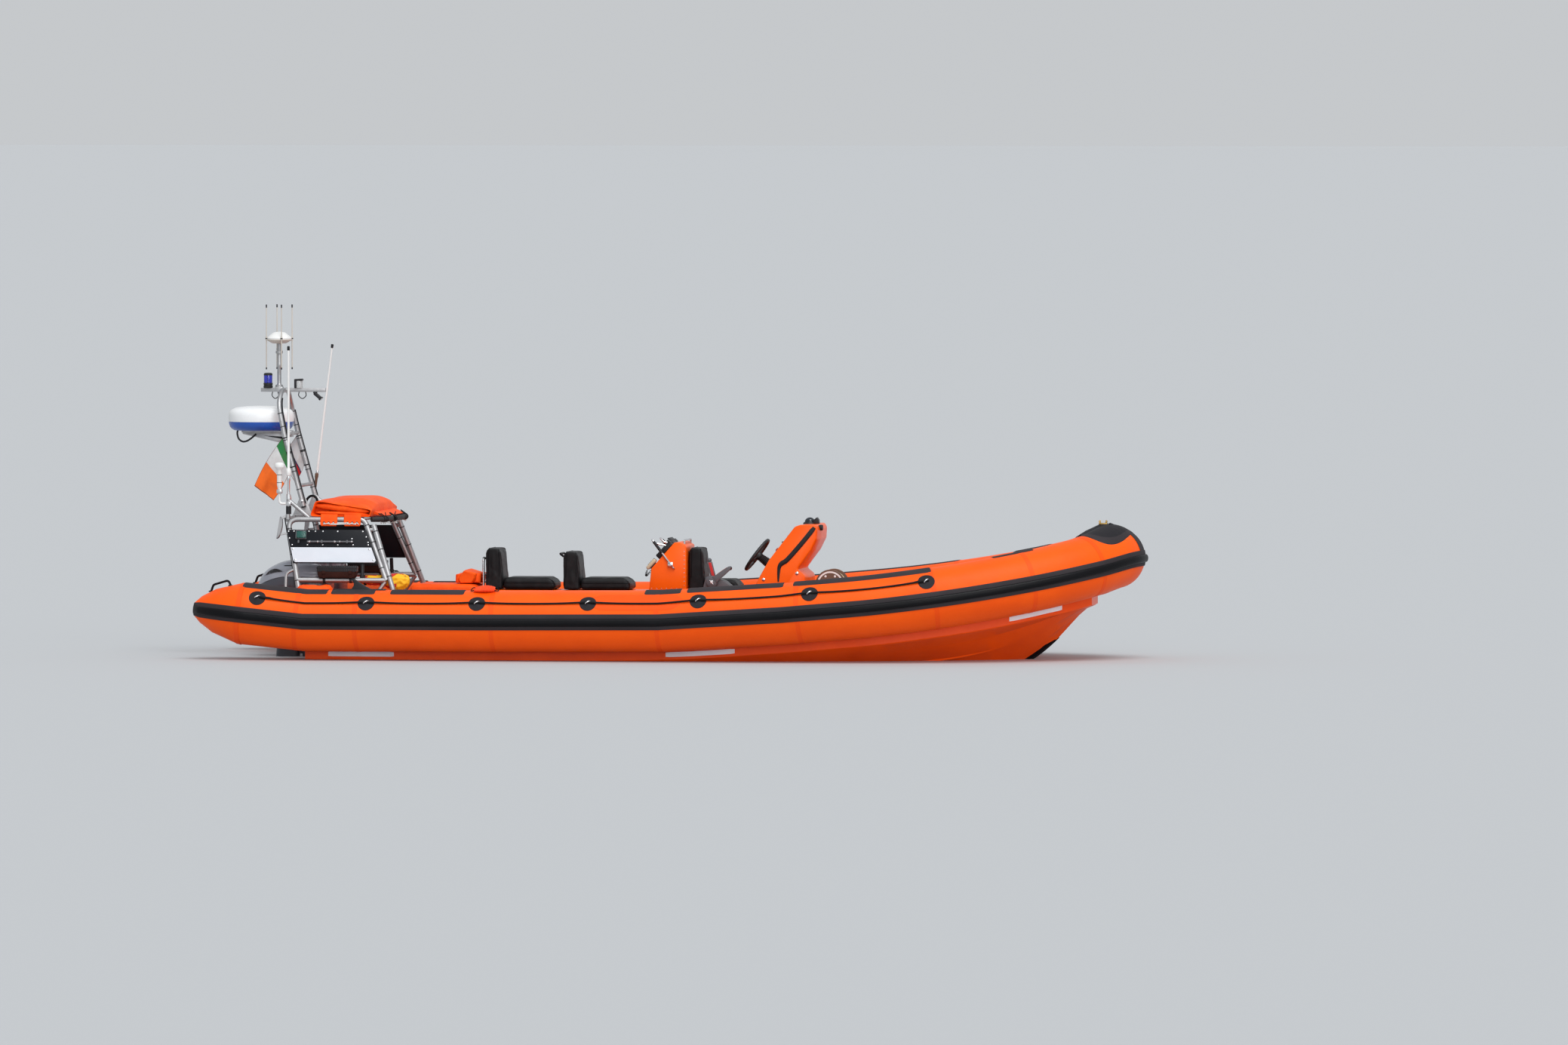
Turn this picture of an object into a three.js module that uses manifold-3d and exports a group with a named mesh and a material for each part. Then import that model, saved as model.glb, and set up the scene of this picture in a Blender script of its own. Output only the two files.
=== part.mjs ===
import * as THREE from 'three';
import { mergeVertices } from 'three/addons/utils/BufferGeometryUtils.js';
import Module from 'manifold-3d';

const wasm = await Module();
wasm.setup();

// Millimetres. +X points to the bow, +Y to port and +Z up.
// The origin is on the waterline, on the centreline, halfway along the boat.
const clearance = 0.4;
const sides = { starboard: -1, port: 1 };
const degrees = Math.PI / 180;

// Inflatable collar
const tubeRadius = 275;
const tubeY = 1118;
const tubeSides = 24;
const bowJoinX = 2400;
const strakeProud = 8;
const strakeRibProud = 30;

// Hull and deck
const transomX = -3240;
const soleZ = 170;

// Console, seats and steering
const consoleHalfWidth = 325;
const seatHalfWidth = 200;
const wheelCentre = [693, 0, 920];
const wheelRake = Math.atan2(0.6, 0.8);
const wheelRadius = 175;

// Frame over the engines
const framePipe = 24;
const frameFootY = 815;
const frameTopY = 670;
const frameKneeZ = 620;
const frameTopZ = 1240;
const frameLean = Math.atan2(frameFootY - frameTopY, frameTopZ - frameKneeZ);

// Mast
const mastHinge = [-3380, 0, 1396];
const mastLegY = 360;
const mastPipe = 22;
const cornerPostX = -3447;
const cornerPostRadius = 20;
const postTop = 1440;

// Outboards
const engineY = 350;
const steerX = -3340;
const tiltAxis = [-3255, 285];
const propellerZ = -575;
const propellerRadius = 160;

const paint = (color, roughness, metalness = 0) =>
  new THREE.MeshStandardMaterial({ color, roughness, metalness });
const materials = {
  tubeFabric: paint(0xf2641c, 0.5),
  hullPaint: paint(0xe2440f, 0.35),
  rubber: paint(0x18191c, 0.6),
  orangeGelcoat: paint(0xf05a12, 0.3),
  seatVinyl: paint(0x17171a, 0.65),
  aluminium: paint(0xbfc3c6, 0.35, 0.9),
  steel: paint(0xc9ccce, 0.25, 1),
  blackPlastic: paint(0x1b1c1f, 0.5),
  whitePlastic: paint(0xf1f2f1, 0.35),
  blueLens: paint(0x1d3fd0, 0.15),
  greenLens: paint(0x0b6a50, 0.15),
  redLens: paint(0xa61014, 0.15),
  orangeCloth: paint(0xf4511e, 0.7),
  engineCowl: paint(0x3b4049, 0.3, 0.3),
  engineCasting: paint(0x33373f, 0.4, 0.4),
  rope: paint(0xd8cda8, 0.85),
  reelBrown: paint(0x6a4a33, 0.6),
  ensignCloth: paint(0xf0eee6, 0.8),
};

const boat = new THREE.Group();

function addPart(name, shape, material, parent = boat) {
  const mesh = new THREE.Mesh(geometryOf(shape), material);
  mesh.name = name;
  parent.add(mesh);
  return mesh;
}

const point = (x, y, z) => new THREE.Vector3(x, y, z);

// A closed geometry as a solid that can be joined and cut.
function solid(geometry) {
  geometry.deleteAttribute('normal');
  geometry.deleteAttribute('uv');
  const merged = mergeVertices(geometry, 1e-3);
  const index = merged.index.array;
  const faces = [];
  for (let i = 0; i < index.length; i += 3) {
    const [a, b, c] = [index[i], index[i + 1], index[i + 2]];
    if (a !== b && b !== c && c !== a) faces.push(a, b, c);
  }
  return new wasm.Manifold(new wasm.Mesh({
    numProp: 3,
    vertProperties: Float32Array.from(merged.attributes.position.array),
    triVerts: Uint32Array.from(faces),
  }));
}

function geometryOf(manifold) {
  const mesh = manifold.getMesh();
  const geometry = new THREE.BufferGeometry();
  geometry.setAttribute('position', new THREE.BufferAttribute(mesh.vertProperties, 3));
  geometry.setIndex(new THREE.BufferAttribute(mesh.triVerts, 1));
  return geometry;
}

const join = (...pieces) => pieces.reduce((whole, piece) => whole.add(piece));
const cut = (whole, ...tools) => tools.reduce((rest, tool) => rest.subtract(tool), whole);

function box([x0, x1], [y0, y1], [z0, z1]) {
  const geometry = new THREE.BoxGeometry(x1 - x0, y1 - y0, z1 - z0);
  geometry.translate((x0 + x1) / 2, (y0 + y1) / 2, (z0 + z1) / 2);
  return solid(geometry);
}

// Stands a shape made about the Y axis on a point, with that axis along a direction.
function stand(geometry, at, direction) {
  const turn = new THREE.Quaternion().setFromUnitVectors(
    point(0, 1, 0), direction.clone().normalize());
  geometry.applyQuaternion(turn);
  geometry.translate(at.x, at.y, at.z);
  return solid(geometry);
}

function bar(from, to, radius, sideCount = 12, endRadius = radius) {
  const along = to.clone().sub(from);
  const middle = from.clone().add(to).multiplyScalar(0.5);
  const geometry = new THREE.CylinderGeometry(endRadius, radius, along.length(), sideCount);
  return stand(geometry, middle, along);
}

// Profile points are [radius, distance along the axis].
function turned(profile, at, direction, sideCount = 24) {
  const outline = profile.map(([radius, along]) => new THREE.Vector2(radius, along));
  return stand(new THREE.LatheGeometry(outline, sideCount), at, direction);
}

// An outline of [x, z] points, extruded from one Y to another.
function sidePlate(outline, y0, y1) {
  const shape = new THREE.Shape(outline.map(([x, z]) => new THREE.Vector2(x, z)));
  const geometry = new THREE.ExtrudeGeometry(shape, { depth: y1 - y0, bevelEnabled: false });
  geometry.rotateX(Math.PI / 2);
  geometry.translate(0, y1, 0);
  return solid(geometry);
}

// Triangles that fill a flat ring of points, in the ring's own order.
function fillRing(ring) {
  const normal = point(0, 0, 0);
  ring.forEach((p, i) => normal.add(p.clone().cross(ring[(i + 1) % ring.length])));
  normal.normalize();
  const across = ring[1].clone().sub(ring[0]).normalize();
  const up = normal.clone().cross(across);
  const flat = ring.map((p) => new THREE.Vector2(p.dot(across), p.dot(up)));
  return THREE.ShapeUtils.triangulateShape(flat, []).map(([a, b, c]) => {
    const turn = flat[b].clone().sub(flat[a]).cross(flat[c].clone().sub(flat[a]));
    return turn > 0 ? [a, b, c] : [a, c, b];
  });
}

// A closed skin through rings with the same number of points.
function loft(rings) {
  const count = rings[0].length;
  const points = rings.flat();
  const faces = [];
  for (let r = 0; r < rings.length - 1; r++) {
    for (let i = 0; i < count; i++) {
      const a = r * count + i;
      const b = r * count + (i + 1) % count;
      faces.push([a, b, b + count], [a, b + count, a + count]);
    }
  }
  const last = (rings.length - 1) * count;
  fillRing(rings[0]).forEach(([a, b, c]) => faces.push([a, c, b]));
  fillRing(rings.at(-1)).forEach(([a, b, c]) => faces.push([last + a, last + b, last + c]));
  const volume = faces.reduce((sum, [a, b, c]) =>
    sum + points[a].dot(points[b].clone().cross(points[c])), 0);
  const outward = volume > 0 ? faces : faces.map(([a, b, c]) => [a, c, b]);
  const geometry = new THREE.BufferGeometry().setFromPoints(points);
  geometry.setIndex(outward.flat());
  return solid(geometry);
}

// Rounds the corners of a run of points with short curves.
function rounded(points, bend) {
  const path = [points[0]];
  for (let i = 1; i < points.length - 1; i++) {
    const before = points[i].clone().sub(points[i - 1]);
    const after = points[i + 1].clone().sub(points[i]);
    const turn = before.angleTo(after);
    const reach = Math.min(bend * Math.tan(turn / 2), 0.45 * before.length(), 0.45 * after.length());
    const start = points[i].clone().addScaledVector(before.normalize(), -reach);
    const end = points[i].clone().addScaledVector(after.normalize(), reach);
    const arc = new THREE.QuadraticBezierCurve3(start, points[i], end);
    path.push(...arc.getPoints(Math.max(1, Math.ceil(turn / (25 * degrees)))));
  }
  path.push(points.at(-1));
  return path;
}

// A round pipe along a run of [x, y, z] points.
function pipe(corners, radius, bend = 90, sideCount = 12) {
  const path = rounded(corners.map((corner) => point(...corner)), bend);
  const tangents = path.map((p, i) => path[Math.min(i + 1, path.length - 1)].clone()
    .sub(path[Math.max(i - 1, 0)]).normalize());
  const across = point(0.31, 0.47, 0.83).cross(tangents[0]).normalize();
  const rings = path.map((p, i) => {
    if (i > 0) {
      across.applyQuaternion(new THREE.Quaternion().setFromUnitVectors(tangents[i - 1], tangents[i]));
    }
    const up = tangents[i].clone().cross(across);
    return Array.from({ length: sideCount }, (_, k) => {
      const angle = 2 * Math.PI * k / sideCount;
      return p.clone().addScaledVector(across, radius * Math.cos(angle))
        .addScaledVector(up, radius * Math.sin(angle));
    });
  });
  return loft(rings);
}

// Inflatable collar: the aft run is straight in plan, the fore run curves in and up to the nose.
const collarAft = [
  // x, centre height, radius
  [-4220, 450, 60],
  [-4160, 446, 120],
  [-4040, 435, 195],
  [-3800, 412, tubeRadius],
  [-3200, 350, tubeRadius],
  [-1600, 352, tubeRadius],
  [0, 362, tubeRadius],
];
const collarFore = [
  // x, y, centre height
  [1100, 1118, 432],
  [1900, 1095, 505],
  [2600, 970, 600],
  [3200, 745, 710],
  [3650, 440, 820],
  [3850, 180, 890],
  [3915, 0, 910],
];

function collarStations() {
  const starboardFore = collarFore.map(([x, y, z]) => point(x, -y, z));
  const portFore = collarFore.slice(0, -1).reverse().map(([x, y, z]) => point(x, y, z));
  const bowCurve = new THREE.CatmullRomCurve3([...starboardFore, ...portFore]);
  const aft = (side) => collarAft.map(([x, z, radius]) => ({ at: point(x, side * tubeY, z), radius }));
  const fore = bowCurve.getSpacedPoints(28).map((at) => ({ at, radius: tubeRadius }));
  const stations = [...aft(sides.starboard), ...fore, ...aft(sides.port).reverse()];
  stations.forEach((station, i) => {
    const before = stations[Math.max(i - 1, 0)].at;
    const after = stations[Math.min(i + 1, stations.length - 1)].at;
    station.along = after.clone().sub(before).normalize();
    station.out = station.along.clone().cross(point(0, 0, 1)).normalize();
    station.up = station.out.clone().cross(station.along);
  });
  return stations;
}

const collar = collarStations();
const bowJoin = collar.findIndex((station) => station.at.x > bowJoinX);
const nose = (collar.length - 1) / 2;
const lastStation = collar.length - 1;

// A ring of [angle in degrees, distance beyond the tube] points round a station.
function collarRing(station, section, shift = 0) {
  const centre = station.at.clone().addScaledVector(station.along, shift);
  return section.map(([angle, proud]) => {
    const radius = station.radius + proud;
    return centre.clone().addScaledVector(station.out, radius * Math.cos(angle * degrees))
      .addScaledVector(station.up, radius * Math.sin(angle * degrees));
  });
}

// A stretch of the collar, drawn back a little at both ends.
function collarStretch(from, to, section) {
  const stretch = collar.slice(from, to + 1);
  return loft(stretch.map((station, i) => {
    const shift = i === 0 ? clearance / 2 : i === stretch.length - 1 ? -clearance / 2 : 0;
    return collarRing(station, section, shift);
  }));
}

const tubeSection = (proud) => Array.from({ length: tubeSides }, (_, k) => [360 * k / tubeSides, proud]);
const collarSpace = collarStretch(0, lastStation, tubeSection(clearance));

addPart('tube_starboard', collarStretch(0, bowJoin, tubeSection(0)), materials.tubeFabric);
addPart('tube_bow', collarStretch(bowJoin, lastStation - bowJoin, tubeSection(0)), materials.tubeFabric);
addPart('tube_port', collarStretch(lastStation - bowJoin, lastStation, tubeSection(0)),
  materials.tubeFabric);

// A flat band above and a full rib below.
const strakeSection = [
  [-15, clearance], [0, clearance], [15, clearance], [15, strakeProud], [5.4, strakeProud],
  [2.5, strakeRibProud - 5], [-1, strakeRibProud], [-8.6, strakeRibProud],
  [-12.5, strakeRibProud - 6], [-15, strakeProud],
];
addPart('strake_starboard', collarStretch(0, nose, strakeSection), materials.rubber);
addPart('strake_port', collarStretch(nose, lastStation, strakeSection), materials.rubber);

// Deep-vee hull under the collar, decked over
const hullStations = [
  // x, keel z, chine y, chine z, flange y, flange foot z, flange top z, sole half-width, sole z
  [transomX, -420, 900, -60, 1000, -1, 170, 860, soleZ],
  [-1600, -420, 900, -60, 1000, -3, 170, 860, soleZ],
  [0, -418, 900, -50, 1000, 7, 170, 860, soleZ],
  [1100, -415, 880, 10, 1000, 77, 232, 830, soleZ],
  [1500, -398, 855, 40, 992, 112, 268, 800, soleZ],
  [1900, -375, 820, 75, 977, 150, 305, 760, 190],
  [2500, -290, 690, 150, 872, 230, 385, 640, 270],
  [2900, -165, 560, 225, 747, 296, 450, 500, 350],
  [3224, 30, 430, 320, 610, 363, 520, 370, 430],
  [3395, 173, 330, 380, 505, 402, 570, 280, 500],
  [3500, 287, 250, 420, 437, 425, 600, 220, 550],
  [3648, 447, 120, 458, 323, 465, 650, 140, 630],
  [3740, 485, 90, 488, 212, 495, 705, 90, 690],
];

function hullRing([x, keelZ, chineY, chineZ, flangeY, footZ, topZ, soleY, floorZ]) {
  const half = [[chineY, chineZ], [flangeY, footZ], [flangeY, topZ], [soleY, floorZ]];
  return [
    point(x, 0, keelZ),
    ...half.map(([y, z]) => point(x, y, z)),
    ...half.reverse().map(([y, z]) => point(x, -y, z)),
  ];
}

const shelfPort = box([-3430, transomX + 5], [760, 930], [110, soleZ]);
const shelfStarboard = box([-3430, transomX + 5], [-930, -760], [110, soleZ]);
const transomBoard = box([transomX, -3175], [-620, 620], [100, 235]);
const hull = cut(
  join(loft(hullStations.map(hullRing)), transomBoard, shelfPort, shelfStarboard),
  collarSpace,
);
addPart('hull', hull, materials.hullPaint);

// Rubber pad moulded over the nose
const padProfile = [[0, -230], [262, -230], [262, -98], [45, 0], [0, 0]];
const padAftX = 3640;
const bowPad = cut(
  turned(padProfile, point(3838, 0, 1223), point(0, 0, 1)),
  collarSpace,
  box([3000, padAftX], [-400, 400], [900, 1300]),
);
addPart('bow_pad', bowPad, materials.rubber);

// Steering console and wheel
const consoleOutline = [
  // x, z
  [700, soleZ + clearance], [730, 680], [843, 881], [1105, 1183], [1162, 1200], [1315, 1200],
  [1332, 1160], [1326, 1070], [1274, 970], [1171, 847], [1130, 800], [1210, 745],
  [1210, soleZ + clearance],
];
const wheelAxis = point(Math.cos(wheelRake), 0, -Math.sin(wheelRake));
const wheelAt = point(...wheelCentre);
const alongColumn = (distance) => wheelAt.clone().addScaledVector(wheelAxis, distance);
const steeringColumn = bar(alongColumn(32), alongColumn(190), 34, 16, 48);
addPart('console', join(
  sidePlate(consoleOutline, -consoleHalfWidth, consoleHalfWidth), steeringColumn,
), materials.orangeGelcoat);

function steeringWheel() {
  const rimPipe = 14;
  const spokeDrop = 18;
  const rim = stand(new THREE.TorusGeometry(wheelRadius - rimPipe, rimPipe, 10, 36)
    .rotateX(Math.PI / 2), wheelAt, wheelAxis);
  const hub = bar(alongColumn(-16), alongColumn(32 - clearance), 40, 16);
  const up = wheelAxis.clone().cross(point(0, 1, 0)).negate();
  const spokes = [90, 210, 330].map((angle) => {
    const out = up.clone().multiplyScalar(Math.sin(angle * degrees))
      .addScaledVector(point(0, 1, 0), Math.cos(angle * degrees));
    const end = wheelAt.clone().addScaledVector(out, wheelRadius - rimPipe);
    return bar(alongColumn(spokeDrop), end, 10, 8);
  });
  return join(rim, hub, ...spokes);
}
addPart('steering_wheel', steeringWheel(), materials.blackPlastic);

// Throttle on its own pedestal, starboard of the helm
const throttlePedestal = box([270, 590], [-505, -365], [soleZ + clearance, 600]);
addPart('throttle_pedestal', throttlePedestal, materials.orangeGelcoat);
const throttlePivot = point(357, -450, 700);
const leverEnd = throttlePivot.clone().add(point(145, -30, 102));
const throttle = join(
  sidePlate([[265, 600 + clearance], [300, 735], [345, 746], [480, 700], [600, 600 + clearance]],
    -490, -380),
  bar(point(357, -515, 690), point(357, -450, 690), 56, 20),
  bar(point(357, -505, 690), leverEnd, 13, 10),
  bar(leverEnd.clone().add(point(0, -25, 0)), leverEnd.clone().add(point(0, 75, 0)), 20, 12),
);
addPart('throttle', throttle, materials.engineCasting);

// Seats in line on one plinth
const plinthTop = 600;
const seatPlinth = join(
  box([-1740, 600], [-180, 180], [soleZ + clearance, plinthTop]),
  box([-1740, 600], [-240, 240], [soleZ + clearance, 300]),
);
addPart('seat_plinth', seatPlinth, materials.orangeGelcoat);

const seats = [
  // name, cushion aft x, cushion fore x, cushion top z, back aft x, back top z
  ['helm', 245, 560, 705, 94, 994],
  ['crew_fore', -885, -420, 715, -1042, 954],
  ['crew_aft', -1585, -1100, 715, -1746, 982],
];
const cushionSoftEdge = 45;
for (const [name, aftX, foreX, topZ, backX, backTopZ] of seats) {
  const bottom = plinthTop + clearance;
  addPart(`${name}_cushion`, sidePlate([
    [aftX, bottom], [foreX, bottom], [foreX, topZ - cushionSoftEdge],
    [foreX - cushionSoftEdge, topZ], [aftX, topZ],
  ], -seatHalfWidth, seatHalfWidth), materials.seatVinyl);
  const rake = 25;
  addPart(`${name}_backrest`, sidePlate([
    [backX, bottom], [aftX - clearance, bottom], [aftX - clearance, topZ],
    [aftX - rake, backTopZ - 20], [aftX - rake - 20, backTopZ],
    [backX + 20, backTopZ], [backX, backTopZ - 30],
  ], -seatHalfWidth + 5, seatHalfWidth - 5), materials.seatVinyl);
}

// Instrument pod between the helm seat and the first crew seat
const podOutline = [
  // x, z
  [-250, plinthTop + clearance], [88, plinthTop + clearance], [88, 1000], [40, 1034], [-20, 1034],
  [-230, 800],
];
addPart('instrument_pod', sidePlate(podOutline, -250, 250), materials.orangeGelcoat);

// Grab rail behind the last seat
const railX = -1765;
addPart('grab_rail', join(
  pipe([[railX, -150, plinthTop - 40], [railX, -150, 880], [railX, 150, 880], [railX, 150, plinthTop - 40]],
    12, 50, 10),
  box([railX - 14, -1740 - clearance], [-165, -135], [plinthTop - 60, plinthTop - 20]),
  box([railX - 14, -1740 - clearance], [135, 165], [plinthTop - 60, plinthTop - 20]),
), materials.steel);

// Rope reel ahead of the console
const reelAt = point(1372, 0, 660);
const reelHalfWidth = 130;
const reelPlateY = [150, 162];
const axleRadius = 16;
const crosswise = point(0, 1, 0);
const atReel = (y) => reelAt.clone().add(point(0, y, 0));
const reelPlate = (side) => {
  const [y0, y1] = side < 0 ? [-reelPlateY[1], -reelPlateY[0]] : reelPlateY;
  return cut(
    sidePlate([[1290, soleZ + clearance], [1454, soleZ + clearance], [1400, 700], [1344, 700]], y0, y1),
    bar(atReel(side * 100), atReel(side * 200), axleRadius + 0.8, 20),
  );
};
const reelBase = box([1290, 1454], [-162, 162], [soleZ + clearance, soleZ + 12]);
addPart('reel_stand', join(reelPlate(-1), reelPlate(1), reelBase), materials.aluminium);
const drumProfile = [
  [0, -165], [axleRadius, -165], [axleRadius, -reelHalfWidth], [135, -reelHalfWidth],
  [135, -reelHalfWidth + 10], [60, -reelHalfWidth + 10], [60, reelHalfWidth - 10],
  [135, reelHalfWidth - 10], [135, reelHalfWidth], [axleRadius, reelHalfWidth], [axleRadius, 165],
  [0, 165],
];
addPart('reel_drum', turned(drumProfile, reelAt, crosswise), materials.reelBrown);
const ropeHalfWidth = reelHalfWidth - 10 - clearance;
const ropeProfile = [
  [60 + clearance, -ropeHalfWidth], [112, -ropeHalfWidth], [112, ropeHalfWidth],
  [60 + clearance, ropeHalfWidth], [60 + clearance, -ropeHalfWidth],
];
addPart('reel_rope', turned(ropeProfile, reelAt, crosswise), materials.rope);

// Frame over the engines: two welded sides that lean in above the knee
const frameY = (z) => frameFootY - Math.max(0, z - frameKneeZ) * Math.tan(frameLean);
const onSide = (side, x, z) => [x, side * frameY(z), z];

function frameSide(side) {
  const footZ = soleZ + clearance;
  const foreLegFoot = [-2440, side * frameFootY, footZ];
  const aftLegFoot = [-3330, side * frameFootY, footZ];
  const aftTop = onSide(side, -3455, frameTopZ);
  return join(
    pipe([aftLegFoot, onSide(side, -3330, frameKneeZ), aftTop, onSide(side, -2757, frameTopZ),
      onSide(side, -2540, 700)], framePipe, 80),
    pipe([onSide(side, -2673, 1190), onSide(side, -2476, frameKneeZ),
      [-2440, side * frameFootY, footZ + 60], foreLegFoot], framePipe),
    pipe([onSide(side, -3346, 700), onSide(side, -2540, 700)], framePipe),
    pipe([onSide(side, -2730, 1150), onSide(side, -2665, 1150)], 18),
    pipe([onSide(side, -2545, 690), onSide(side, -2640, 560)], 18),
    pipe([onSide(side, -3366, 800), onSide(side, -3450, 760), onSide(side, -3450, 560),
      [-3335, side * frameFootY, 520]], 13, 60, 10),
    pipe([aftTop, [cornerPostX, side * frameTopY, 1400], [cornerPostX, side * frameTopY, postTop]],
      cornerPostRadius),
    pipe([[-3444, side * frameTopY, 1410], [-3262, side * frameTopY, 1256]], 18),
  );
}
for (const [name, side] of Object.entries(sides)) {
  addPart(`frame_side_${name}`, frameSide(side), materials.aluminium);
}

const crossbarEnd = frameTopY - framePipe - clearance;
const crossbar = (x) => bar(point(x, -crossbarEnd, frameTopZ), point(x, crossbarEnd, frameTopZ), framePipe);
const pinRadius = 10;
const mastPlate = (side) => cut(
  sidePlate([[-3480, 1240], [-3280, 1240], [-3300, 1290], [-3350, 1430], [-3410, 1430], [-3460, 1290]],
    side < 0 ? -332 : 322, side < 0 ? -322 : 332),
  bar(point(mastHinge[0], side * 300, mastHinge[2]), point(mastHinge[0], side * 350, mastHinge[2]),
    pinRadius + 0.8, 20),
);
addPart('mast_step', join(crossbar(-3460), crossbar(-3300), mastPlate(-1), mastPlate(1)),
  materials.aluminium);

const frontHoopEnd = frameTopY - 7;
addPart('frame_front_hoop', pipe([
  [-2700, -frontHoopEnd + 24, frameTopZ], [-2600, -560, frameTopZ], [-2550, -300, frameTopZ],
  [-2550, 300, frameTopZ], [-2600, 560, frameTopZ], [-2700, frontHoopEnd - 24, frameTopZ],
], framePipe, 300), materials.rubber);

// Side plates with a navigation light on each
const plateOut = framePipe + 0.5;
function leaningPlate(side, outline, inner, outer) {
  const lift = (offset) => outline.map(([x, z]) => {
    const y = frameY(z) + offset * Math.cos(frameLean);
    return point(x, side * y, z + offset * Math.sin(frameLean));
  });
  return loft([lift(inner), lift(outer)]);
}
const plateOutline = [
  // x, z
  [-3454, 1142], [-2737, 1142], [-2618, 845], [-3386, 845],
];
const lampOutline = [[-3365, 1055], [-3270, 1055], [-3270, 1130], [-3365, 1130]];
for (const [name, side] of Object.entries(sides)) {
  addPart(`side_plate_${name}`, leaningPlate(side, plateOutline, plateOut, plateOut + 8),
    materials.blackPlastic);
  addPart(`nav_light_${name}`, leaningPlate(side, lampOutline, plateOut + 8 + clearance, plateOut + 50),
    side < 0 ? materials.greenLens : materials.redLens);
}

// Equipment cases on the lower rails
for (const [name, side] of Object.entries(sides)) {
  const [y0, y1] = side < 0 ? [-845, -735] : [735, 845];
  const caseBottom = 700 + framePipe + clearance;
  addPart(`equipment_case_${name}`, box([-3165, -2800], [y0, y1], [caseBottom, 830]),
    materials.blackPlastic);
}

// Folded righting bag on the top of the frame
const bagBottom = frameTopZ + framePipe + clearance;
const bagOutline = [
  // x, z
  [-3230, bagBottom], [-2700, bagBottom], [-2690, 1320], [-2710, 1395], [-2760, 1428], [-3140, 1428],
  [-3190, 1415], [-3230, 1375],
];
addPart('righting_bag', sidePlate(bagOutline, -685, 685), materials.orangeCloth);

// Soft stowage: a pack on the deck with a bag on it, a dry bag on the tube and a roll along the rail
const packTop = 655;
addPart('stowed_pack', sidePlate([
  [-2430, soleZ + clearance], [-1800, soleZ + clearance], [-1800, packTop - 35],
  [-1835, packTop], [-2395, packTop], [-2430, packTop - 35],
], -240, 240), materials.orangeCloth);
addPart('stowed_bag', sidePlate([
  [-2055, 695], [-2020, packTop + clearance], [-1845, packTop + clearance], [-1810, 695],
  [-1815, 745], [-1850, 785], [-2015, 785], [-2050, 745],
], -200, 200), materials.orangeCloth);
addPart('dry_bag', cut(sidePlate([
  [-3330, 520], [-2995, 520], [-2995, 640], [-3023, 668], [-3302, 668], [-3330, 640],
], -1000, -846), collarSpace), materials.orangeCloth);
const rollRadius = 47;
const rollY = -frameY(700) + (framePipe + rollRadius - clearance) / Math.cos(frameLean);
addPart('cloth_roll', bar(point(-2790, rollY, 700), point(-2360, rollY, 700), rollRadius, 16),
  materials.orangeCloth);

// Whip aerials on the corner posts
addPart('whip_starboard', turned([
  [0, 0], [20, 0], [20, 60], [12, 120], [6, 140], [4, 1290], [9, 1300], [9, 1345], [0, 1350],
], point(cornerPostX, -frameTopY, postTop + clearance), point(0, 0, 1), 10), materials.whitePlastic);
const leanForward = 7 * degrees;
addPart('whip_port', turned([
  [0, 0], [20, 0], [20, 60], [12, 120], [6, 140], [4, 1346], [0, 1350],
], point(cornerPostX, frameTopY, postTop + 3), point(Math.sin(leanForward), 0, Math.cos(leanForward)), 10),
materials.whitePlastic);
addPart('gps_antenna', join(
  turned([[0, 250], [16, 250], [44, 270], [44, 296], [30, 306], [0, 310]],
    point(-3530, -frameTopY, postTop), point(0, 0, 1), 20),
  pipe([[-3530, -frameTopY, postTop + 255], [-3530, -frameTopY, postTop - 60],
    [cornerPostX - cornerPostRadius - 2.2, -frameTopY, postTop - 60]], 12, 40, 10),
), materials.whitePlastic);

// Mast: a bowed pair of legs that folds forward about its foot
const mastLean = Math.atan2(165, 601);
const mastLegs = [
  // x, y, z
  [-3366, mastLegY, 1345], [-3380, mastLegY, 1396], [-3545, 350, 1997], [-3600, 320, 2250],
  [-3600, 180, 2380],
];
const masthead = { aftX: -3816, foreX: -3225, bottomZ: 2365, topZ: 2400 };
const finderX = -3650;

function mastFrame() {
  const legs = [
    ...mastLegs.map(([x, y, z]) => [x, -y, z]),
    ...mastLegs.slice().reverse(),
  ];
  const rung = (z) => {
    const x = mastHinge[0] - (z - mastHinge[2]) * Math.tan(mastLean);
    return bar(point(x, -mastLegY, z), point(x, mastLegY, z), 16);
  };
  const pin = (side) => bar(point(mastHinge[0], side * 321, mastHinge[2]),
    point(mastHinge[0], side * mastLegY, mastHinge[2]), pinRadius, 12);
  const yoke = box([-3985, -3560], [-60, 60], [2000, 2018]);
  const yokeWeb = sidePlate([[-3985, 2005], [-3985, 1985], [-3560, 1890], [-3560, 2005]], -8, 8);
  return join(
    pipe(legs, mastPipe, 220),
    rung(1530), rung(1990), pin(-1), pin(1), yoke, yokeWeb,
    box([-3570, -3530], [-60, 60], [1960, 2018]),
    box([masthead.aftX, masthead.foreX], [-17, 17], [masthead.bottomZ, masthead.topZ]),
    box([finderX - 35, finderX + 35], [-35, 35], [masthead.bottomZ, 2430]),
    bar(point(finderX, 0, 2420), point(finderX, 0, 2800), 18),
  );
}
addPart('mast_frame', mastFrame(), materials.aluminium);

const radomeAt = point(-3815, 0, 2018 + clearance);
addPart('radome', turned([
  [0, 0], [240, 0], [280, 30], [295, 80], [295, 130], [285, 170], [230, 205], [120, 218], [0, 220],
], radomeAt, point(0, 0, 1), 32), materials.whitePlastic);

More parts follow.
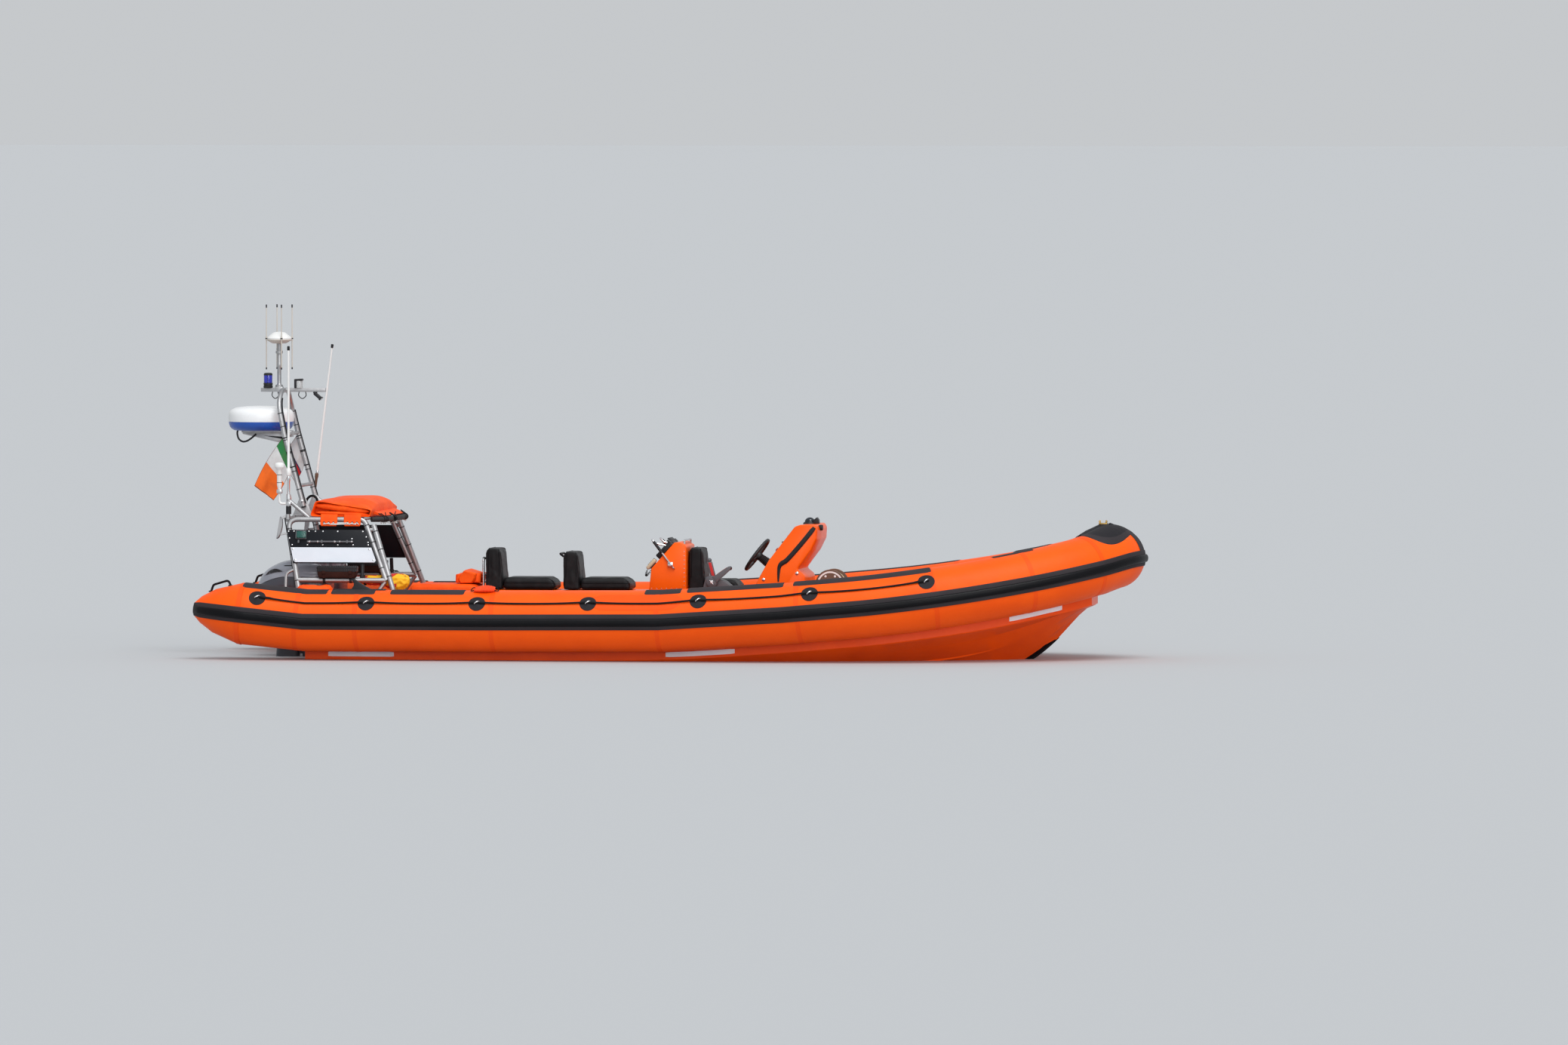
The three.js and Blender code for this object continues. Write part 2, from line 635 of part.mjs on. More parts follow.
function directionFinder() {
  const base = point(finderX, 0, 2800 + clearance);
  const disc = turned([[0, 0], [60, 0], [112, 30], [112, 50], [60, 95], [0, 105]], base, point(0, 0, 1), 24);
  const rods = [13, 103, 193, 283].map((angle) => {
    const x = finderX + 117 * Math.cos(angle * degrees);
    const y = 117 * Math.sin(angle * degrees);
    return join(
      bar(point(x, y, 2567), point(x, y, 3150), 6, 8),
      bar(point(finderX, 0, 2845), point(x, y, 2845), 8, 8),
    );
  });
  return join(disc, ...rods);
}
addPart('direction_finder', directionFinder(), materials.whitePlastic);

addPart('blue_light', turned([
  [0, 0], [42, 0], [42, 20], [36, 24], [36, 118], [24, 134], [0, 136],
], point(-3752, 0, masthead.topZ + clearance), point(0, 0, 1), 20), materials.blueLens);
addPart('masthead_light', turned([
  [0, 0], [38, 0], [38, 70], [30, 82], [0, 84],
], point(-3470, 0, masthead.topZ + clearance), point(0, 0, 1), 20), materials.whitePlastic);

// Two flags that hang from the mast legs
function flag(side, topZ, drop, fly) {
  const hoistX = (z) => mastHinge[0] - (z - mastHinge[2]) * Math.tan(mastLean)
    - (mastPipe + clearance) / Math.cos(mastLean);
  const lowZ = topZ - drop;
  const ring = (y) => [
    point(hoistX(topZ), y, topZ), point(hoistX(lowZ), y, lowZ),
    point(hoistX(lowZ) - 0.34 * fly, y, lowZ - 0.67 * fly),
    point(hoistX(topZ) - 0.57 * fly, y, topZ - 0.96 * fly),
  ];
  const y = side * (mastLegY - 5);
  return loft([ring(y - 3), ring(y + 3)]);
}
addPart('ensign', flag(sides.starboard, 1960, 260, 450), materials.ensignCloth);
addPart('pennant', flag(sides.port, 1960, 260, 240), materials.ensignCloth);

// Twin outboards, each built about its own centreline
const legSections = [
  // z, centre x, half-length, half-width
  [389, -3480, 180, 110],
  [330, -3500, 104, 90],
  [200, -3500, 105, 75],
  [-100, -3520, 110, 55],
  [-380, -3555, 125, 45],
  [-530, -3560, 110, 28],
];
const cowlSections = [
  // z, aft x, fore x, half-width
  [389 + clearance, -3700, -3150, 170],
  [430, -3760, -3120, 215],
  [560, -3785, -3105, 240],
  [680, -3765, -3105, 240],
  [780, -3690, -3110, 225],
  [850, -3560, -3140, 190],
  [872, -3460, -3200, 130],
];

// A level ring, rounded at both ends.
function roundedRing(z, aftX, foreX, halfWidth) {
  const outline = [
    [1, 0], [0.97, 0.6], [0.8, 0.93], [0.4, 1], [-0.3, 1], [-0.75, 0.85], [-0.96, 0.45], [-1, 0],
  ];
  const middle = (aftX + foreX) / 2;
  const halfLength = (foreX - aftX) / 2;
  const halfRing = outline.map(([u, v]) => point(middle + u * halfLength, v * halfWidth, z));
  const other = outline.slice(1, -1).reverse()
    .map(([u, v]) => point(middle + u * halfLength, -v * halfWidth, z));
  return [...halfRing, ...other];
}

const kingpinRadius = 20;
const swivel = { radius: 42, topZ: 317, bottomZ: -95 };
const bracketFaceX = transomX - clearance;

function clampBracket() {
  const cheek = (y0) => sidePlate([
    [bracketFaceX, -60], [bracketFaceX, 250], [-3225, 250], [-3225, 330], [-3290, 330], [-3290, 60],
    [-3260, -60],
  ], y0, y0 + 14);
  return join(
    cheek(-96), cheek(82),
    box([bracketFaceX - 12, bracketFaceX], [-90, 90], [-60, 236]),
    box([bracketFaceX - 12, -3160], [-96, 96], [235 + clearance, 248]),
    box([-3175 + clearance, -3160], [-96, 96], [190, 248]),
    bar(point(tiltAxis[0], -90, tiltAxis[1]), point(tiltAxis[0], 90, tiltAxis[1]), 12, 20),
  );
}

function swivelBracket() {
  const barrel = bar(point(steerX, 0, swivel.bottomZ), point(steerX, 0, swivel.topZ), swivel.radius, 20);
  const boss = bar(point(tiltAxis[0], -70, tiltAxis[1]), point(tiltAxis[0], 70, tiltAxis[1]), 28, 20);
  const arm = sidePlate([[-3340, 200], [-3268, 262], [-3268, 310], [-3340, 317]], -60, 60);
  const web = sidePlate([[-3340, -95], [-3305, -60], [-3300, 230], [-3340, 260]], -22, 22);
  return cut(
    join(barrel, boss, arm, web),
    bar(point(tiltAxis[0], -80, tiltAxis[1]), point(tiltAxis[0], 80, tiltAxis[1]), 12.8, 20),
    bar(point(steerX, 0, -120), point(steerX, 0, 340), kingpinRadius + 0.8, 20),
  );
}

function outboardLeg() {
  const casing = loft(legSections.map(([z, x, halfLength, halfWidth]) =>
    roundedRing(z, x - halfLength, x + halfLength, halfWidth)));
  const gearcase = turned([
    [0, 0], [30, 20], [50, 70], [58, 140], [58, 300], [44, 370], [0, 370],
  ], point(-3330, 0, propellerZ), point(-1, 0, 0), 20);
  const plate = sidePlate([[-3700, -405], [-3400, -405], [-3400, -393], [-3700, -393]], -95, 95);
  const skeg = sidePlate([[-3400, -610], [-3560, -610], [-3600, -770], [-3520, -770]], -8, 8);
  const yoke = (z0, z1) => box([-3480, steerX + 34], [-50, 50], [z0, z1]);
  return cut(
    join(casing, gearcase, plate, skeg, yoke(swivel.topZ + 5, 350), yoke(-130, swivel.bottomZ - 5),
      bar(point(steerX, 0, -120), point(steerX, 0, 340), kingpinRadius, 20)),
    bar(point(-3660, 0, propellerZ), point(-3720, 0, propellerZ), 12.8, 16),
  );
}

function cowl() {
  return loft(cowlSections.map(([z, aftX, foreX, halfWidth]) => roundedRing(z, aftX, foreX, halfWidth)));
}

function propeller() {
  const foreX = -3706;
  const hub = turned([
    [0, -40], [12, -40], [12, 0], [45, 0], [42, 60], [34, 80], [0, 84],
  ], point(foreX, 0, propellerZ), point(-1, 0, 0), 18);
  const blade = (turn) => {
    const ring = (radius, halfChord, pitch) => {
      const rise = point(Math.sin(pitch), Math.cos(pitch), 0);
      const thick = point(Math.cos(pitch), -Math.sin(pitch), 0);
      const corners = [[-1, -4], [1, -4], [1, 4], [-1, 4]];
      return corners.map(([u, t]) => point(0, 0, radius)
        .addScaledVector(rise, u * halfChord).addScaledVector(thick, t)
        .applyAxisAngle(point(1, 0, 0), turn).add(point(foreX - 38, 0, propellerZ)));
    };
    return loft([ring(35, 30, 0.9), ring(90, 62, 0.6), ring(140, 58, 0.42), ring(propellerRadius - 4, 30, 0.35)]);
  };
  return join(hub, blade(0), blade(2 * Math.PI / 3), blade(4 * Math.PI / 3));
}

for (const [name, side] of Object.entries(sides)) {
  const engine = new THREE.Group();
  engine.position.y = side * engineY;
  boat.add(engine);
  addPart(`clamp_bracket_${name}`, clampBracket(), materials.engineCasting, engine);
  addPart(`swivel_bracket_${name}`, swivelBracket(), materials.engineCasting, engine);
  addPart(`outboard_leg_${name}`, outboardLeg(), materials.engineCasting, engine);
  addPart(`outboard_cowl_${name}`, cowl(), materials.engineCowl, engine);
  addPart(`propeller_${name}`, propeller(), materials.steel, engine);
}

export default boat;
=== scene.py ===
import random
from math import atan2, cos, hypot, pi, radians, sin, sqrt, tan

import bmesh
import bpy
from mathutils import Matrix, Quaternion, Vector, noise
from mathutils.bvhtree import BVHTree


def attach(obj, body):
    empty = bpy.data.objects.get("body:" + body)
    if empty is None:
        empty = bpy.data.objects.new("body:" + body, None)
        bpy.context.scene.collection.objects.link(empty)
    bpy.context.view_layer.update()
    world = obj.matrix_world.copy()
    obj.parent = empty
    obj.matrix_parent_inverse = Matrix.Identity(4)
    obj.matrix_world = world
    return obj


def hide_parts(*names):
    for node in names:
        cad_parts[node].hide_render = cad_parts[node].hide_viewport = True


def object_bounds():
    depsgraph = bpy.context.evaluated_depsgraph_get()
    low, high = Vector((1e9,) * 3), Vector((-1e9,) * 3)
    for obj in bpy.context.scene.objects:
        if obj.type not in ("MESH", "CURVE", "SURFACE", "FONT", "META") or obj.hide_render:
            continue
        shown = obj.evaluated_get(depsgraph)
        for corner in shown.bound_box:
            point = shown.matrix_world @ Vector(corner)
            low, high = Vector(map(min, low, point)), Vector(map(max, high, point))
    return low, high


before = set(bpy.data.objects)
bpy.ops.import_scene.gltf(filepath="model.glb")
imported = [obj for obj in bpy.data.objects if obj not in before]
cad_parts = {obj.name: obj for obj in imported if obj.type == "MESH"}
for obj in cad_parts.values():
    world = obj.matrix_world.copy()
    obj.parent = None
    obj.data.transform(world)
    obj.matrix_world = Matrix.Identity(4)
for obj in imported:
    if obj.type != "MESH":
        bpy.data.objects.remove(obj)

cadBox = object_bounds()
random.seed(85)
starboard, port = -1, 1
sideNames = {starboard: "starboard", port: "port"}


# Camera: level with a quay, far off, seen through a long lens
view = {"place": (21.40, -140.28, 5.655), "azimuth": 8.3, "pitchDown": 1.796, "lens": 363.8}
lens = bpy.data.cameras.new("lens")
lens.lens = view["lens"]
lens.sensor_width = 36
lens.clip_start = 1
lens.clip_end = 5000
camera = bpy.data.objects.new("camera", lens)
bpy.context.collection.objects.link(camera)
camera.location = view["place"]
camera.rotation_euler = (radians(90 - view["pitchDown"]), 0, radians(view["azimuth"]))
bpy.context.scene.camera = camera

studio = {"skyStrength": 0.60, "skyColour": (0.94, 0.97, 1.0), "floorColour": (0.47, 0.485, 0.50),
          # strength, angle across, tilt
          "suns": [(1.95, 35, (30, 0, 26)), (1.15, 50, (80, 0, 22))]}
bpy.context.scene.view_settings.view_transform = "Standard"
world = bpy.data.worlds.new("studio")
world.use_nodes = True
sky = world.node_tree.nodes["Background"]
sky.inputs["Color"].default_value = (*studio["skyColour"], 1)
sky.inputs["Strength"].default_value = studio["skyStrength"]
bpy.context.scene.world = world
for strength, across, tilt in studio["suns"]:
    light = bpy.data.lights.new("sun", "SUN")
    light.energy, light.angle = strength, radians(across)
    sun = bpy.data.objects.new("sun", light)
    sun.rotation_euler = [radians(turn) for turn in tilt]
    bpy.context.collection.objects.link(sun)


# A socket of a finish being mixed: sums, products and powers of sockets add Math nodes.
class Link:
    def __init__(self, finish, socket):
        self.finish, self.socket = finish, socket

    def maths(self, operation, *values):
        return self.finish.node("Math", {"operation": operation}, dict(enumerate(values)))

    def __add__(self, other):
        return self.maths("ADD", self, other)

    def __sub__(self, other):
        return self.maths("SUBTRACT", self, other)

    def __mul__(self, other):
        return self.maths("MULTIPLY", self, other)

    def __truediv__(self, other):
        return self.maths("DIVIDE", self, other)

    def __pow__(self, other):
        return self.maths("POWER", self, other)

    def __radd__(self, other):
        return self.maths("ADD", other, self)

    def __rsub__(self, other):
        return self.maths("SUBTRACT", other, self)

    def over(self, low, high):        # 0 below low, 1 above high
        return self.finish.node("MapRange", {"interpolation_type": "SMOOTHSTEP"},
                                {0: self, 1: low, 2: high}, 0)

    def band(self, low, high, soft):  # 1 between low and high
        return self.over(low, low + soft) * (1 - self.over(high - soft, high))


class Finish:
    def __init__(self, name, **sockets):
        self.material = bpy.data.materials.new(name)
        self.material.use_nodes = True
        self.tree = self.material.node_tree
        self.shader = self.tree.nodes["Principled BSDF"]
        self.set(**sockets)

    def node(self, kind, settings, inputs, output=0):
        made = self.tree.nodes.new("ShaderNode" + kind)
        for name, value in settings.items():
            setattr(made, name, value)
        for name, value in inputs.items():
            self.feed(made.inputs[name], value)
        return Link(self, made.outputs[output])

    def feed(self, socket, value):
        if isinstance(value, Link):
            self.tree.links.new(value.socket, socket)
        elif socket.type == "RGBA" and len(value) == 3:
            socket.default_value = (*value, 1)
        else:
            socket.default_value = value

    def set(self, **sockets):         # colour=..., roughness=..., coatWeight=...
        odd = {"colour": "Base Color", "shine": "Specular IOR Level", "refraction": "IOR"}
        for name, value in sockets.items():
            words = "".join(" " + c if c.isupper() else c for c in name)
            self.feed(self.shader.inputs[odd.get(name, words[0].upper() + words[1:])], value)

    def place(self, scale=(1, 1, 1)):
        where = self.node("TexCoord", {}, {}, "Object")
        return self.node("Mapping", {}, {"Vector": where, "Scale": scale})

    def axis(self, name, where=None):
        return self.node("SeparateXYZ", {}, {0: where or self.place()}, name)

    def noise(self, size, detail=3, rough=0.5, stretch=(1, 1, 1)):
        where = self.place(stretch)
        return self.node("TexNoise", {}, {"Vector": where, "Scale": 1 / size, "Detail": detail,
                                          "Roughness": rough})

    def cells(self, size):
        return self.node("TexVoronoi", {}, {"Vector": self.place(), "Scale": 1 / size}, "Distance")

    def wave(self, size, where, direction="X"):
        bandAtScaleOne = 0.314
        return self.node("TexWave", {"bands_direction": direction},
                         {"Vector": where, "Scale": bandAtScaleOne / size}, "Fac")

    def mix(self, factor, first, second):
        return self.node("Mix", {"data_type": "RGBA"}, {0: factor, 6: first, 7: second}, 2)

    def bump(self, height, distance):
        self.set(normal=self.node("Bump", {}, {"Height": height, "Distance": distance, "Strength": 1}))


def speckled(name, colour, dark, roughness, grain=0.02, depth=0.0004, amount=0.5, **sockets):
    finish = Finish(name, **sockets)
    blotch = finish.noise(0.35, 4, 0.6).over(0.3, 0.72)
    fine = finish.noise(grain, 3, 0.6)
    finish.set(colour=finish.mix(blotch * amount + fine * 0.2, colour, dark),
               roughness=roughness + (fine - 0.5) * 0.18)
    finish.bump(fine, depth)
    return finish


def coatedFabric(name, colour, dark, roughness, shine=0.25):
    # Woven base that just shows through a rubber coat, scuffed and a little dusty
    finish = Finish(name, shine=shine)
    weave = finish.wave(0.0022, finish.place()) * finish.wave(0.0022, finish.place(), "Z")
    cloud = finish.noise(0.6, 5, 0.6).over(0.32, 0.72)
    scuff = finish.noise(0.045, 6, 0.72, (0.25, 1, 1)).over(0.62, 0.74)
    dust = finish.noise(0.012, 2)
    finish.set(colour=finish.mix(cloud * 0.45 + scuff * 0.35, colour, dark),
               roughness=roughness + scuff * 0.14 + dust * 0.06)
    finish.bump(weave * 0.3 + dust + cloud * 6, 0.0005)
    return finish


def brushed(name, colour, dark, roughness):
    finish = Finish(name, metallic=1)
    haze = finish.noise(0.08, 4, 0.65).over(0.25, 0.8)
    grain = finish.noise(0.004, 2, 0.5, (0.08, 1, 1))
    pits = finish.noise(0.006, 2).over(0.66, 0.74)
    finish.set(colour=finish.mix(haze * 0.7 + pits * 0.3, colour, dark),
               roughness=roughness + haze * 0.16 + grain * 0.08)
    finish.bump(grain + haze * 2, 0.0002)
    return finish


def cloth(name, colour, dark, roughness=0.75, thread=0.0016, **sockets):
    finish = Finish(name, **sockets)
    weave = finish.wave(thread, finish.place()) + finish.wave(thread, finish.place(), "Z")
    crease = finish.noise(0.12, 5, 0.62)
    finish.set(colour=finish.mix(crease.over(0.35, 0.75) * 0.7, colour, dark),
               roughness=roughness + crease * 0.1)
    finish.bump(weave * 0.25 + crease * 5, 0.0009)
    return finish


def lensGlass(name, colour):
    finish = Finish(name, roughness=0.09, refraction=1.49, transmissionWeight=0.45, coatWeight=0.6)
    ribs = finish.wave(0.006, finish.place(), "Z")
    finish.set(colour=finish.mix(ribs * 0.35, colour, [c * 0.45 for c in colour]))
    finish.bump(ribs, 0.0008)
    return finish


# Shapes, each drawn into a bmesh
def lathe(bm, outline, at, axis, steps=32):
    # outline: (radius, distance along the axis) from end to end
    turn = Vector((0, 0, 1)).rotation_difference(Vector(axis))
    points = [bm.verts.new(Vector(at) + turn @ Vector((radius, 0, along))) for radius, along in outline]
    edges = [bm.edges.new(pair) for pair in zip(points, points[1:])]
    bmesh.ops.spin(bm, geom=points + edges, cent=at, axis=turn @ Vector((0, 0, 1)), angle=2 * pi,
                   steps=steps, use_merge=True)


def rod(bm, start, end, radius, endRadius=None, sides=16):
    start, end = Vector(start), Vector(end)
    along = end - start
    turn = along.to_track_quat("Z", "Y").to_matrix().to_4x4()
    bmesh.ops.create_cone(bm, cap_ends=True, segments=sides, radius1=radius,
                          radius2=radius if endRadius is None else endRadius, depth=along.length,
                          matrix=Matrix.Translation((start + end) / 2) @ turn)


def rounding(bm, edges, width, segments=2):
    bmesh.ops.bevel(bm, geom=edges, offset=width, offset_type="OFFSET", affect="EDGES",
                    segments=segments, profile=0.5, material=-1, clamp_overlap=True)


def block(bm, low, high, round=0, segments=2, turn=None):
    low, high = Vector(low), Vector(high)
    size = Matrix.Diagonal((*(high - low), 1))
    place = Matrix.Translation((low + high) / 2) @ (turn.to_matrix().to_4x4() if turn else Matrix()) @ size
    made = bmesh.ops.create_cube(bm, size=1, matrix=place)["verts"]
    if round:
        rounding(bm, list({edge for vert in made for edge in vert.link_edges}), round, segments)
    return made


def plate(bm, outline, near, far, round=0, segments=2, axis="Y", ends=True):
    # An outline in the plane across axis, pushed out from near to far
    spots = {"X": lambda a, b, d: (d, a, b), "Y": lambda a, b, d: (a, d, b), "Z": lambda a, b, d: (a, b, d)}
    base = bm.faces.new([bm.verts.new(spots[axis](a, b, near)) for a, b in outline])
    out = bmesh.ops.extrude_face_region(bm, geom=[base])["geom"]
    lifted = [part for part in out if isinstance(part, bmesh.types.BMVert)]
    bmesh.ops.translate(bm, verts=lifted, vec=spots[axis](0, 0, far - near))
    if round:
        cap = [part for part in out if isinstance(part, bmesh.types.BMFace)]
        rims = {edge for face in [base, *cap] for edge in face.edges}
        sidesToo = {edge for vert in lifted for edge in vert.link_edges} if ends else set()
        rounding(bm, list(rims | sidesToo), round, segments)


def sheetOf(bm, rings, closed=False, capped=False):
    # A grid whose corners take the places in rings
    rows, count = len(rings), len(rings[0]) + closed
    grid = bmesh.ops.create_grid(bm, x_segments=count - 1, y_segments=rows - 1, size=0.5,
                                 calc_uvs=bool(bm.loops.layers.uv))["verts"]
    ends = {0: [], rows - 1: []}
    for vert in grid:
        column = round((vert.co.x + 0.5) * (count - 1))
        row = round((vert.co.y + 0.5) * (rows - 1))
        vert.co = rings[row][column % len(rings[0])]
        if row in ends:
            ends[row].append(vert)
    if closed:
        bmesh.ops.remove_doubles(bm, verts=grid, dist=1e-6)
    if capped:
        for row in ends.values():
            alive = [vert for vert in row if vert.is_valid]
            rim = {edge for vert in alive for edge in vert.link_edges
                   if edge.is_boundary and edge.other_vert(vert) in alive}
            if len(rim) > 2:
                bmesh.ops.edgeloop_fill(bm, edges=list(rim))
    return [vert for vert in grid if vert.is_valid]


def bent(points, bend, steps=6):
    # The run of points with its corners rounded
    points = [Vector(p) for p in points]
    run = [points[0]]
    for before, corner, after in zip(points, points[1:], points[2:]):
        inward, outward = corner - before, after - corner
        turn = inward.angle(outward, 0)
        reach = min(bend * tan(turn / 2), 0.48 * inward.length, 0.48 * outward.length)
        start, end = corner - inward.normalized() * reach, corner + outward.normalized() * reach
        for step in range(steps + 1):
            t = step / steps
            run.append(start * (1 - t) ** 2 + corner * 2 * t * (1 - t) + end * t * t)
    run.append(points[-1])
    return run


def pipe(bm, points, radius, bend=0.0, sides=3, closed=False):
    # A round bar along points; radius is one value or one for each point
    run = bent(points, bend) if bend else [Vector(p) for p in points]
    curve = bpy.data.curves.new("run", "CURVE")
    curve.dimensions = "3D"
    curve.bevel_depth = 1
    curve.bevel_resolution = sides
    curve.use_fill_caps = True
    spline = curve.splines.new("POLY")
    spline.points.add(len(run) - 1)
    spline.use_cyclic_u = closed
    for index, (spot, at) in enumerate(zip(spline.points, run)):
        spot.co = (*at, 1)
        spot.radius = radius if isinstance(radius, float) else radius[index]
    holder = bpy.data.objects.new("run", curve)
    bpy.context.collection.objects.link(holder)
    mesh = bpy.data.meshes.new_from_object(holder.evaluated_get(bpy.context.evaluated_depsgraph_get()))
    bm.from_mesh(mesh)
    bpy.data.objects.remove(holder)
    bpy.data.curves.remove(curve)
    bpy.data.meshes.remove(mesh)


def spring(points, count=24):
    # A smooth run through points, as a list of count + 1 places
    points = [Vector(p) for p in points]
    spots = [points[0] * 2 - points[1], *points, points[-1] * 2 - points[-2]]
    run = []
    for step in range(count + 1):
        along = step / count * (len(points) - 1)
        index = min(int(along), len(points) - 2)
        t = along - index
        a, b, c, d = spots[index:index + 4]
        run.append(0.5 * ((2 * b) + (c - a) * t + (2 * a - 5 * b + 4 * c - d) * t * t
                          + (3 * b - a - 3 * c + d) * t ** 3))
    return run


def finishPiece(bm, name, body, finish, slot, replaces=(), smooth=35, weld=1e-5, recalc=True):
    if weld:
        bmesh.ops.remove_doubles(bm, verts=bm.verts, dist=weld)
        bmesh.ops.dissolve_degenerate(bm, edges=bm.edges, dist=1e-7)
    if recalc:
        bmesh.ops.recalc_face_normals(bm, faces=bm.faces)
    mesh = bpy.data.meshes.new(name)
    bm.to_mesh(mesh)
    bm.free()
    mesh.materials.append(finish.material)
    mesh.polygons.foreach_set("use_smooth", [True] * len(mesh.polygons))
    mesh.set_sharp_from_angle(angle=radians(smooth))
    piece = bpy.data.objects.new(name, mesh)
    bpy.context.collection.objects.link(piece)
    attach(piece, body)
    if replaces:
        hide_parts(*replaces)
    return piece


# Finishes
orangeTube = coatedFabric("orangeTube", (0.98, 0.106, 0.002), (0.84, 0.070, 0.002), 0.42, 0.16)
orangePatch = coatedFabric("orangePatch", (0.93, 0.086, 0.003), (0.80, 0.060, 0.002), 0.46, 0.16)
blackFabric = coatedFabric("blackFabric", (0.009, 0.008, 0.011), (0.018, 0.016, 0.020), 0.60)
blackRubber = coatedFabric("blackRubber", (0.003, 0.003, 0.004), (0.006, 0.006, 0.008), 0.32, 0.14)
# Lighter, dusty rubber; on the strake's band its lighter tone is partly painted light
dustyRubber = coatedFabric("dustyRubber", (0.032, 0.027, 0.030), (0.052, 0.045, 0.050), 0.60, 0.12)
greyTape = speckled("greyTape", (0.92, 0.96, 1.0), (0.76, 0.80, 0.88), 0.38, 0.003, 0.0001)
gelcoat = speckled("gelcoat", (0.96, 0.125, 0.003), (0.84, 0.090, 0.003), 0.30, 0.012, 0.00012,
                   coatWeight=0.05, coatRoughness=0.12, shine=0.2)
aluminium = brushed("aluminium", (0.50, 0.50, 0.505), (0.33, 0.33, 0.34), 0.36)
steel = brushed("steel", (0.72, 0.72, 0.73), (0.55, 0.55, 0.56), 0.14)
brass = brushed("brass", (0.62, 0.42, 0.14), (0.38, 0.24, 0.08), 0.28)
blackPlastic = speckled("blackPlastic", (0.010, 0.010, 0.012), (0.024, 0.024, 0.026), 0.42, 0.002, 0.0002,
                        shine=0.3)
whitePlastic = speckled("whitePlastic", (0.80, 0.80, 0.79), (0.62, 0.62, 0.60), 0.32, 0.004, 0.0001, 0.4)
greyPlastic = speckled("greyPlastic", (0.075, 0.080, 0.090), (0.11, 0.11, 0.12), 0.42, 0.002, 0.0002)
redPlastic = speckled("redPlastic", (0.60, 0.012, 0.010), (0.40, 0.010, 0.008), 0.35, 0.004, 0.0001)
creamPlastic = speckled("creamPlastic", (0.60, 0.50, 0.34), (0.42, 0.34, 0.22), 0.45, 0.003, 0.0002)
casting = speckled("casting", (0.040, 0.046, 0.056), (0.065, 0.070, 0.080), 0.34, 0.006, 0.0002,
                   metallic=0.35)
orangeCloth = cloth("orangeCloth", (0.98, 0.104, 0.004), (0.80, 0.056, 0.003), 0.50, shine=0.18)
orangeRope = cloth("orangeRope", (0.95, 0.080, 0.006), (0.66, 0.036, 0.004), 0.7, 0.003)
blackCord = cloth("blackCord", (0.006, 0.006, 0.007), (0.014, 0.014, 0.015), 0.7, 0.004, shine=0.2)
blueGlass = lensGlass("blueGlass", (0.020, 0.035, 0.60))
greenGlass = lensGlass("greenGlass", (0.010, 0.16, 0.13))
redGlass = lensGlass("redGlass", (0.42, 0.012, 0.010))
clearGlass = lensGlass("clearGlass", (0.78, 0.80, 0.80))
screenGlass = speckled("screenGlass", (0.008, 0.012, 0.018), (0.02, 0.026, 0.034), 0.08, 0.01, 0.00005)
print("finishes mixed")


# Collar: the aft run is straight in plan, the fore run curves in and up to the nose
collar = {
    "radius": 0.275,
    "halfBeam": 1.118,
    "aft": [(-4.220, 0.450, 0.060), (-4.160, 0.446, 0.120), (-4.040, 0.435, 0.195),  # x, z, radius
            (-3.800, 0.412, 0.275), (-3.200, 0.350, 0.275), (-1.600, 0.352, 0.275), (0, 0.362, 0.275)],
    "fore": [(1.100, 1.118, 0.432), (1.900, 1.095, 0.505), (2.600, 0.970, 0.600),    # x, y, z
             (3.200, 0.745, 0.710), (3.650, 0.440, 0.820), (3.850, 0.180, 0.890), (3.915, 0, 0.910)],
    "turns": 56,
    "seams": [-3.79, -3.27, -2.73, -1.50, -0.01, 1.245, 2.42, 3.20, 3.70],
    "seamWidth": 0.042,
    "seamProud": 0.0016,
}


def foreRun(count):
    # Centripetal spline through the fore points of both sides, as evenly spaced places
    half = [Vector((x, -y, z)) for x, y, z in collar["fore"]]
    points = half + [Vector((p.x, -p.y, p.z)) for p in reversed(half[:-1])]
    spots = [points[0] * 2 - points[1], *points, points[-1] * 2 - points[-2]]

    def spot(along):
        index = min(int(along), len(points) - 2)
        t = along - index
        a, b, c, d = spots[index:index + 4]
        before, here, after = [sqrt((q - p).length) for p, q in ((a, b), (b, c), (c, d))]
        leave = ((b - a) / before - (c - a) / (before + here) + (c - b) / here) * here
        arrive = ((c - b) / here - (d - b) / (here + after) + (d - c) / after) * here
        return (b + leave * t + (3 * (c - b) - 2 * leave - arrive) * t ** 2
                + (2 * (b - c) + leave + arrive) * t ** 3)

    fine = [spot(step / 400 * (len(points) - 1)) for step in range(401)]
    reached = [0.0]
    for p, q in zip(fine, fine[1:]):
        reached.append(reached[-1] + (q - p).length)
    run, index = [], 0
    for step in range(count + 1):
        want = reached[-1] * step / count
        while index < len(fine) - 2 and reached[index + 1] < want:
            index += 1
        t = (want - reached[index]) / (reached[index + 1] - reached[index])
        run.append(fine[index].lerp(fine[index + 1], t))
    return run


class Station:
    def __init__(self, at, radius):
        self.at, self.radius = at, radius

    def aim(self, before, after):
        self.along = (after - before).normalized()
        self.out = self.along.cross(Vector((0, 0, 1))).normalized()
        self.up = self.out.cross(self.along)

    def spot(self, angle, proud=0.0, shift=0.0):      # angle in degrees, up from the outboard side
        reach = self.radius + proud
        return (self.at + self.along * shift + self.out * reach * cos(radians(angle))
                + self.up * reach * sin(radians(angle)))


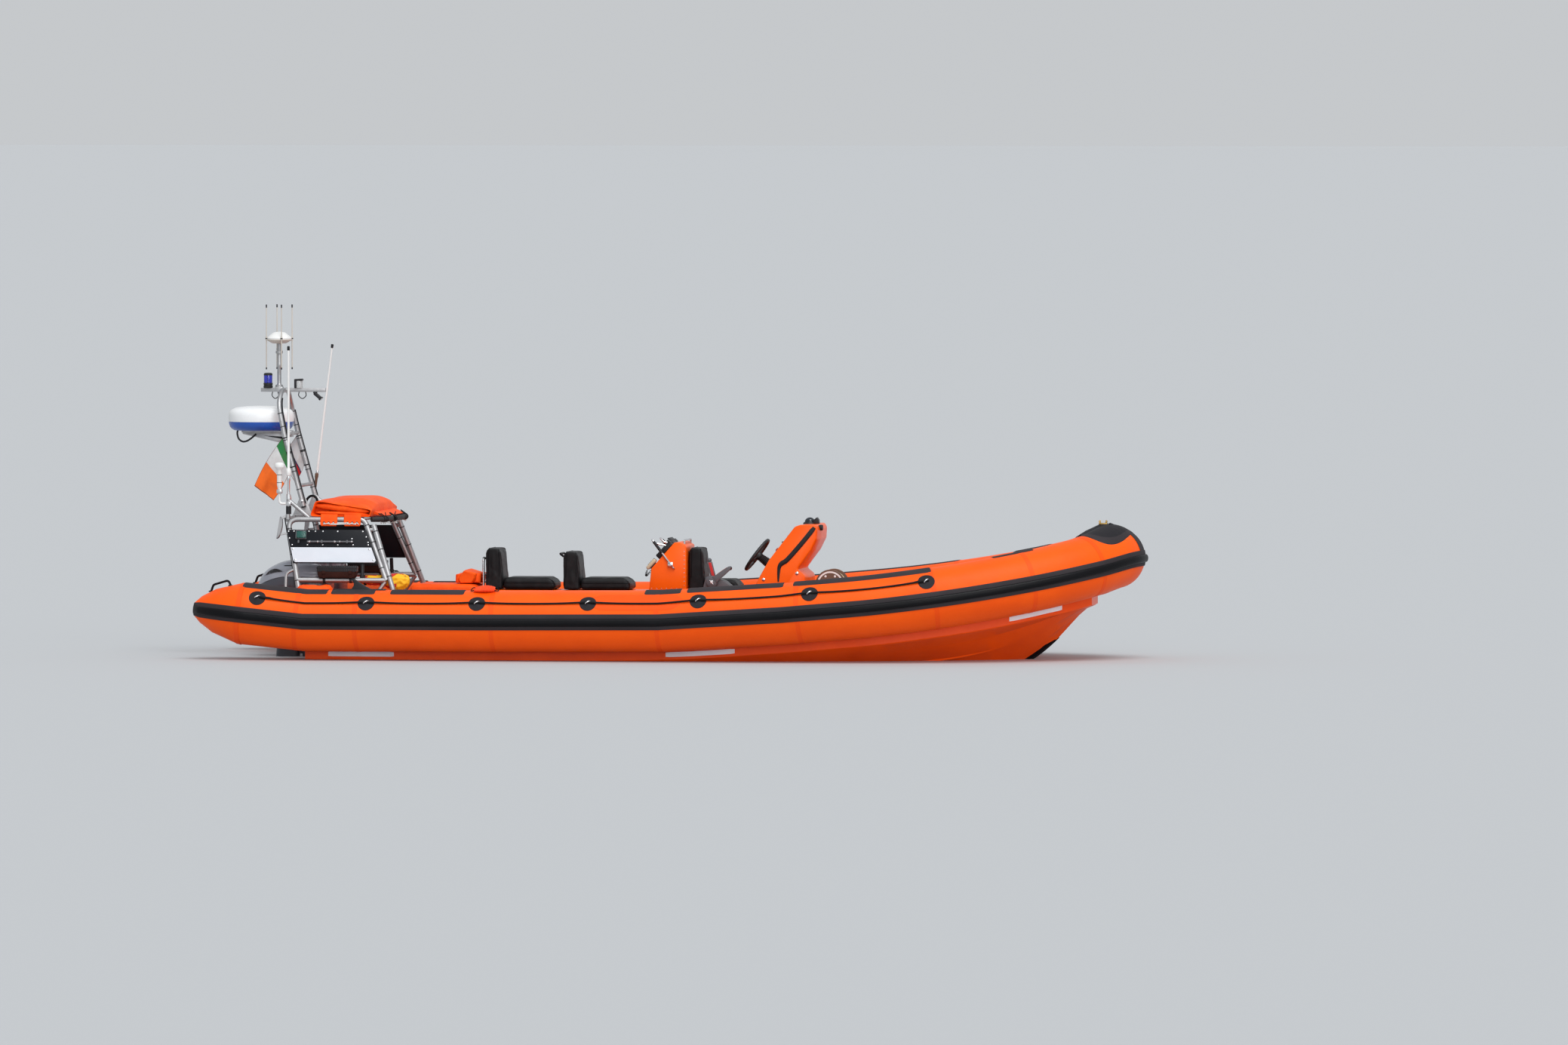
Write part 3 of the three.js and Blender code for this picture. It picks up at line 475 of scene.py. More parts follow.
def collarStations():
    aft = []
    for (x0, z0, r0), (x1, z1, r1) in zip(collar["aft"], collar["aft"][1:]):
        steps = max(1, round((x1 - x0) / 0.10))
        aft += [(x0 + (x1 - x0) * i / steps, z0 + (z1 - z0) * i / steps, r0 + (r1 - r0) * i / steps)
                for i in range(steps)]
    aft += [collar["aft"][-1]]
    aft += [(0.1 * i, 0.362 + 0.07 * i / 11, 0.275) for i in range(1, 11)]
    side = lambda hand: [Station(Vector((x, hand * collar["halfBeam"], z)), r) for x, z, r in aft]
    fore = [Station(at, collar["radius"]) for at in foreRun(112)]
    stations = side(starboard) + fore + side(port)[::-1]
    for index, station in enumerate(stations):
        station.aim(stations[max(index - 1, 0)].at, stations[min(index + 1, len(stations) - 1)].at)
    return stations


stations = collarStations()
middle = (len(stations) - 1) // 2


def collarAt(x, hand=starboard):
    # The station at a distance forward, on one side
    half = stations[:middle + 1] if hand == starboard else stations[:middle - 1:-1]
    for first, second in zip(half, half[1:]):
        if first.at.x <= x <= second.at.x:
            t = (x - first.at.x) / (second.at.x - first.at.x)
            made = Station(first.at.lerp(second.at, t), first.radius + (second.radius - first.radius) * t)
            made.along = first.along.lerp(second.along, t).normalized()
            made.out, made.up = first.out.lerp(second.out, t), first.up.lerp(second.up, t)
            return made
    return half[-1]


def collarSkin(low, high, name, node):
    bm = bmesh.new()
    count = collar["turns"]
    rings = [[station.spot(360 * k / count) for k in range(count)] for station in stations[low:high + 1]]
    sheetOf(bm, rings, closed=True, capped=True)
    finishPiece(bm, name, "boat", orangeTube, "tube_fabric", [node])


join = next(i for i, station in enumerate(stations) if station.at.x > 2.4)
collarSkin(0, join, "collarStarboard", "tube_starboard")
collarSkin(join, len(stations) - 1 - join, "collarBow", "tube_bow")
collarSkin(len(stations) - 1 - join, len(stations) - 1, "collarPort", "tube_port")


def collarPatch(bm, x0, x1, low, high, proud, hand=starboard, steps=10, across=8, round=0.02):
    # A pad glued on the collar from x0 to x1 and between two angles, its rim rolled down
    lift = [0, 0.7, 1] + [1] * steps + [1, 0.7, 0]
    edge = [0, 0.004, 0.012]
    length = x1 - x0
    spread = edge + [0.012 + (length - 0.024) * (i + 0.5) / steps for i in range(steps)]
    spread += [length - e for e in reversed(edge)]
    wide = [0, 0.02, 0.06] + [0.06 + 0.88 * (i + 0.5) / across for i in range(across)] + [0.94, 0.98, 1]
    rise = [0, 0.7, 1] + [1] * across + [1, 0.7, 0]
    rings = []
    for along, up in zip(spread, lift):
        station = collarAt(x0 + along, hand)
        ends = min(along, length - along)
        pull = (round - sqrt(max(round ** 2 - (round - min(ends, round)) ** 2, 0))) / station.radius
        pull = pull * 180 / pi
        rings.append([station.spot(low + pull + (high - low - 2 * pull) * w, proud * min(up, r))
                      for w, r in zip(wide, rise)])
    sheetOf(bm, rings)


def collarBands():
    bm = bmesh.new()
    half, proud, count = collar["seamWidth"] / 2, collar["seamProud"], collar["turns"]
    for hand in (starboard, port):
        for x in collar["seams"]:
            station = collarAt(x, hand)
            slope = (collarAt(x + 0.05, hand).radius - collarAt(x - 0.05, hand).radius) / 0.1
            section = (-half, -0.001), (-half + 0.001, proud), (half - 0.001, proud), (half, -0.001)
            sheetOf(bm, [[station.spot(360 * k / count, lift + slope * shift, shift) for k in range(count)]
                         for shift, lift in section], closed=True)
    finishPiece(bm, "collarBands", "boat", orangePatch, "tube_fabric")


collarBands()

strake = {"half": 0.0730, "proud": 0.008, "ribAt": -0.04, "ribHalf": 0.47, "ribProud": 0.030, "full": 0.7}


def strakeSkin(hand, side):
    # Seen in section, a full rib on a flat band
    proud = strake["proud"]
    band = [(-1, -0.004), (-1, 0.003), (-0.98, 0.0065)]             # of the half height, proud
    band += [(-0.93 + 0.155 * i, proud) for i in range(13)] + [(0.98, 0.0065), (1, 0.003), (1, -0.004)]
    foot = proud - 0.001
    rib = [(strake["ribAt"] - strake["ribHalf"] * cos(radians(turn)),
            foot + (strake["ribProud"] - foot) * sin(radians(turn)) ** strake["full"])
           for turn in range(0, 181, 10)]
    half = stations[:middle + 1] if hand == starboard else stations[middle:]
    # The band takes the lighter, dusty rubber and the rib the black: the band's lighter tone is partly dust
    # on a matte finish and partly painted light from above
    for ring, name, finish, nodes in ((band, "strake", dustyRubber, ["strake_" + side.lower()]),
                                      (rib, "strakeRib", blackRubber, [])):
        bm, rings = bmesh.new(), []
        for station in half:
            turn = min(66, strake["half"] / (station.radius + proud) * 180 / pi)
            rings.append([station.spot(place * turn, lift) for place, lift in ring])
        sheetOf(bm, rings, closed=True, capped=True)
        finishPiece(bm, name + side, "boat", finish, "strake_rubber", nodes, 50)


strakeSkin(starboard, "Starboard")
strakeSkin(port, "Port")


def sternBumpers():
    # Rubber cap over the end of each cone
    bm = bmesh.new()
    for hand in (starboard, port):
        tip = stations[0].at if hand == starboard else stations[-1].at
        lathe(bm, [(0, -0.012), (0.030, -0.011), (0.052, -0.006), (0.066, 0.006), (0.072, 0.024),
                   (0.098, 0.052), (0.094, 0.055), (0, 0.055)], tip, (1, 0, -0.07), 40)
    for vert in bm.verts:
        vert.co.x = max(vert.co.x, cadBox[0].x + 0.001)
    finishPiece(bm, "sternBumpers", "boat", blackRubber, "strake_rubber")


sternBumpers()

topPads = {"spans": [(-3.79, -3.00, 61, 104), (-2.965, -2.57, 61, 104), (-2.43, -1.763, 61, 104),
                     (-0.137, 0.204, 61, 102), (0.259, 1.126, 61, 102), (1.215, 2.43, 61, 102),
                     (2.97, 3.31, 78, 112)],                       # aft x, fore x, two angles
           "proud": 0.005}


def wearPads():
    bm = bmesh.new()
    for hand in (starboard, port):
        for x0, x1, low, high in topPads["spans"]:
            collarPatch(bm, x0, x1, low, high, topPads["proud"], hand, round(12 * (x1 - x0)) + 4)
    finishPiece(bm, "wearPads", "boat", dustyRubber, "strake_rubber")


wearPads()

lifeline = {"firstX": -3.63, "spacing": 1.0, "count": 7, "angle": 37.6, "patchRadius": 0.076,
            "ropeRadius": 0.0085, "sag": 0.010}


def lifelines():
    patches, rope, rings = bmesh.new(), bmesh.new(), bmesh.new()
    for hand in (starboard, port):
        spots = []
        for i in range(lifeline["count"]):
            x = lifeline["firstX"] + lifeline["spacing"] * i
            station = collarAt(x, hand)
            angle = lifeline["angle"]
            out = (station.out * cos(radians(angle)) + station.up * sin(radians(angle))).normalized()
            spot = station.spot(angle)
            discs = []
            for reach, lift in ((1, -0.0005), (0.985, 0.003), (0.8, 0.0032), (0.5, 0.0034), (0.36, 0.0055),
                                (0.25, 0.0075), (0.05, 0.008)):
                ring = []
                for k in range(36):
                    along = lifeline["patchRadius"] * reach * cos(2 * pi * k / 36)
                    around = lifeline["patchRadius"] * reach * sin(2 * pi * k / 36)
                    turn = around / station.radius * 180 / pi
                    ring.append(station.spot(angle + turn, lift, along))
                discs.append(ring)
            sheetOf(patches, discs, closed=True, capped=True)
            rise = (station.up * cos(radians(angle)) - station.out * sin(radians(angle))).normalized()
            hoop = [spot + out * (0.010 + 0.014 * sin(radians(a)))
                    + (station.along * 0.020 + rise * 0.013) * cos(radians(a)) for a in range(-20, 201, 20)]
            pipe(rings, hoop, 0.0062)
            spots.append((spot + out * 0.018, station, out))
        for (a, first, _), (b, second, _) in zip(spots, spots[1:]):
            run = []
            for step in range(15):
                t = step / 14
                x = a.x + (b.x - a.x) * t
                station = collarAt(x, hand)
                drop = lifeline["sag"] * 4 * t * (1 - t)
                stand = 0.018 - 0.0085 * min(1, 4 * t, 4 * (1 - t))
                run.append(station.spot(lifeline["angle"] - drop / station.radius * 57.3, stand))
            pipe(rope, run, lifeline["ropeRadius"], sides=2)
        for end, way in ((spots[0], 1), (spots[-1], -1)):
            at, station, out = end
            pipe(rope, [collarAt(at.x + way * d, hand).spot(lifeline["angle"], 0.013) for d in
                        (0.03, 0.06, 0.09, 0.12)], [0.008, 0.011, 0.011, 0.007])
    finishPiece(patches, "lifelinePatches", "boat", blackFabric, "strake_rubber")
    finishPiece(rope, "lifelineRope", "boat", blackCord, "rope_fibre")
    finishPiece(rings, "lifelineRings", "boat", steel, "bright_steel")


lifelines()


def collarExtras():
    # Lifting handle on each cone, the round patch amidships and inflation valves inboard
    bm, patch, valves = bmesh.new(), bmesh.new(), bmesh.new()
    for hand in (starboard, port):
        feet = [collarAt(x, hand) for x in (-4.085, -3.915)]
        base = [station.spot(90, 0.002) for station in feet]
        top = [p + Vector((0, 0, 0.052)) for p in base]
        lean = (base[1] - base[0]).normalized() * 0.022
        pipe(bm, [base[0], top[0] + lean, top[1] - lean, base[1]], 0.0105, 0.03)
        for station in feet:
            rod(bm, station.spot(90, -0.004), station.spot(90, 0.006), 0.026, 0.020)
        collarPatch(patch, -0.62, 0.23, 22, 61, 0.0014, hand, 14, 8, 0.12)
        for x in (-3.4, -2.2, -0.7, 0.8, 2.1):
            station = collarAt(x, hand)
            lathe(valves, [(0, 0.012), (0.014, 0.012), (0.020, 0.008), (0.030, 0.003), (0.034, -0.002)],
                  station.spot(138), station.spot(138) - station.at, 24)
    finishPiece(bm, "coneHandles", "boat", blackRubber, "strake_rubber")
    finishPiece(patch, "roundedPatch", "boat", orangePatch, "tube_fabric")
    finishPiece(valves, "inflationValves", "boat", blackPlastic, "black_plastic")


collarExtras()
print("collar built")
# Hull: a deep vee with two spray rails a side, decked over, its flange tucked under the collar
hull = {
    "sections": [
        # x, keel z, chine y, chine z, flange y, flange foot z, flange top z, sole half-width, sole z
        (-3.240, -0.420, 0.900, -0.060, 1.000, -0.001, 0.170, 0.860, 0.170),
        (-1.600, -0.420, 0.900, -0.060, 1.000, -0.003, 0.170, 0.860, 0.170),
        (0.000, -0.418, 0.900, -0.050, 1.000, 0.007, 0.170, 0.860, 0.170),
        (1.100, -0.415, 0.880, 0.010, 1.000, 0.077, 0.232, 0.830, 0.170),
        (1.500, -0.398, 0.855, 0.040, 0.992, 0.112, 0.268, 0.800, 0.170),
        (1.900, -0.375, 0.820, 0.075, 0.977, 0.150, 0.305, 0.760, 0.190),
        (2.500, -0.290, 0.690, 0.150, 0.872, 0.230, 0.385, 0.640, 0.270),
        (2.900, -0.165, 0.560, 0.225, 0.747, 0.296, 0.450, 0.500, 0.350),
        (3.224, 0.030, 0.430, 0.320, 0.610, 0.363, 0.520, 0.370, 0.430),
        (3.395, 0.173, 0.330, 0.380, 0.505, 0.402, 0.570, 0.280, 0.500),
        (3.500, 0.287, 0.250, 0.420, 0.437, 0.425, 0.600, 0.220, 0.550),
        (3.648, 0.447, 0.120, 0.458, 0.323, 0.465, 0.650, 0.140, 0.630),
        (3.740, 0.485, 0.090, 0.488, 0.212, 0.495, 0.705, 0.090, 0.690),
    ],
    "rails": (0.34, 0.68), "railWidth": 0.046, "step": 0.07,
    "tapes": [(-3.03, -2.436), (0.016, 0.638), (3.06, 3.50)], "tapeRise": 0.052, "tapeHalf": 0.022,
    "guard": (2.15, 3.42), "guardHalf": 0.060, "guardProud": 0.007,
    "deckX": (-2.36, 1.45), "deckY": (0.275, 0.795),
}


def hullAt(x):
    rows = hull["sections"]
    index = max(i for i, row in enumerate(rows[:-1]) if row[0] <= x)
    slope = lambda a, b, k: (b[k] - a[k]) / (b[0] - a[0])
    here, after = rows[index], rows[index + 1]
    before, beyond = rows[max(index - 1, 0)], rows[min(index + 2, len(rows) - 1)]
    length = after[0] - here[0]
    t = (x - here[0]) / length
    values = []
    for k in range(1, len(here)):
        leave = slope(before, after, k) * length
        arrive = slope(here, beyond, k) * length
        straight = here[k] + (after[k] - here[k]) * t
        smooth = ((2 * t ** 3 - 3 * t ** 2 + 1) * here[k] + (t ** 3 - 2 * t ** 2 + t) * leave
                  + (3 * t ** 2 - 2 * t ** 3) * after[k] + (t ** 3 - t ** 2) * arrive)
        values.append(straight if k == 8 or x > rows[-3][0] else smooth)
    return values


def hullRing(x):
    keelZ, chineY, chineZ, flangeY, footZ, topZ, soleY, soleZ = hullAt(x)
    fade = min(1, max(0, (3.0 - x) / 0.9))
    bottom = lambda y: keelZ + (chineZ - keelZ) * y / chineY
    half = [(0.010, keelZ + 0.0006), (0.022, bottom(0.022) + 0.001)]
    for rail in hull["rails"]:
        y = chineY * rail
        wide = hull["railWidth"] * fade + 0.0005
        lip = bottom(y) + 0.004 * fade
        half += [(y, bottom(y)), (y + wide, min(lip, bottom(y + wide) - 0.0002)),
                 (y + wide + 0.003, bottom(y + wide + 0.003))]
    edge = 0.008
    half += [(chineY - edge, bottom(chineY - edge)), (chineY, chineZ + 0.003),
             (flangeY - edge, footZ - 0.002), (flangeY, footZ + edge), (flangeY, topZ), (soleY, soleZ)]
    ring = [Vector((x, 0, keelZ))] + [Vector((x, y, z)) for y, z in half]
    return ring + [Vector((x, -y, z)) for y, z in reversed(half)]


def hullShell():
    bm = bmesh.new()
    low, high = hull["sections"][0][0], hull["sections"][-1][0]
    count = round((high - low) / hull["step"])
    sheetOf(bm, [hullRing(low + (high - low) * i / count) for i in range(count + 1)], True, True)
    block(bm, (-3.240, -0.62, 0.10), (-3.175, 0.62, 0.235), 0.012)
    for hand in (starboard, port):
        inner, outer = sorted((hand * 0.76, hand * 0.93))
        block(bm, (-3.43, inner, 0.11), (-3.232, outer, 0.17), 0.01)
    finishPiece(bm, "hullShell", "boat", hullPaint, "hull_paint", ["hull"], 26)


hullPaint = speckled("hullPaint", (0.98, 0.100, 0.003), (0.82, 0.070, 0.003), 0.32, 0.01, 0.0001,
                     coatWeight=0.05, coatRoughness=0.2, shine=0.18)
deckMat = Finish("deckMat", shine=0.3)
studs = deckMat.wave(0.008, deckMat.place()) * deckMat.wave(0.008, deckMat.place(), "Y")
grit = deckMat.noise(0.25, 5).over(0.3, 0.75)
deckMat.set(colour=deckMat.mix(grit, (0.030, 0.030, 0.033), (0.075, 0.072, 0.068)),
            roughness=0.7 - studs * 0.1)
deckMat.bump(studs, 0.0015)
hullShell()


def hullDetails():
    tape, guard, mats, fittings = bmesh.new(), bmesh.new(), bmesh.new(), bmesh.new()
    for hand in (starboard, port):
        for x0, x1 in hull["tapes"]:
            rings = []
            for i in range(17):
                x = x0 + (x1 - x0) * i / 16
                flangeY, footZ = hullAt(x)[3:5]
                slant = (hullAt(min(x + 0.01, 3.73))[3] - hullAt(x - 0.01)[3]) / 0.02
                out = Vector((-slant, 1)).normalized() * 0.0012
                half = hull["tapeHalf"] - (0.003 if i in (0, 16) else 0)
                section = (0, -half), (1, -half + 0.001), (1, half - 0.001), (0, half)
                rings.append([Vector((x + out.x * lift, hand * (flangeY + out.y * lift),
                                      footZ + hull["tapeRise"] + rise)) for lift, rise in section])
            sheetOf(tape, rings, closed=True, capped=True)
    x0, x1 = hull["guard"]
    rings = []
    for i in range(33):
        x = x0 + (x1 - x0) * i / 32
        keelZ, chineY, chineZ = hullAt(x)[:3]
        run = min(1, i / 4, (32 - i) / 3) * hull["guardHalf"] + 0.002
        ring = []
        for k in range(-4, 5):
            y = run * k / 4
            proud = hull["guardProud"] * (1 if abs(k) < 4 else -0.2)
            ring.append(Vector((x, y, keelZ + (chineZ - keelZ) * abs(y) / chineY - proud)))
        ring += [Vector((x, run * k / 4, keelZ + 0.012)) for k in (3, 0, -3)]
        rings.append(ring)
    sheetOf(guard, rings, closed=True, capped=True)
    for hand in (starboard, port):
        low, high = hull["deckX"]
        y0, y1 = sorted(hand * y for y in hull["deckY"])
        for i in range(6):
            x, long = low + (high - low) * i / 6 + 0.02, (high - low) / 6 - 0.04
            z = hullAt(x)[7]
            block(mats, (x, y0, z - 0.001), (x + long, y1, z + 0.004), 0.002, 1)
        for y in (0.15, 0.72):
            lathe(fittings, [(0, -0.004), (0.030, -0.004), (0.048, 0.002), (0.050, 0.014), (0.034, 0.020),
                             (0.030, 0.008), (0, 0.008)], (-3.240, hand * y, 0.045), (-1, 0, 0), 28)
        rod(fittings, (-3.252, hand * 0.56, -0.02), (-3.236, hand * 0.56, -0.02), 0.022)
        pipe(fittings, [(-3.250, hand * 0.56, 0.012), (-3.292, hand * 0.56, 0.004),
                        (-3.292, hand * 0.56, -0.044), (-3.250, hand * 0.56, -0.052)], 0.007, 0.02)
    for x0, x1, wide in ((-3.13, -2.40, 0.52), (1.53, 1.86, 0.62), (1.90, 2.38, 0.50), (2.42, 2.84, 0.36)):
        steps, rings = 6, []
        for i in range(steps + 1):
            x = x0 + (x1 - x0) * i / steps
            z = hullAt(x)[7]
            rings.append([Vector((x, y, z + lift)) for y, lift in
                          ((-wide, -0.002), (-wide + 0.003, 0.004), (wide - 0.003, 0.004), (wide, -0.002))])
        sheetOf(mats, rings, closed=True, capped=True)
    finishPiece(tape, "reflectiveTapes", "boat", greyTape, "white_plastic")
    finishPiece(guard, "keelGuard", "boat", blackRubber, "strake_rubber")
    finishPiece(mats, "deckMats", "boat", deckMat, "strake_rubber")
    finishPiece(fittings, "transomFittings", "boat", blackPlastic, "black_plastic")


hullDetails()

bowPad = {"at": (3.830, 0, 1.209), "aftX": 3.655, "aft": 0.270, "fore": 0.250, "across": 0.480,
          "flat": 0.045, "slope": 0.47, "rise": 0.028, "cone": 0.84, "proud": 0.0045}


def collarTop(x, y):
    # Height of the collar's upper face over a place in plan
    best = None
    for station in stations[middle - 30:middle + 31]:
        left = station.radius ** 2 - (x - station.at.x) ** 2 - (y - station.at.y) ** 2
        if left > 0:
            height = station.at.z + sqrt(left)
            best = height if best is None else max(best, height)
    return best


def bowPadRow(reach, lift):
    # One round of the pad: a low cone inside the skirt, both lying on the collar
    at, ring = Vector(bowPad["at"]), []
    for k in range(96):
        angle = 2 * pi * k / 96
        long = bowPad["fore"] if cos(angle) > 0 else bowPad["aft"]
        x, y = at.x + reach * long * cos(angle), reach * bowPad["across"] * sin(angle)
        hem = bowPad["aftX"] - 0.7 * max(0, abs(y) - 0.05)
        over = x < hem                                             # past the inner edge of the collar
        x = max(x, hem)
        base = collarTop(x, y) or 0.93
        inside = max(0, 1 - reach / bowPad["cone"])
        far = hypot(x - at.x, y)
        cone = at.z - bowPad["slope"] * max(0, far - bowPad["flat"])
        z = base + bowPad["proud"] + bowPad["rise"] * inside
        if reach < bowPad["cone"] or over:
            z = max(z, cone)
        if lift < 1:
            z -= (1 - lift) * (0.13 if over else 0.007)
        ring.append(Vector((x, y, min(z, at.z))))
    return ring


def bowPadSkin():
    bm, skirt, metal = bmesh.new(), bmesh.new(), bmesh.new()
    cone = bowPad["cone"]
    rounds = 0.001, 0.06, 0.1, 0.2, 0.3, 0.4, 0.5, 0.6, 0.7, 0.78, cone
    sheetOf(bm, [bowPadRow(reach, 1) for reach in rounds] + [bowPadRow(cone + 0.004, 0.6)], closed=True)
    rounds = (cone - 0.02, 0.9), (cone + 0.004, 1), (0.9, 1), (0.95, 1), (0.99, 1), (0.996, 0.7), (1, 0)
    sheetOf(skirt, [bowPadRow(reach, lift) for reach, lift in rounds], closed=True)
    run = stations[middle - 1:middle + 2]              # strip down over the nose
    sheetOf(skirt, [[station.spot(a, 0.003) for a in range(12, 66, 4)] for station in run])
    ridge = [(3.862, 1.212), (3.874, 1.2205), (3.905, 1.208), (3.945, 1.190), (3.985, 1.170), (4.010, 1.155)]
    for y in (-0.030, 0.030):
        pipe(bm, [(x, y, z - 0.010) for x, z in ridge], [0.006, 0.009, 0.010, 0.010, 0.009, 0.006])
    plate(bm, ridge + [(3.985, 1.140), (3.862, 1.186)], -0.032, 0.032, 0.002, 1)
    finishPiece(bm, "bowPadSkin", "boat", blackFabric, "strake_rubber", ["bow_pad"], 30)
    finishPiece(skirt, "bowPadSkirt", "boat", dustyRubber, "strake_rubber", smooth=30)
    block(metal, (3.778, -0.036, 1.206), (3.852, 0.036, 1.2185), 0.002)
    for x in (3.786, 3.842):
        lean = 0.005 if x > 3.8 else -0.005
        pipe(metal, [(x, 0, 1.214), (x, 0, 1.226), (x + lean, 0, 1.234), (x - lean, 0, 1.241)],
             [0.010, 0.009, 0.0085, 0.006])
        for y in (-0.026, 0.026):
            rod(metal, (x, y, 1.217), (x, y, 1.2215), 0.004, sides=6)
    finishPiece(metal, "bowFairlead", "boat", brass, "bright_steel")


bowPadSkin()
print("hull and bow built")


# Blocks and spots measured along a slope that climbs forward, across it, and out from it
def slopeSpot(at, slope, along, across, out):
    return Vector(at) + Quaternion((0, 1, 0), -slope) @ Vector((along, across, out))


def tilted(bm, at, slope, low, high, round=0, segments=2):
    middle = (Vector(low) + Vector(high)) / 2
    shift = slopeSpot(at, slope, *middle) - middle
    turn = Quaternion((0, 1, 0), -slope)
    return block(bm, Vector(low) + shift, Vector(high) + shift, round, segments, turn)


def eased(outline, bend, steps=3):
    # An outline of (x, z) with its inner corners rounded; its two ends stay
    return [(p.x, p.z) for p in bent([(x, 0, z) for x, z in outline], bend, steps)]


def screws(bm, spots, out, radius=0.005):
    for spot in spots:
        spot, out = Vector(spot), Vector(out)
        rod(bm, spot - out * 0.001, spot + out * 0.0022, radius, radius * 0.8, 8)


deckTop = 0.1704        # what stands on the deck starts here
console = {
    "outline": [(0.700, deckTop), (0.730, 0.680), (0.843, 0.881), (1.105, 1.183), (1.162, 1.200),
                (1.315, 1.200), (1.332, 1.160), (1.326, 1.070), (1.274, 0.970), (1.171, 0.847),
                (1.130, 0.800), (1.210, 0.745), (1.210, deckTop)],
    "half": 0.325, "edge": 0.014, "bend": 0.05, "drawnIn": (0.034, 0.020),
    "dashAt": (0.843, 0, 0.881), "dashSlope": atan2(0.302, 0.262),
    "wheelAt": (0.693, 0, 0.920), "wheelAxis": (0.8, 0, -0.6), "wheelRadius": 0.161, "rim": 0.0155,
    "trim": [(1.258, 1.176), (1.134, 1.024), (1.012, 0.888), (0.962, 0.854), (0.940, 0.820),
             (0.933, 0.750), (0.931, 0.690)],
    "compassAt": (1.170, 0, 1.200), "lampAt": (1.294, -0.20, 1.172),
}


def consoleBody(bm):
    # The side profile carried across, its fore end drawn in toward rounded corners
    half, edge, rings = console["half"], console["edge"], []
    outline = eased(console["outline"], console["bend"], 4)
    across = [(half, edge), (half - 0.002, 0.007), (half - 0.006, 0.003), (half - edge, 0)]
    across += [(half - edge - 0.022 * i, 0) for i in range(1, 15)]
    for y, inset in across + [(-y, inset) for y, inset in reversed(across)]:
        ring = []
        for (x0, z0), (x, z), (x1, z1) in zip(outline[-1:] + outline, outline, outline[1:] + outline[:1]):
            inward = Vector((z1 - z0, 0, x0 - x1)).normalized() * inset
            ends, bulge = console["drawnIn"]
            pull = min(1, max(0, (x - 0.90) / 0.40)) * (ends + bulge * (max(0, abs(y) - 0.10) / 0.225) ** 2)
            ring.append(Vector((x - pull, y, z)) + inward)
        rings.append(ring)
    sheetOf(bm, rings, closed=True, capped=True)


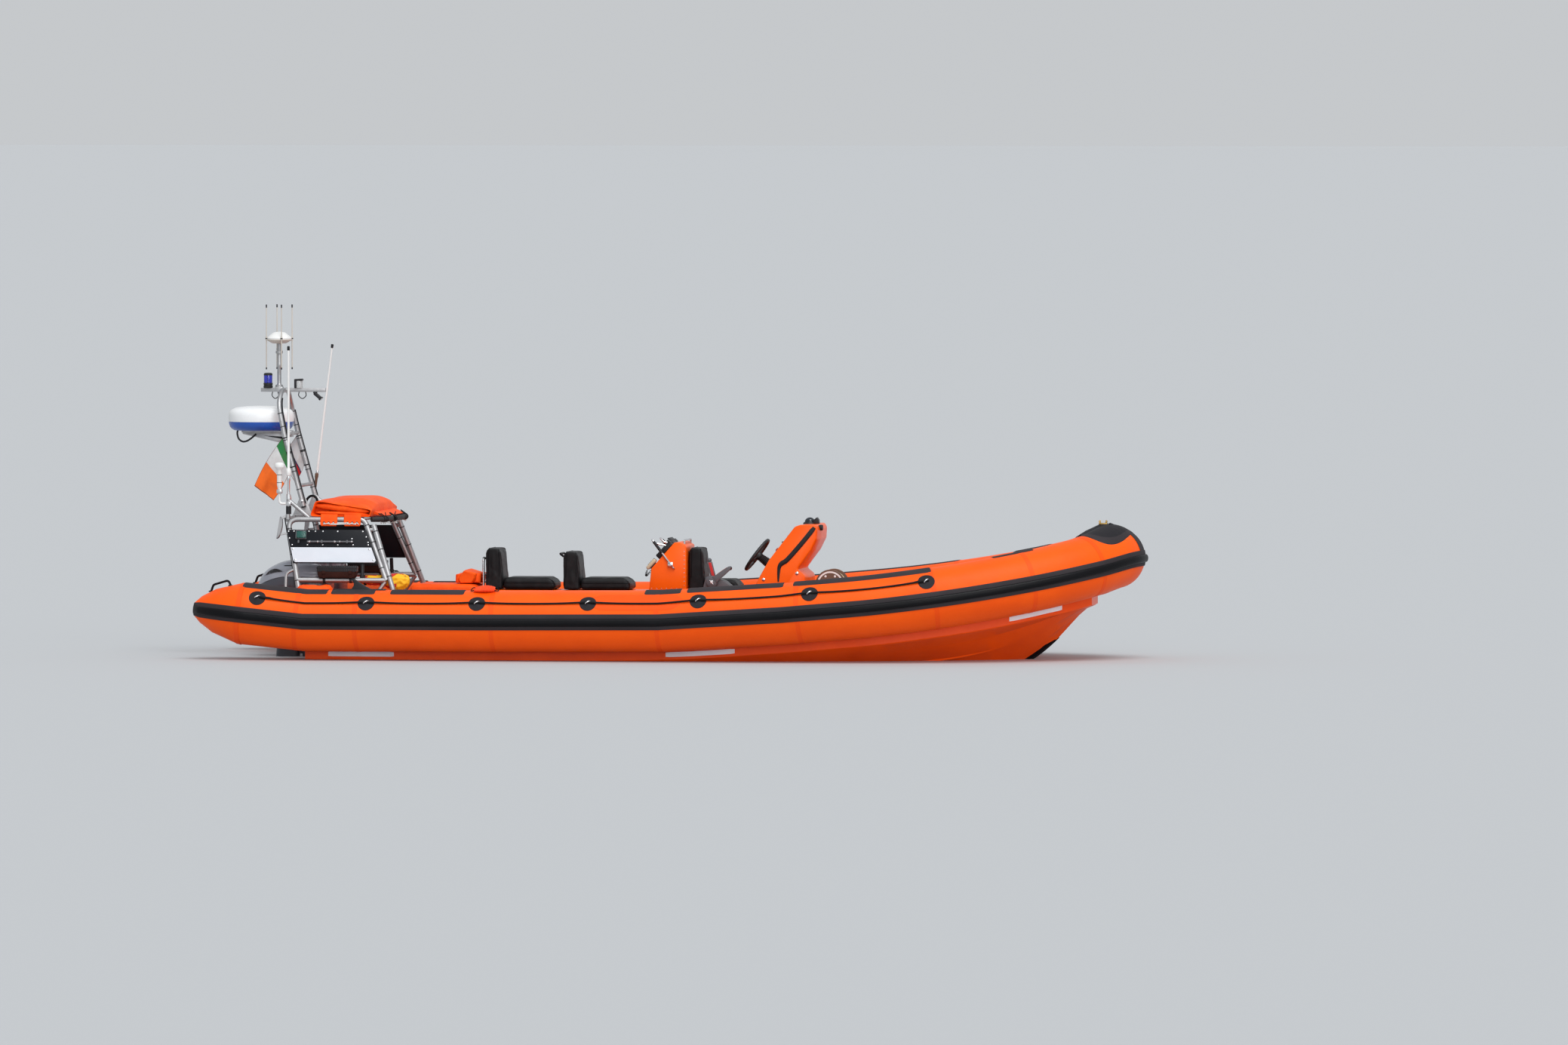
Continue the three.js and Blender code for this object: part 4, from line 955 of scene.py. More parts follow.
def consoleParts():
    bm, black, metal, red, glass = [bmesh.new() for _ in range(5)]
    half, dash, slope = console["half"], console["dashAt"], console["dashSlope"]
    consoleBody(bm)
    finishPiece(bm, "consoleBody", "boat", gelcoat, "console_gelcoat", ["console"], 40)
    for hand in (starboard, port):
        # flat rubber band down the side, narrowing to its foot
        start = len(black.verts)
        run = spring([(x, hand * half, z) for x, z in console["trim"]], 30)
        pipe(black, run, [0.016] + [0.0220] * 14 + [0.0220 - 0.0010 * i for i in range(16)])
        black.verts.ensure_lookup_table()
        for vert in black.verts[start:]:
            vert.co.y = hand * (half + 0.001) + (vert.co.y - hand * half) * 0.42
        inner, outer = sorted((hand * (half - 0.002), hand * (half + 0.006)))
        block(black, (0.716, inner, 0.174), (1.170, outer, 0.236), 0.003)
        side = (0, hand, 0)
        stud = [(0.015, -0.002), (0.015, 0.002), (0.011, 0.005), (0, 0.006)]
        for x, z in ((0.798, 0.708), (1.100, 0.765), (0.80, 0.30), (1.12, 0.30)):
            lathe(metal, stud, (x, hand * half, z), side, 20)
        screws(metal, [(0.752, hand * half, z) for z in (0.36, 0.46, 0.56, 0.66)], side, 0.006)
    tilted(black, dash, slope, (0.085, -0.285, -0.002), (0.365, 0.285, 0.005), 0.003)
    tilted(black, dash, slope, (0.150, -0.120, 0.003), (0.330, 0.120, 0.013), 0.004)
    tilted(black, dash, slope, (0.322, -0.126, 0.011), (0.334, 0.126, 0.022), 0.002)
    tilted(glass, dash, slope, (0.165, -0.105, 0.012), (0.315, 0.105, 0.0145), 0.001)
    out = slopeSpot((0, 0, 0), slope, 0, 0, 1)
    for y in (-0.235, -0.175, 0.175, 0.235):           # dials
        at = slopeSpot(dash, slope, 0.285, y, 0.008)
        lathe(black, [(0.027, 0), (0.027, 0.010), (0.023, 0.013), (0.022, 0.008)], at, out, 28)
        lathe(glass, [(0.0225, 0.004), (0.0225, 0.009), (0.012, 0.0105), (0, 0.011)], at, out, 28)
        lathe(metal, [(0.0262, 0.0085), (0.0275, 0.0095), (0.0262, 0.0125), (0.0245, 0.0125)], at, out, 28)
    for i in range(10):                                # switches, two of them red
        y = -0.252 + i * 0.056
        tilted(black, dash, slope, (0.098, y - 0.012, 0.006), (0.132, y + 0.012, 0.014), 0.002, 1)
        tilted(red if i in (0, 7) else black, dash, slope,
               (0.103, y - 0.008, 0.012), (0.127, y + 0.008, 0.020), 0.002, 1)
    for y in (-0.205, 0.205):                          # toggles
        spots = [slopeSpot(dash, slope, along, y, high) for along, high in
                 ((0.19, 0.004), (0.19, 0.012), (0.19, 0.010), (0.195, 0.026))]
        rod(metal, *spots[:2], 0.011, 0.009)
        rod(black, *spots[2:], 0.007, 0.010)
    at, axis = Vector(console["wheelAt"]), Vector(console["wheelAxis"])
    folds = [(0, 0.0325), (0.033, 0.0325)]             # bellows of the column
    for i in range(11):
        along = 0.036 + i * 0.0145
        wide = 0.0345 + 0.0125 * i / 10
        folds += [(wide, along), (wide + 0.002, along + 0.005), (wide - 0.003, along + 0.010)]
    lathe(black, folds + [(0.054, 0.196), (0.056, 0.215), (0, 0.215)], at, axis, 36)
    base, up = console["compassAt"], (0, 0, 1)
    lathe(black, [(0, -0.030), (0.050, -0.030), (0.062, 0.000), (0.058, 0.010), (0.050, 0.016), (0, 0.016)],
          base, up)
    lathe(glass, [(0.047, 0.014)] + [(0.047 * cos(radians(a)), 0.016 + 0.042 * sin(radians(a)))
                                     for a in range(0, 91, 10)], base, up)
    hood = [(1.205, 1.196), (1.203, 1.230), (1.236, 1.259), (1.252, 1.236), (1.256, 1.196)]
    plate(black, hood, -0.046, 0.046, 0.006, 3)        # folded back beside the compass
    lathe(black, [(0, -0.020), (0.018, -0.020), (0.026, -0.006), (0.0265, 0.016), (0.022, 0.022),
                  (0.017, 0.018)], console["lampAt"], (1, 0, 0), 28)
    lathe(glass, [(0.018, 0.014), (0.017, 0.019), (0.008, 0.023), (0, 0.024)], console["lampAt"],
          (1, 0, 0), 28)
    finishPiece(black, "consoleFittings", "boat", blackPlastic, "black_plastic")
    finishPiece(metal, "consoleMetal", "boat", steel, "bright_steel")
    finishPiece(red, "consoleSwitches", "boat", redPlastic, "black_plastic")
    finishPiece(glass, "consoleGlass", "boat", screenGlass, "black_plastic")


def steeringWheel():
    bm, cap = bmesh.new(), bmesh.new()
    at, axis = Vector(console["wheelAt"]), Vector(console["wheelAxis"])
    up, side = Vector((0.6, 0, 0.8)), Vector((0, 1, 0))
    around = lambda angle, reach: at + (up * sin(angle) + side * cos(angle)) * reach
    count = 96
    pipe(bm, [around(2 * pi * i / count, console["wheelRadius"]) for i in range(count)],
         [console["rim"] + 0.0005 * sin(2 * pi * i / count * 24) for i in range(count)], sides=4, closed=True)
    lathe(bm, [(0, -0.010), (0.026, -0.013), (0.037, -0.009), (0.040, 0.002), (0.040, 0.0312), (0, 0.0312)],
          at, axis, 36)
    for angle in (90, 210, 330):
        angle = radians(angle)
        inner, outer = around(angle, 0.030) + axis * 0.016, around(angle, console["wheelRadius"])
        for shift in (-0.009, 0, 0.009):
            across = (up * cos(angle) - side * sin(angle)) * shift
            pipe(bm, [inner + across, inner.lerp(outer, 0.5) + across * 0.8 + axis * 0.003,
                      outer + across * 1.2], 0.0062, sides=2)
    lathe(cap, [(0, -0.0155), (0.015, -0.0155), (0.020, -0.012), (0.021, -0.008)], at, axis, 28)
    finishPiece(bm, "wheelRim", "wheel", wheelGrip, "black_plastic", ["steering_wheel"])
    finishPiece(cap, "wheelCap", "wheel", steel, "bright_steel")


wheelGrip = speckled("wheelGrip", (0.010, 0.010, 0.011), (0.022, 0.022, 0.023), 0.5, 0.0012, 0.0003)
consoleParts()
steeringWheel()

standTop = 0.6004       # what stands on the throttle's pedestal or the plinth starts here
throttle = {
    "pivot": (0.357, -0.505, 0.690), "end": (0.522, -0.505, 0.820), "wall": (-0.490, -0.380),
    "housing": [(0.265, standTop), (0.300, 0.735), (0.345, 0.746), (0.480, 0.700), (0.600, standTop)],
}


def throttleParts():
    box, bm, metal, grip, red = [bmesh.new() for _ in range(5)]
    block(box, (0.270, -0.505, deckTop), (0.590, -0.365, 0.600), 0.012, 3)
    plate(bm, eased(throttle["housing"], 0.03), *throttle["wall"], 0.010, 3, ends=False)
    pivot, end = Vector(throttle["pivot"]), Vector(throttle["end"])
    lathe(bm, [(0, -0.010), (0.040, -0.010), (0.050, -0.004), (0.054, 0.006), (0.056, 0.012), (0.056, 0.055),
               (0, 0.055)], pivot, (0, 1, 0), 44)
    lathe(metal, [(0, -0.0135), (0.012, -0.0135), (0.015, -0.011), (0.015, -0.006), (0, -0.006)], pivot,
          (0, 1, 0), 24)
    along = (end - pivot).normalized()
    across = Vector((-along.z, 0, along.x))
    edge = [(0.030, 0.034), (0.075, 0.026), (0.130, 0.024), (0.190, 0.019), (0.209, 0.013), (0.217, 0.005)]
    arm = [pivot + along * far + across * wide for far, wide in edge]
    arm += [pivot + along * far - across * wide for far, wide in reversed(edge)]
    plate(bm, [(p.x, p.z) for p in arm], -0.519, -0.503, 0.004, 2, ends=False)
    face = pivot + Vector((0, -0.0135, 0))
    pipe(metal, [face + along * far + across * wide for far, wide in edge[1:4]], 0.0018)
    pipe(metal, [(0.340, -0.5175, 0.708), (0.372, -0.5175, 0.672)], 0.0042)
    lathe(grip, [(0, -0.006), (0.014, -0.006), (0.018, 0.000), (0.0185, 0.020), (0.016, 0.045),
                 (0.018, 0.071), (0.013, 0.080), (0, 0.080)],
          end - along * 0.012 + Vector((0, 0.004, 0)), (0, 1, 0), 24)
    stop = [(0.339, 0.728), (0.386, 0.728), (0.350, 0.872), (0.306, 0.872)]
    plate(bm, stop, -0.458, -0.424, 0.005, 2)          # stop lever with a red insert
    insert = [(0.350, 0.742), (0.377, 0.742), (0.345, 0.864), (0.319, 0.864)]
    plate(red, insert, -0.4605, -0.450, 0.0015, 1)
    lathe(bm, [(0, -0.020), (0.012, -0.016), (0.019, -0.008), (0.0205, 0), (0.019, 0.008), (0.012, 0.016),
               (0, 0.020)], (0.327, -0.441, 0.884), (0, 0, 1), 24)
    for x, z in ((0.300, 0.64), (0.55, 0.625)):
        screws(metal, [(x, throttle["wall"][0], z)], (0, -1, 0), 0.007)
    screws(metal, [(x, -0.505, z) for x in (0.290, 0.570) for z in (0.20, 0.38, 0.57)], (0, -1, 0), 0.005)
    finishPiece(box, "throttlePedestal", "boat", gelcoat, "console_gelcoat", ["throttle_pedestal"])
    finishPiece(bm, "throttleHousing", "boat", greyPlastic, "engine_casting", ["throttle"])
    finishPiece(metal, "throttleMetal", "boat", steel, "bright_steel")
    finishPiece(grip, "throttleGrip", "boat", wheelGrip, "black_plastic")
    finishPiece(red, "throttleInsert", "boat", redPlastic, "red_lens")


throttleParts()

seating = {
    "plinthTop": 0.600, "plinthX": (-1.740, 0.600),
    # name, cushion aft x, cushion fore x, cushion top z, back aft x, back top z
    "seats": [("helm", 0.245, 0.560, 0.705, 0.094, 0.994),
              ("crew_fore", -0.885, -0.420, 0.715, -1.042, 0.954),
              ("crew_aft", -1.585, -1.100, 0.715, -1.746, 0.982)],
    "rim": 0.028, "pressure": 4, "frames": 20, "seamRadius": 0.0034, "seamStep": 0.012,
    "half": 0.200, "voxel": 0.008, "swell": 0.009, "drawIn": 0.002, "evenings": 5, "inset": 0.009,
}


def soften(piece, floorZ, clear):
    # Blows the padding up inside its skin, with the move of each point capped
    rough = piece.modifiers.new("remesh", "REMESH")
    rough.mode, rough.voxel_size = "VOXEL", seating["voxel"]
    skin = bpy.data.meshes.new_from_object(piece.evaluated_get(bpy.context.evaluated_depsgraph_get()))
    piece.modifiers.clear()
    old, piece.data = piece.data, skin
    bpy.data.meshes.remove(old)
    rest = [vert.co.copy() for vert in skin.vertices]
    pad = piece.modifiers.new("pad", "CLOTH")
    pad.settings.use_pressure = True
    pad.settings.uniform_pressure_force = seating["pressure"]
    pad.settings.effector_weights.gravity = 0
    pad.point_cache.frame_end = seating["frames"]
    for frameNumber in range(1, seating["frames"] + 1):
        bpy.context.scene.frame_set(frameNumber)
    blown = piece.evaluated_get(bpy.context.evaluated_depsgraph_get()).data
    moved = [vert.co.copy() for vert in blown.vertices]
    piece.modifiers.clear()
    bpy.context.scene.frame_set(1)
    steps = [now - was for was, now in zip(rest, moved)]
    nearby = [[] for _ in steps]
    for edge in skin.edges:
        one, other = edge.vertices
        nearby[one].append(other)
        nearby[other].append(one)
    for _ in range(seating["evenings"]):
        steps = [(step + sum((steps[k] for k in near), Vector())) / (1 + len(near))
                 for step, near in zip(steps, nearby)]
    outward = [step.dot(vert.normal) > 0 for step, vert in zip(steps, skin.vertices)]
    for vert, was, step, out in zip(skin.vertices, rest, steps, outward):
        limit = seating["swell"] if out else seating["drawIn"]
        vert.co = was + step * min(1, limit / max(step.length, 1e-6))
    for vert in skin.vertices:
        vert.co.z = max(vert.co.z, floorZ)
        vert.co.x = max(min(vert.co.x, clear[1]), clear[0])
    skin.polygons.foreach_set("use_smooth", [True] * len(skin.polygons))


def seatPad(name, node, outline, half, floorZ, clear):
    # The padding as a piece; returns its skin, for the seams to lie on
    bm = bmesh.new()
    plate(bm, outline, -half, half, seating["rim"], 4)
    bmesh.ops.triangulate(bm, faces=[face for face in bm.faces if len(face.verts) > 4])
    piece = finishPiece(bm, name, "boat", seatVinyl, "seat_vinyl", [node])
    soften(piece, floorZ, clear)
    return BVHTree.FromPolygons([vert.co for vert in piece.data.vertices],
                                [face.vertices for face in piece.data.polygons])


def piping(bm, points, skin):
    # A seam's cord along the points, each laid down on the padding's skin
    run = []
    for a, b in zip(points, points[1:]):
        a, b = Vector(a), Vector(b)
        count = max(1, round((b - a).length / seating["seamStep"]))
        run += [a.lerp(b, i / count) for i in range(count)]
    laid = []
    for place in run + [Vector(points[-1])]:
        spot, normal = skin.find_nearest(place)[:2]
        laid.append(spot + normal * 0.0008)
    pipe(bm, laid, seating["seamRadius"], 0.0, 2)


def seats():
    seams = bmesh.new()
    low, inset, half = seating["plinthTop"] + 0.0004, seating["inset"], seating["half"]
    for name, aftX, foreX, topZ, backX, backTop in seating["seats"]:
        words = "".join(word.capitalize() for word in name.split("_"))
        outline = [(aftX + 0.004, low + 0.004), (foreX - inset, low + 0.004), (foreX - inset, topZ - 0.052),
                   (foreX - 0.052, topZ - inset), (aftX + 0.004, topZ - inset)]
        cushion = seatPad("cushion" + words, name + "_cushion", outline, half - inset, low,
                          (aftX + 0.001, foreX))
        outline = [(backX + inset, low + 0.004), (aftX - inset, low + 0.004), (aftX - inset, topZ),
                   (aftX - 0.032, backTop - 0.026), (aftX - 0.052, backTop - inset),
                   (backX + 0.028, backTop - inset), (backX + inset, backTop - 0.036)]
        backrest = seatPad("backrest" + words, name + "_backrest", outline, half - 0.005 - inset, low,
                           (backX, aftX - 0.001))
        z, rim = topZ - 0.050, half - 0.006
        side = [(aftX + 0.006, rim, z), (foreX - 0.030, rim, z), (foreX - 0.001, rim - 0.030, z)]
        piping(seams, side + [(x, -y, z) for x, y, z in reversed(side)], cushion)
        for x, lean in ((backX + 0.030, 0.004), (aftX - 0.030, -0.004)):
            side = [(x, rim - 0.005, low + 0.12), (x + lean, rim - 0.005, backTop - 0.050),
                    (x + lean * 2, rim - 0.045, backTop - 0.001)]
            piping(seams, side + [(x, -y, z) for x, y, z in reversed(side)], backrest)
    finishPiece(seams, "seatPiping", "boat", blackRubber, "seat_vinyl")


seatVinyl = Finish("seatVinyl", shine=0.18)
grain = seatVinyl.cells(0.0035).over(0.0, 0.5)
worn = seatVinyl.noise(0.10, 5, 0.65).over(0.42, 0.75)
seatVinyl.set(colour=seatVinyl.mix(worn, (0.0060, 0.0060, 0.0068), (0.014, 0.014, 0.015)),
              roughness=0.40 + worn * 0.16)
seatVinyl.bump(grain + seatVinyl.noise(0.05, 3) * 4, 0.0006)
seats()


def seatBase():
    bm, black, metal = bmesh.new(), bmesh.new(), bmesh.new()
    aft, fore = seating["plinthX"]
    block(bm, (aft, -0.180, deckTop), (fore, 0.180, seating["plinthTop"]), 0.012, 3)
    block(bm, (aft, -0.240, deckTop), (fore, 0.240, 0.300), 0.012, 3)
    for hand in (starboard, port):
        for x in (-1.45, -0.72, 0.30):                 # deck hatches in the side of the plinth
            inner, outer = sorted((hand * 0.178, hand * 0.187))
            block(black, (x - 0.15, inner, 0.345), (x + 0.15, outer, 0.545), 0.003)
            inner, outer = sorted((hand * 0.186, hand * 0.191))
            block(black, (x - 0.125, inner, 0.370), (x + 0.125, outer, 0.520), 0.002)
            lathe(metal, [(0.014, -0.001), (0.014, 0.003), (0.010, 0.005), (0, 0.005)],
                  (x + 0.10, hand * 0.191, 0.445), (0, hand, 0), 20)
        y0, y1 = sorted((hand * 0.196, hand * 0.234))
        for i in range(4):
            x = aft + 0.03 + i * (fore - aft) / 4
            block(black, (x, y0, 0.299), (x + (fore - aft) / 4 - 0.06, y1, 0.304), 0.002)
        screws(metal, [(aft + 0.10 + i * 0.27, hand * 0.240, 0.20) for i in range(9)], (0, hand, 0), 0.006)
    finishPiece(bm, "seatPlinth", "boat", gelcoat, "console_gelcoat", ["seat_plinth"])
    finishPiece(black, "plinthHatches", "boat", blackPlastic, "black_plastic")
    finishPiece(metal, "plinthScrews", "boat", steel, "bright_steel")


seatBase()

pod = {
    "outline": [(-0.250, standTop), (0.088, standTop), (0.088, 1.000), (0.040, 1.034), (-0.020, 1.034),
                (-0.230, 0.800)],
    "half": 0.250, "slopeAt": (-0.230, 0, 0.800), "slope": atan2(0.234, 0.210),
    # low and high y, low and high place up the slope, how far it stands out
    "screens": [(-0.115, 0.115, 0.095, 0.290, 0.060), (-0.235, -0.135, 0.150, 0.285, 0.042),
                (0.135, 0.235, 0.120, 0.285, 0.042)],
    "cordTurns": 16, "cordRadius": 0.0022, "coilRadius": 0.007,
}


def instrumentPod():
    bm, black, glass, metal, cream, cord = [bmesh.new() for _ in range(6)]
    half, at, slope = pod["half"], pod["slopeAt"], pod["slope"]
    plate(bm, pod["outline"], -half, half, 0.010, 3)
    finishPiece(bm, "podShell", "boat", gelcoat, "console_gelcoat", ["instrument_pod"], 40)
    for y0, y1, a0, a1, out in pod["screens"]:
        tilted(black, at, slope, (a0, y0, -0.002), (a1, y1, out), 0.010, 3)
        tilted(black, at, slope, (a1 - 0.010, y0 - 0.003, out - 0.012),
               (a1 + 0.004, y1 + 0.003, out + 0.022), 0.003)
        tilted(glass, at, slope, (a0 + 0.030, y0 + 0.012, out - 0.002),
               (a1 - 0.016, y1 - 0.012, out + 0.0015), 0.001)
        for i in range(4):
            y = y0 + (y1 - y0) * (i + 0.5) / 4
            tilted(cream if i == 3 else black, at, slope, (a0 + 0.008, y - 0.006, out - 0.002),
                   (a0 + 0.022, y + 0.006, out + 0.004), 0.0015, 1)
    for hand in (starboard, port):
        side = (0, hand, 0)
        screws(metal, [(0.070, hand * half, 0.650 + i * 0.038) for i in range(9)], side, 0.0048)
        screws(metal, [(-0.225 + i * 0.045, hand * half, 0.622) for i in range(7)], side, 0.0048)
        y = hand * (half + 0.012)                      # grab handle beside the screens
        low, high = Vector((-0.050, y, 0.838)), Vector((-0.214, y, 1.052))
        pipe(metal, [(-0.020, hand * (half - 0.004), 0.800), (-0.022, y, 0.802), low, high,
                     high + Vector((-0.010, -hand * 0.020, 0.006)),
                     high + Vector((0.030, -hand * 0.045, -0.030)),
                     slopeSpot(at, slope, 0.255, hand * 0.215, 0.010)], 0.0085, 0.02)
        rod(black, low.lerp(high, 0.48), low.lerp(high, 0.95), 0.0135, 0.0125, 20)
        block(metal, low + Vector((-0.026, -0.013, -0.022)), low + Vector((0.020, 0.013, 0.022)), 0.004)
        screws(black, [low + Vector((x, hand * 0.013, z)) for x, z in ((-0.016, 0.012), (0.010, -0.012))],
               side, 0.005)
    tilted(black, at, slope, (-0.005, -0.236, -0.002), (0.060, -0.176, 0.012), 0.003)
    tilted(cream, at, slope, (-0.028, -0.246, 0.010), (0.085, -0.184, 0.044), 0.012, 3)
    for i in range(3):
        for k in range(2):
            tilted(black, at, slope, (0.004 + i * 0.018, -0.232 + k * 0.020, 0.042),
                   (0.014 + i * 0.018, -0.220 + k * 0.020, 0.048), 0.002, 1)
    lathe(black, [(0.0, 0.002), (0.014, 0.002), (0.016, -0.004)], slopeSpot(at, slope, 0.070, -0.215, 0.044),
          slopeSpot((0, 0, 0), slope, 0, 0, 1), 20)
    start, stop = slopeSpot(at, slope, -0.026, -0.215, 0.026), slopeSpot(at, slope, 0.055, -0.125, 0.004)
    turns, run = pod["cordTurns"], []
    for i in range(turns * 10 + 1):
        t = i / (turns * 10)
        centre = start.lerp(stop, t) + Vector((-0.05 * sin(pi * t), 0, -0.085 * sin(pi * t)))
        angle, wide = 2 * pi * t * turns, pod["coilRadius"] * min(1, 8 * t, 8 * (1 - t))
        run.append(centre + (Vector((0.45, 0, 0.9)) * cos(angle)
                             + Vector((0.8, 0.4, -0.4)) * sin(angle)) * wide)
    pipe(cord, run, pod["cordRadius"], sides=1)
    pipe(metal, [(0.062, -0.19, 1.020), (0.062, -0.19, 1.052), (0.062, 0.19, 1.052), (0.062, 0.19, 1.020)],
         0.009, 0.03)
    finishPiece(black, "podInstruments", "boat", blackPlastic, "black_plastic")
    finishPiece(glass, "podScreens", "boat", screenGlass, "black_plastic")
    finishPiece(metal, "podMetal", "boat", steel, "bright_steel")
    finishPiece(cream, "podHandset", "boat", creamPlastic, "white_plastic")
    finishPiece(cord, "handsetCord", "boat", blackRubber, "black_plastic")


instrumentPod()


def grabRail():
    bm, black = bmesh.new(), bmesh.new()
    x = -1.765
    pipe(bm, [(x, -0.150, 0.556), (x, -0.150, 0.880), (x, 0.150, 0.880), (x, 0.150, 0.556)], 0.012, 0.05)
    for y in (-0.150, 0.150):
        block(bm, (x - 0.013, y - 0.015, 0.541), (-1.7405, y + 0.015, 0.579), 0.003)
        lathe(bm, [(0.012, -0.004), (0.017, -0.003), (0.017, 0.006), (0.012, 0.010)], (x, y, 0.580),
              (0, 0, 1), 24)
    rod(bm, (x, -0.150, 0.730), (x, 0.150, 0.730), 0.010)
    for y in (-0.110, 0.110):
        rod(black, (x, y - 0.014, 0.880), (x, y + 0.014, 0.880), 0.0135)
    for seat in seating["seats"][:2]:                  # handle on the back of each fore seat
        aft, top = seat[4], seat[5]
        pipe(black, [(aft - 0.002, -0.11, top - 0.055), (aft - 0.034, -0.11, top - 0.030),
                     (aft - 0.034, 0.11, top - 0.030), (aft - 0.002, 0.11, top - 0.055)], 0.010, 0.025)
    finishPiece(bm, "grabRail", "boat", steel, "bright_steel", ["grab_rail"])
    finishPiece(black, "seatHandles", "boat", blackRubber, "black_plastic")


grabRail()

reel = {"at": (1.372, 0, 0.660), "half": 0.130, "radius": 0.135, "core": 0.060, "rope": 0.0058,
        "turns": 19, "wound": 0.1055}


def ropeReel():
    stand, bolts, drum, rope, rim = [bmesh.new() for _ in range(5)]
    at, half, radius = Vector(reel["at"]), reel["half"], reel["radius"]
    for hand in (starboard, port):
        y0, y1 = sorted((hand * 0.150, hand * 0.162))
        outline = [(1.290, deckTop), (1.454, deckTop), (1.400, 0.690), (1.388, 0.700), (1.356, 0.700),
                   (1.344, 0.690)]
        plate(stand, outline, y0, y1, 0.002, 2, ends=False)
        lathe(bolts, [(0.0172, -0.001), (0.026, 0.0), (0.026, 0.006), (0.0172, 0.008)],
              at + Vector((0, hand * 0.162, 0)), (0, hand, 0), 28)
        for x in (1.312, 1.432):
            rod(bolts, (x, hand * 0.130, 0.181), (x, hand * 0.130, 0.190), 0.008, sides=6)
    block(stand, (1.290, -0.162, deckTop), (1.454, 0.162, 0.182), 0.003)
    wall = [(0.064, half - 0.012), (radius - 0.004, half - 0.010), (radius, half - 0.007),
            (radius, half - 0.003), (radius - 0.004, half), (0.050, half), (0.046, half - 0.003),
            (0.016, half - 0.003), (0.016, 0.1645), (0.013, 0.1652), (0, 0.1652)]
    lathe(drum, [(0, -0.1652)] + [(r, -a) for r, a in reversed(wall[:-1])] + [(reel["core"], half - 0.012)]
          + wall, at, (0, 1, 0), 48)
    for hand in (starboard, port):
        lathe(rim, [(0.104, half - 0.002), (0.104, half + 0.0022), (0.119, half + 0.0022),
                    (0.119, half - 0.002)], at, (0, hand, 0), 48)
        for k in range(6):
            angle = radians(60 * k)
            spot = at + Vector((0.085 * cos(angle), hand * half, 0.085 * sin(angle)))
            lathe(rim, [(0.010, -0.001), (0.010, 0.002), (0.006, 0.003), (0, 0.003)], spot, (0, hand, 0), 12)
    turns, steps = reel["turns"], 30
    for layer, wound in enumerate((reel["wound"] - 0.0100, reel["wound"])):
        count = turns - layer
        width = (2 * half - 0.022) * (count - 0.4) / turns * (1 if layer else -1)
        run = []
        for i in range(count * steps + 1):
            angle = 2 * pi * i / steps
            y = width * (i / (count * steps) - 0.5)
            run.append(at + Vector((wound * cos(angle), y, wound * sin(angle))))
        pipe(rope, run, reel["rope"], sides=2)
    lathe(rope, [(0.0605, -0.1185), (0.093, -0.1185), (0.093, 0.1185), (0.0605, 0.1185), (0.0605, -0.1185)],
          at, (0, 1, 0), 40)
    finishPiece(stand, "reelStand", "boat", aluminium, "frame_aluminium", ["reel_stand"])
    finishPiece(bolts, "reelBolts", "boat", steel, "bright_steel")
    finishPiece(drum, "reelDrum", "reel", reelBrown, "reel_brown", ["reel_drum"])
    finishPiece(rim, "reelBands", "reel", whitePlastic, "white_plastic")
    finishPiece(rope, "reelRope", "reel", ropeFibre, "rope_fibre", ["reel_rope"])


reelBrown = speckled("reelBrown", (0.16, 0.085, 0.050), (0.085, 0.050, 0.034), 0.5, 0.004, 0.0003)
ropeFibre = cloth("ropeFibre", (0.55, 0.47, 0.30), (0.34, 0.28, 0.17), 0.8, 0.003)
ropeReel()
print("console, seats and reel built")


# Frame over the engines
rig = {
    "footY": 0.815, "topY": 0.670, "kneeZ": 0.620, "topZ": 1.240, "pipe": 0.024, "sole": deckTop,
    "post": (-3.447, 1.440), "postPipe": 0.020,
    "plate": [(-3.454, 1.142), (-2.737, 1.142), (-2.618, 0.845), (-3.386, 0.845)],
    "plateOut": (0.0245, 0.0325),
    "board": [(-3.411, 0.984), (-2.681, 0.984), (-2.634, 0.868), (-2.648, 0.853), (-3.366, 0.853),
              (-3.384, 0.868)],
    "lamp": (-3.365, -3.270, 1.055, 1.130),
}
rig["lean"] = atan2(rig["footY"] - rig["topY"], rig["topZ"] - rig["kneeZ"])


def leaning(hand, x, out, z):
    # A spot on the side of the frame, held off it by out
    y = rig["footY"] - max(0, z - rig["kneeZ"]) * tan(rig["lean"])
    return Vector((x, hand * (y + out * cos(rig["lean"])), z + out * sin(rig["lean"])))


def leaned(hand, draw, bm, *facts, **more):
    # What draw makes in the flat, as (x, out, z), is laid against the side of the frame
    before = set(bm.verts)
    draw(bm, *facts, **more)
    for vert in bm.verts:
        if vert not in before:
            vert.co = leaning(hand, *vert.co)


def sleeve(bm, at, axis, radius, wide, thick=0.0015, steps=24):
    lathe(bm, [(radius - 0.001, -wide / 2), (radius + thick, -wide / 2), (radius + thick, wide / 2),
               (radius - 0.001, wide / 2), (radius - 0.001, -wide / 2)], at, axis, steps)


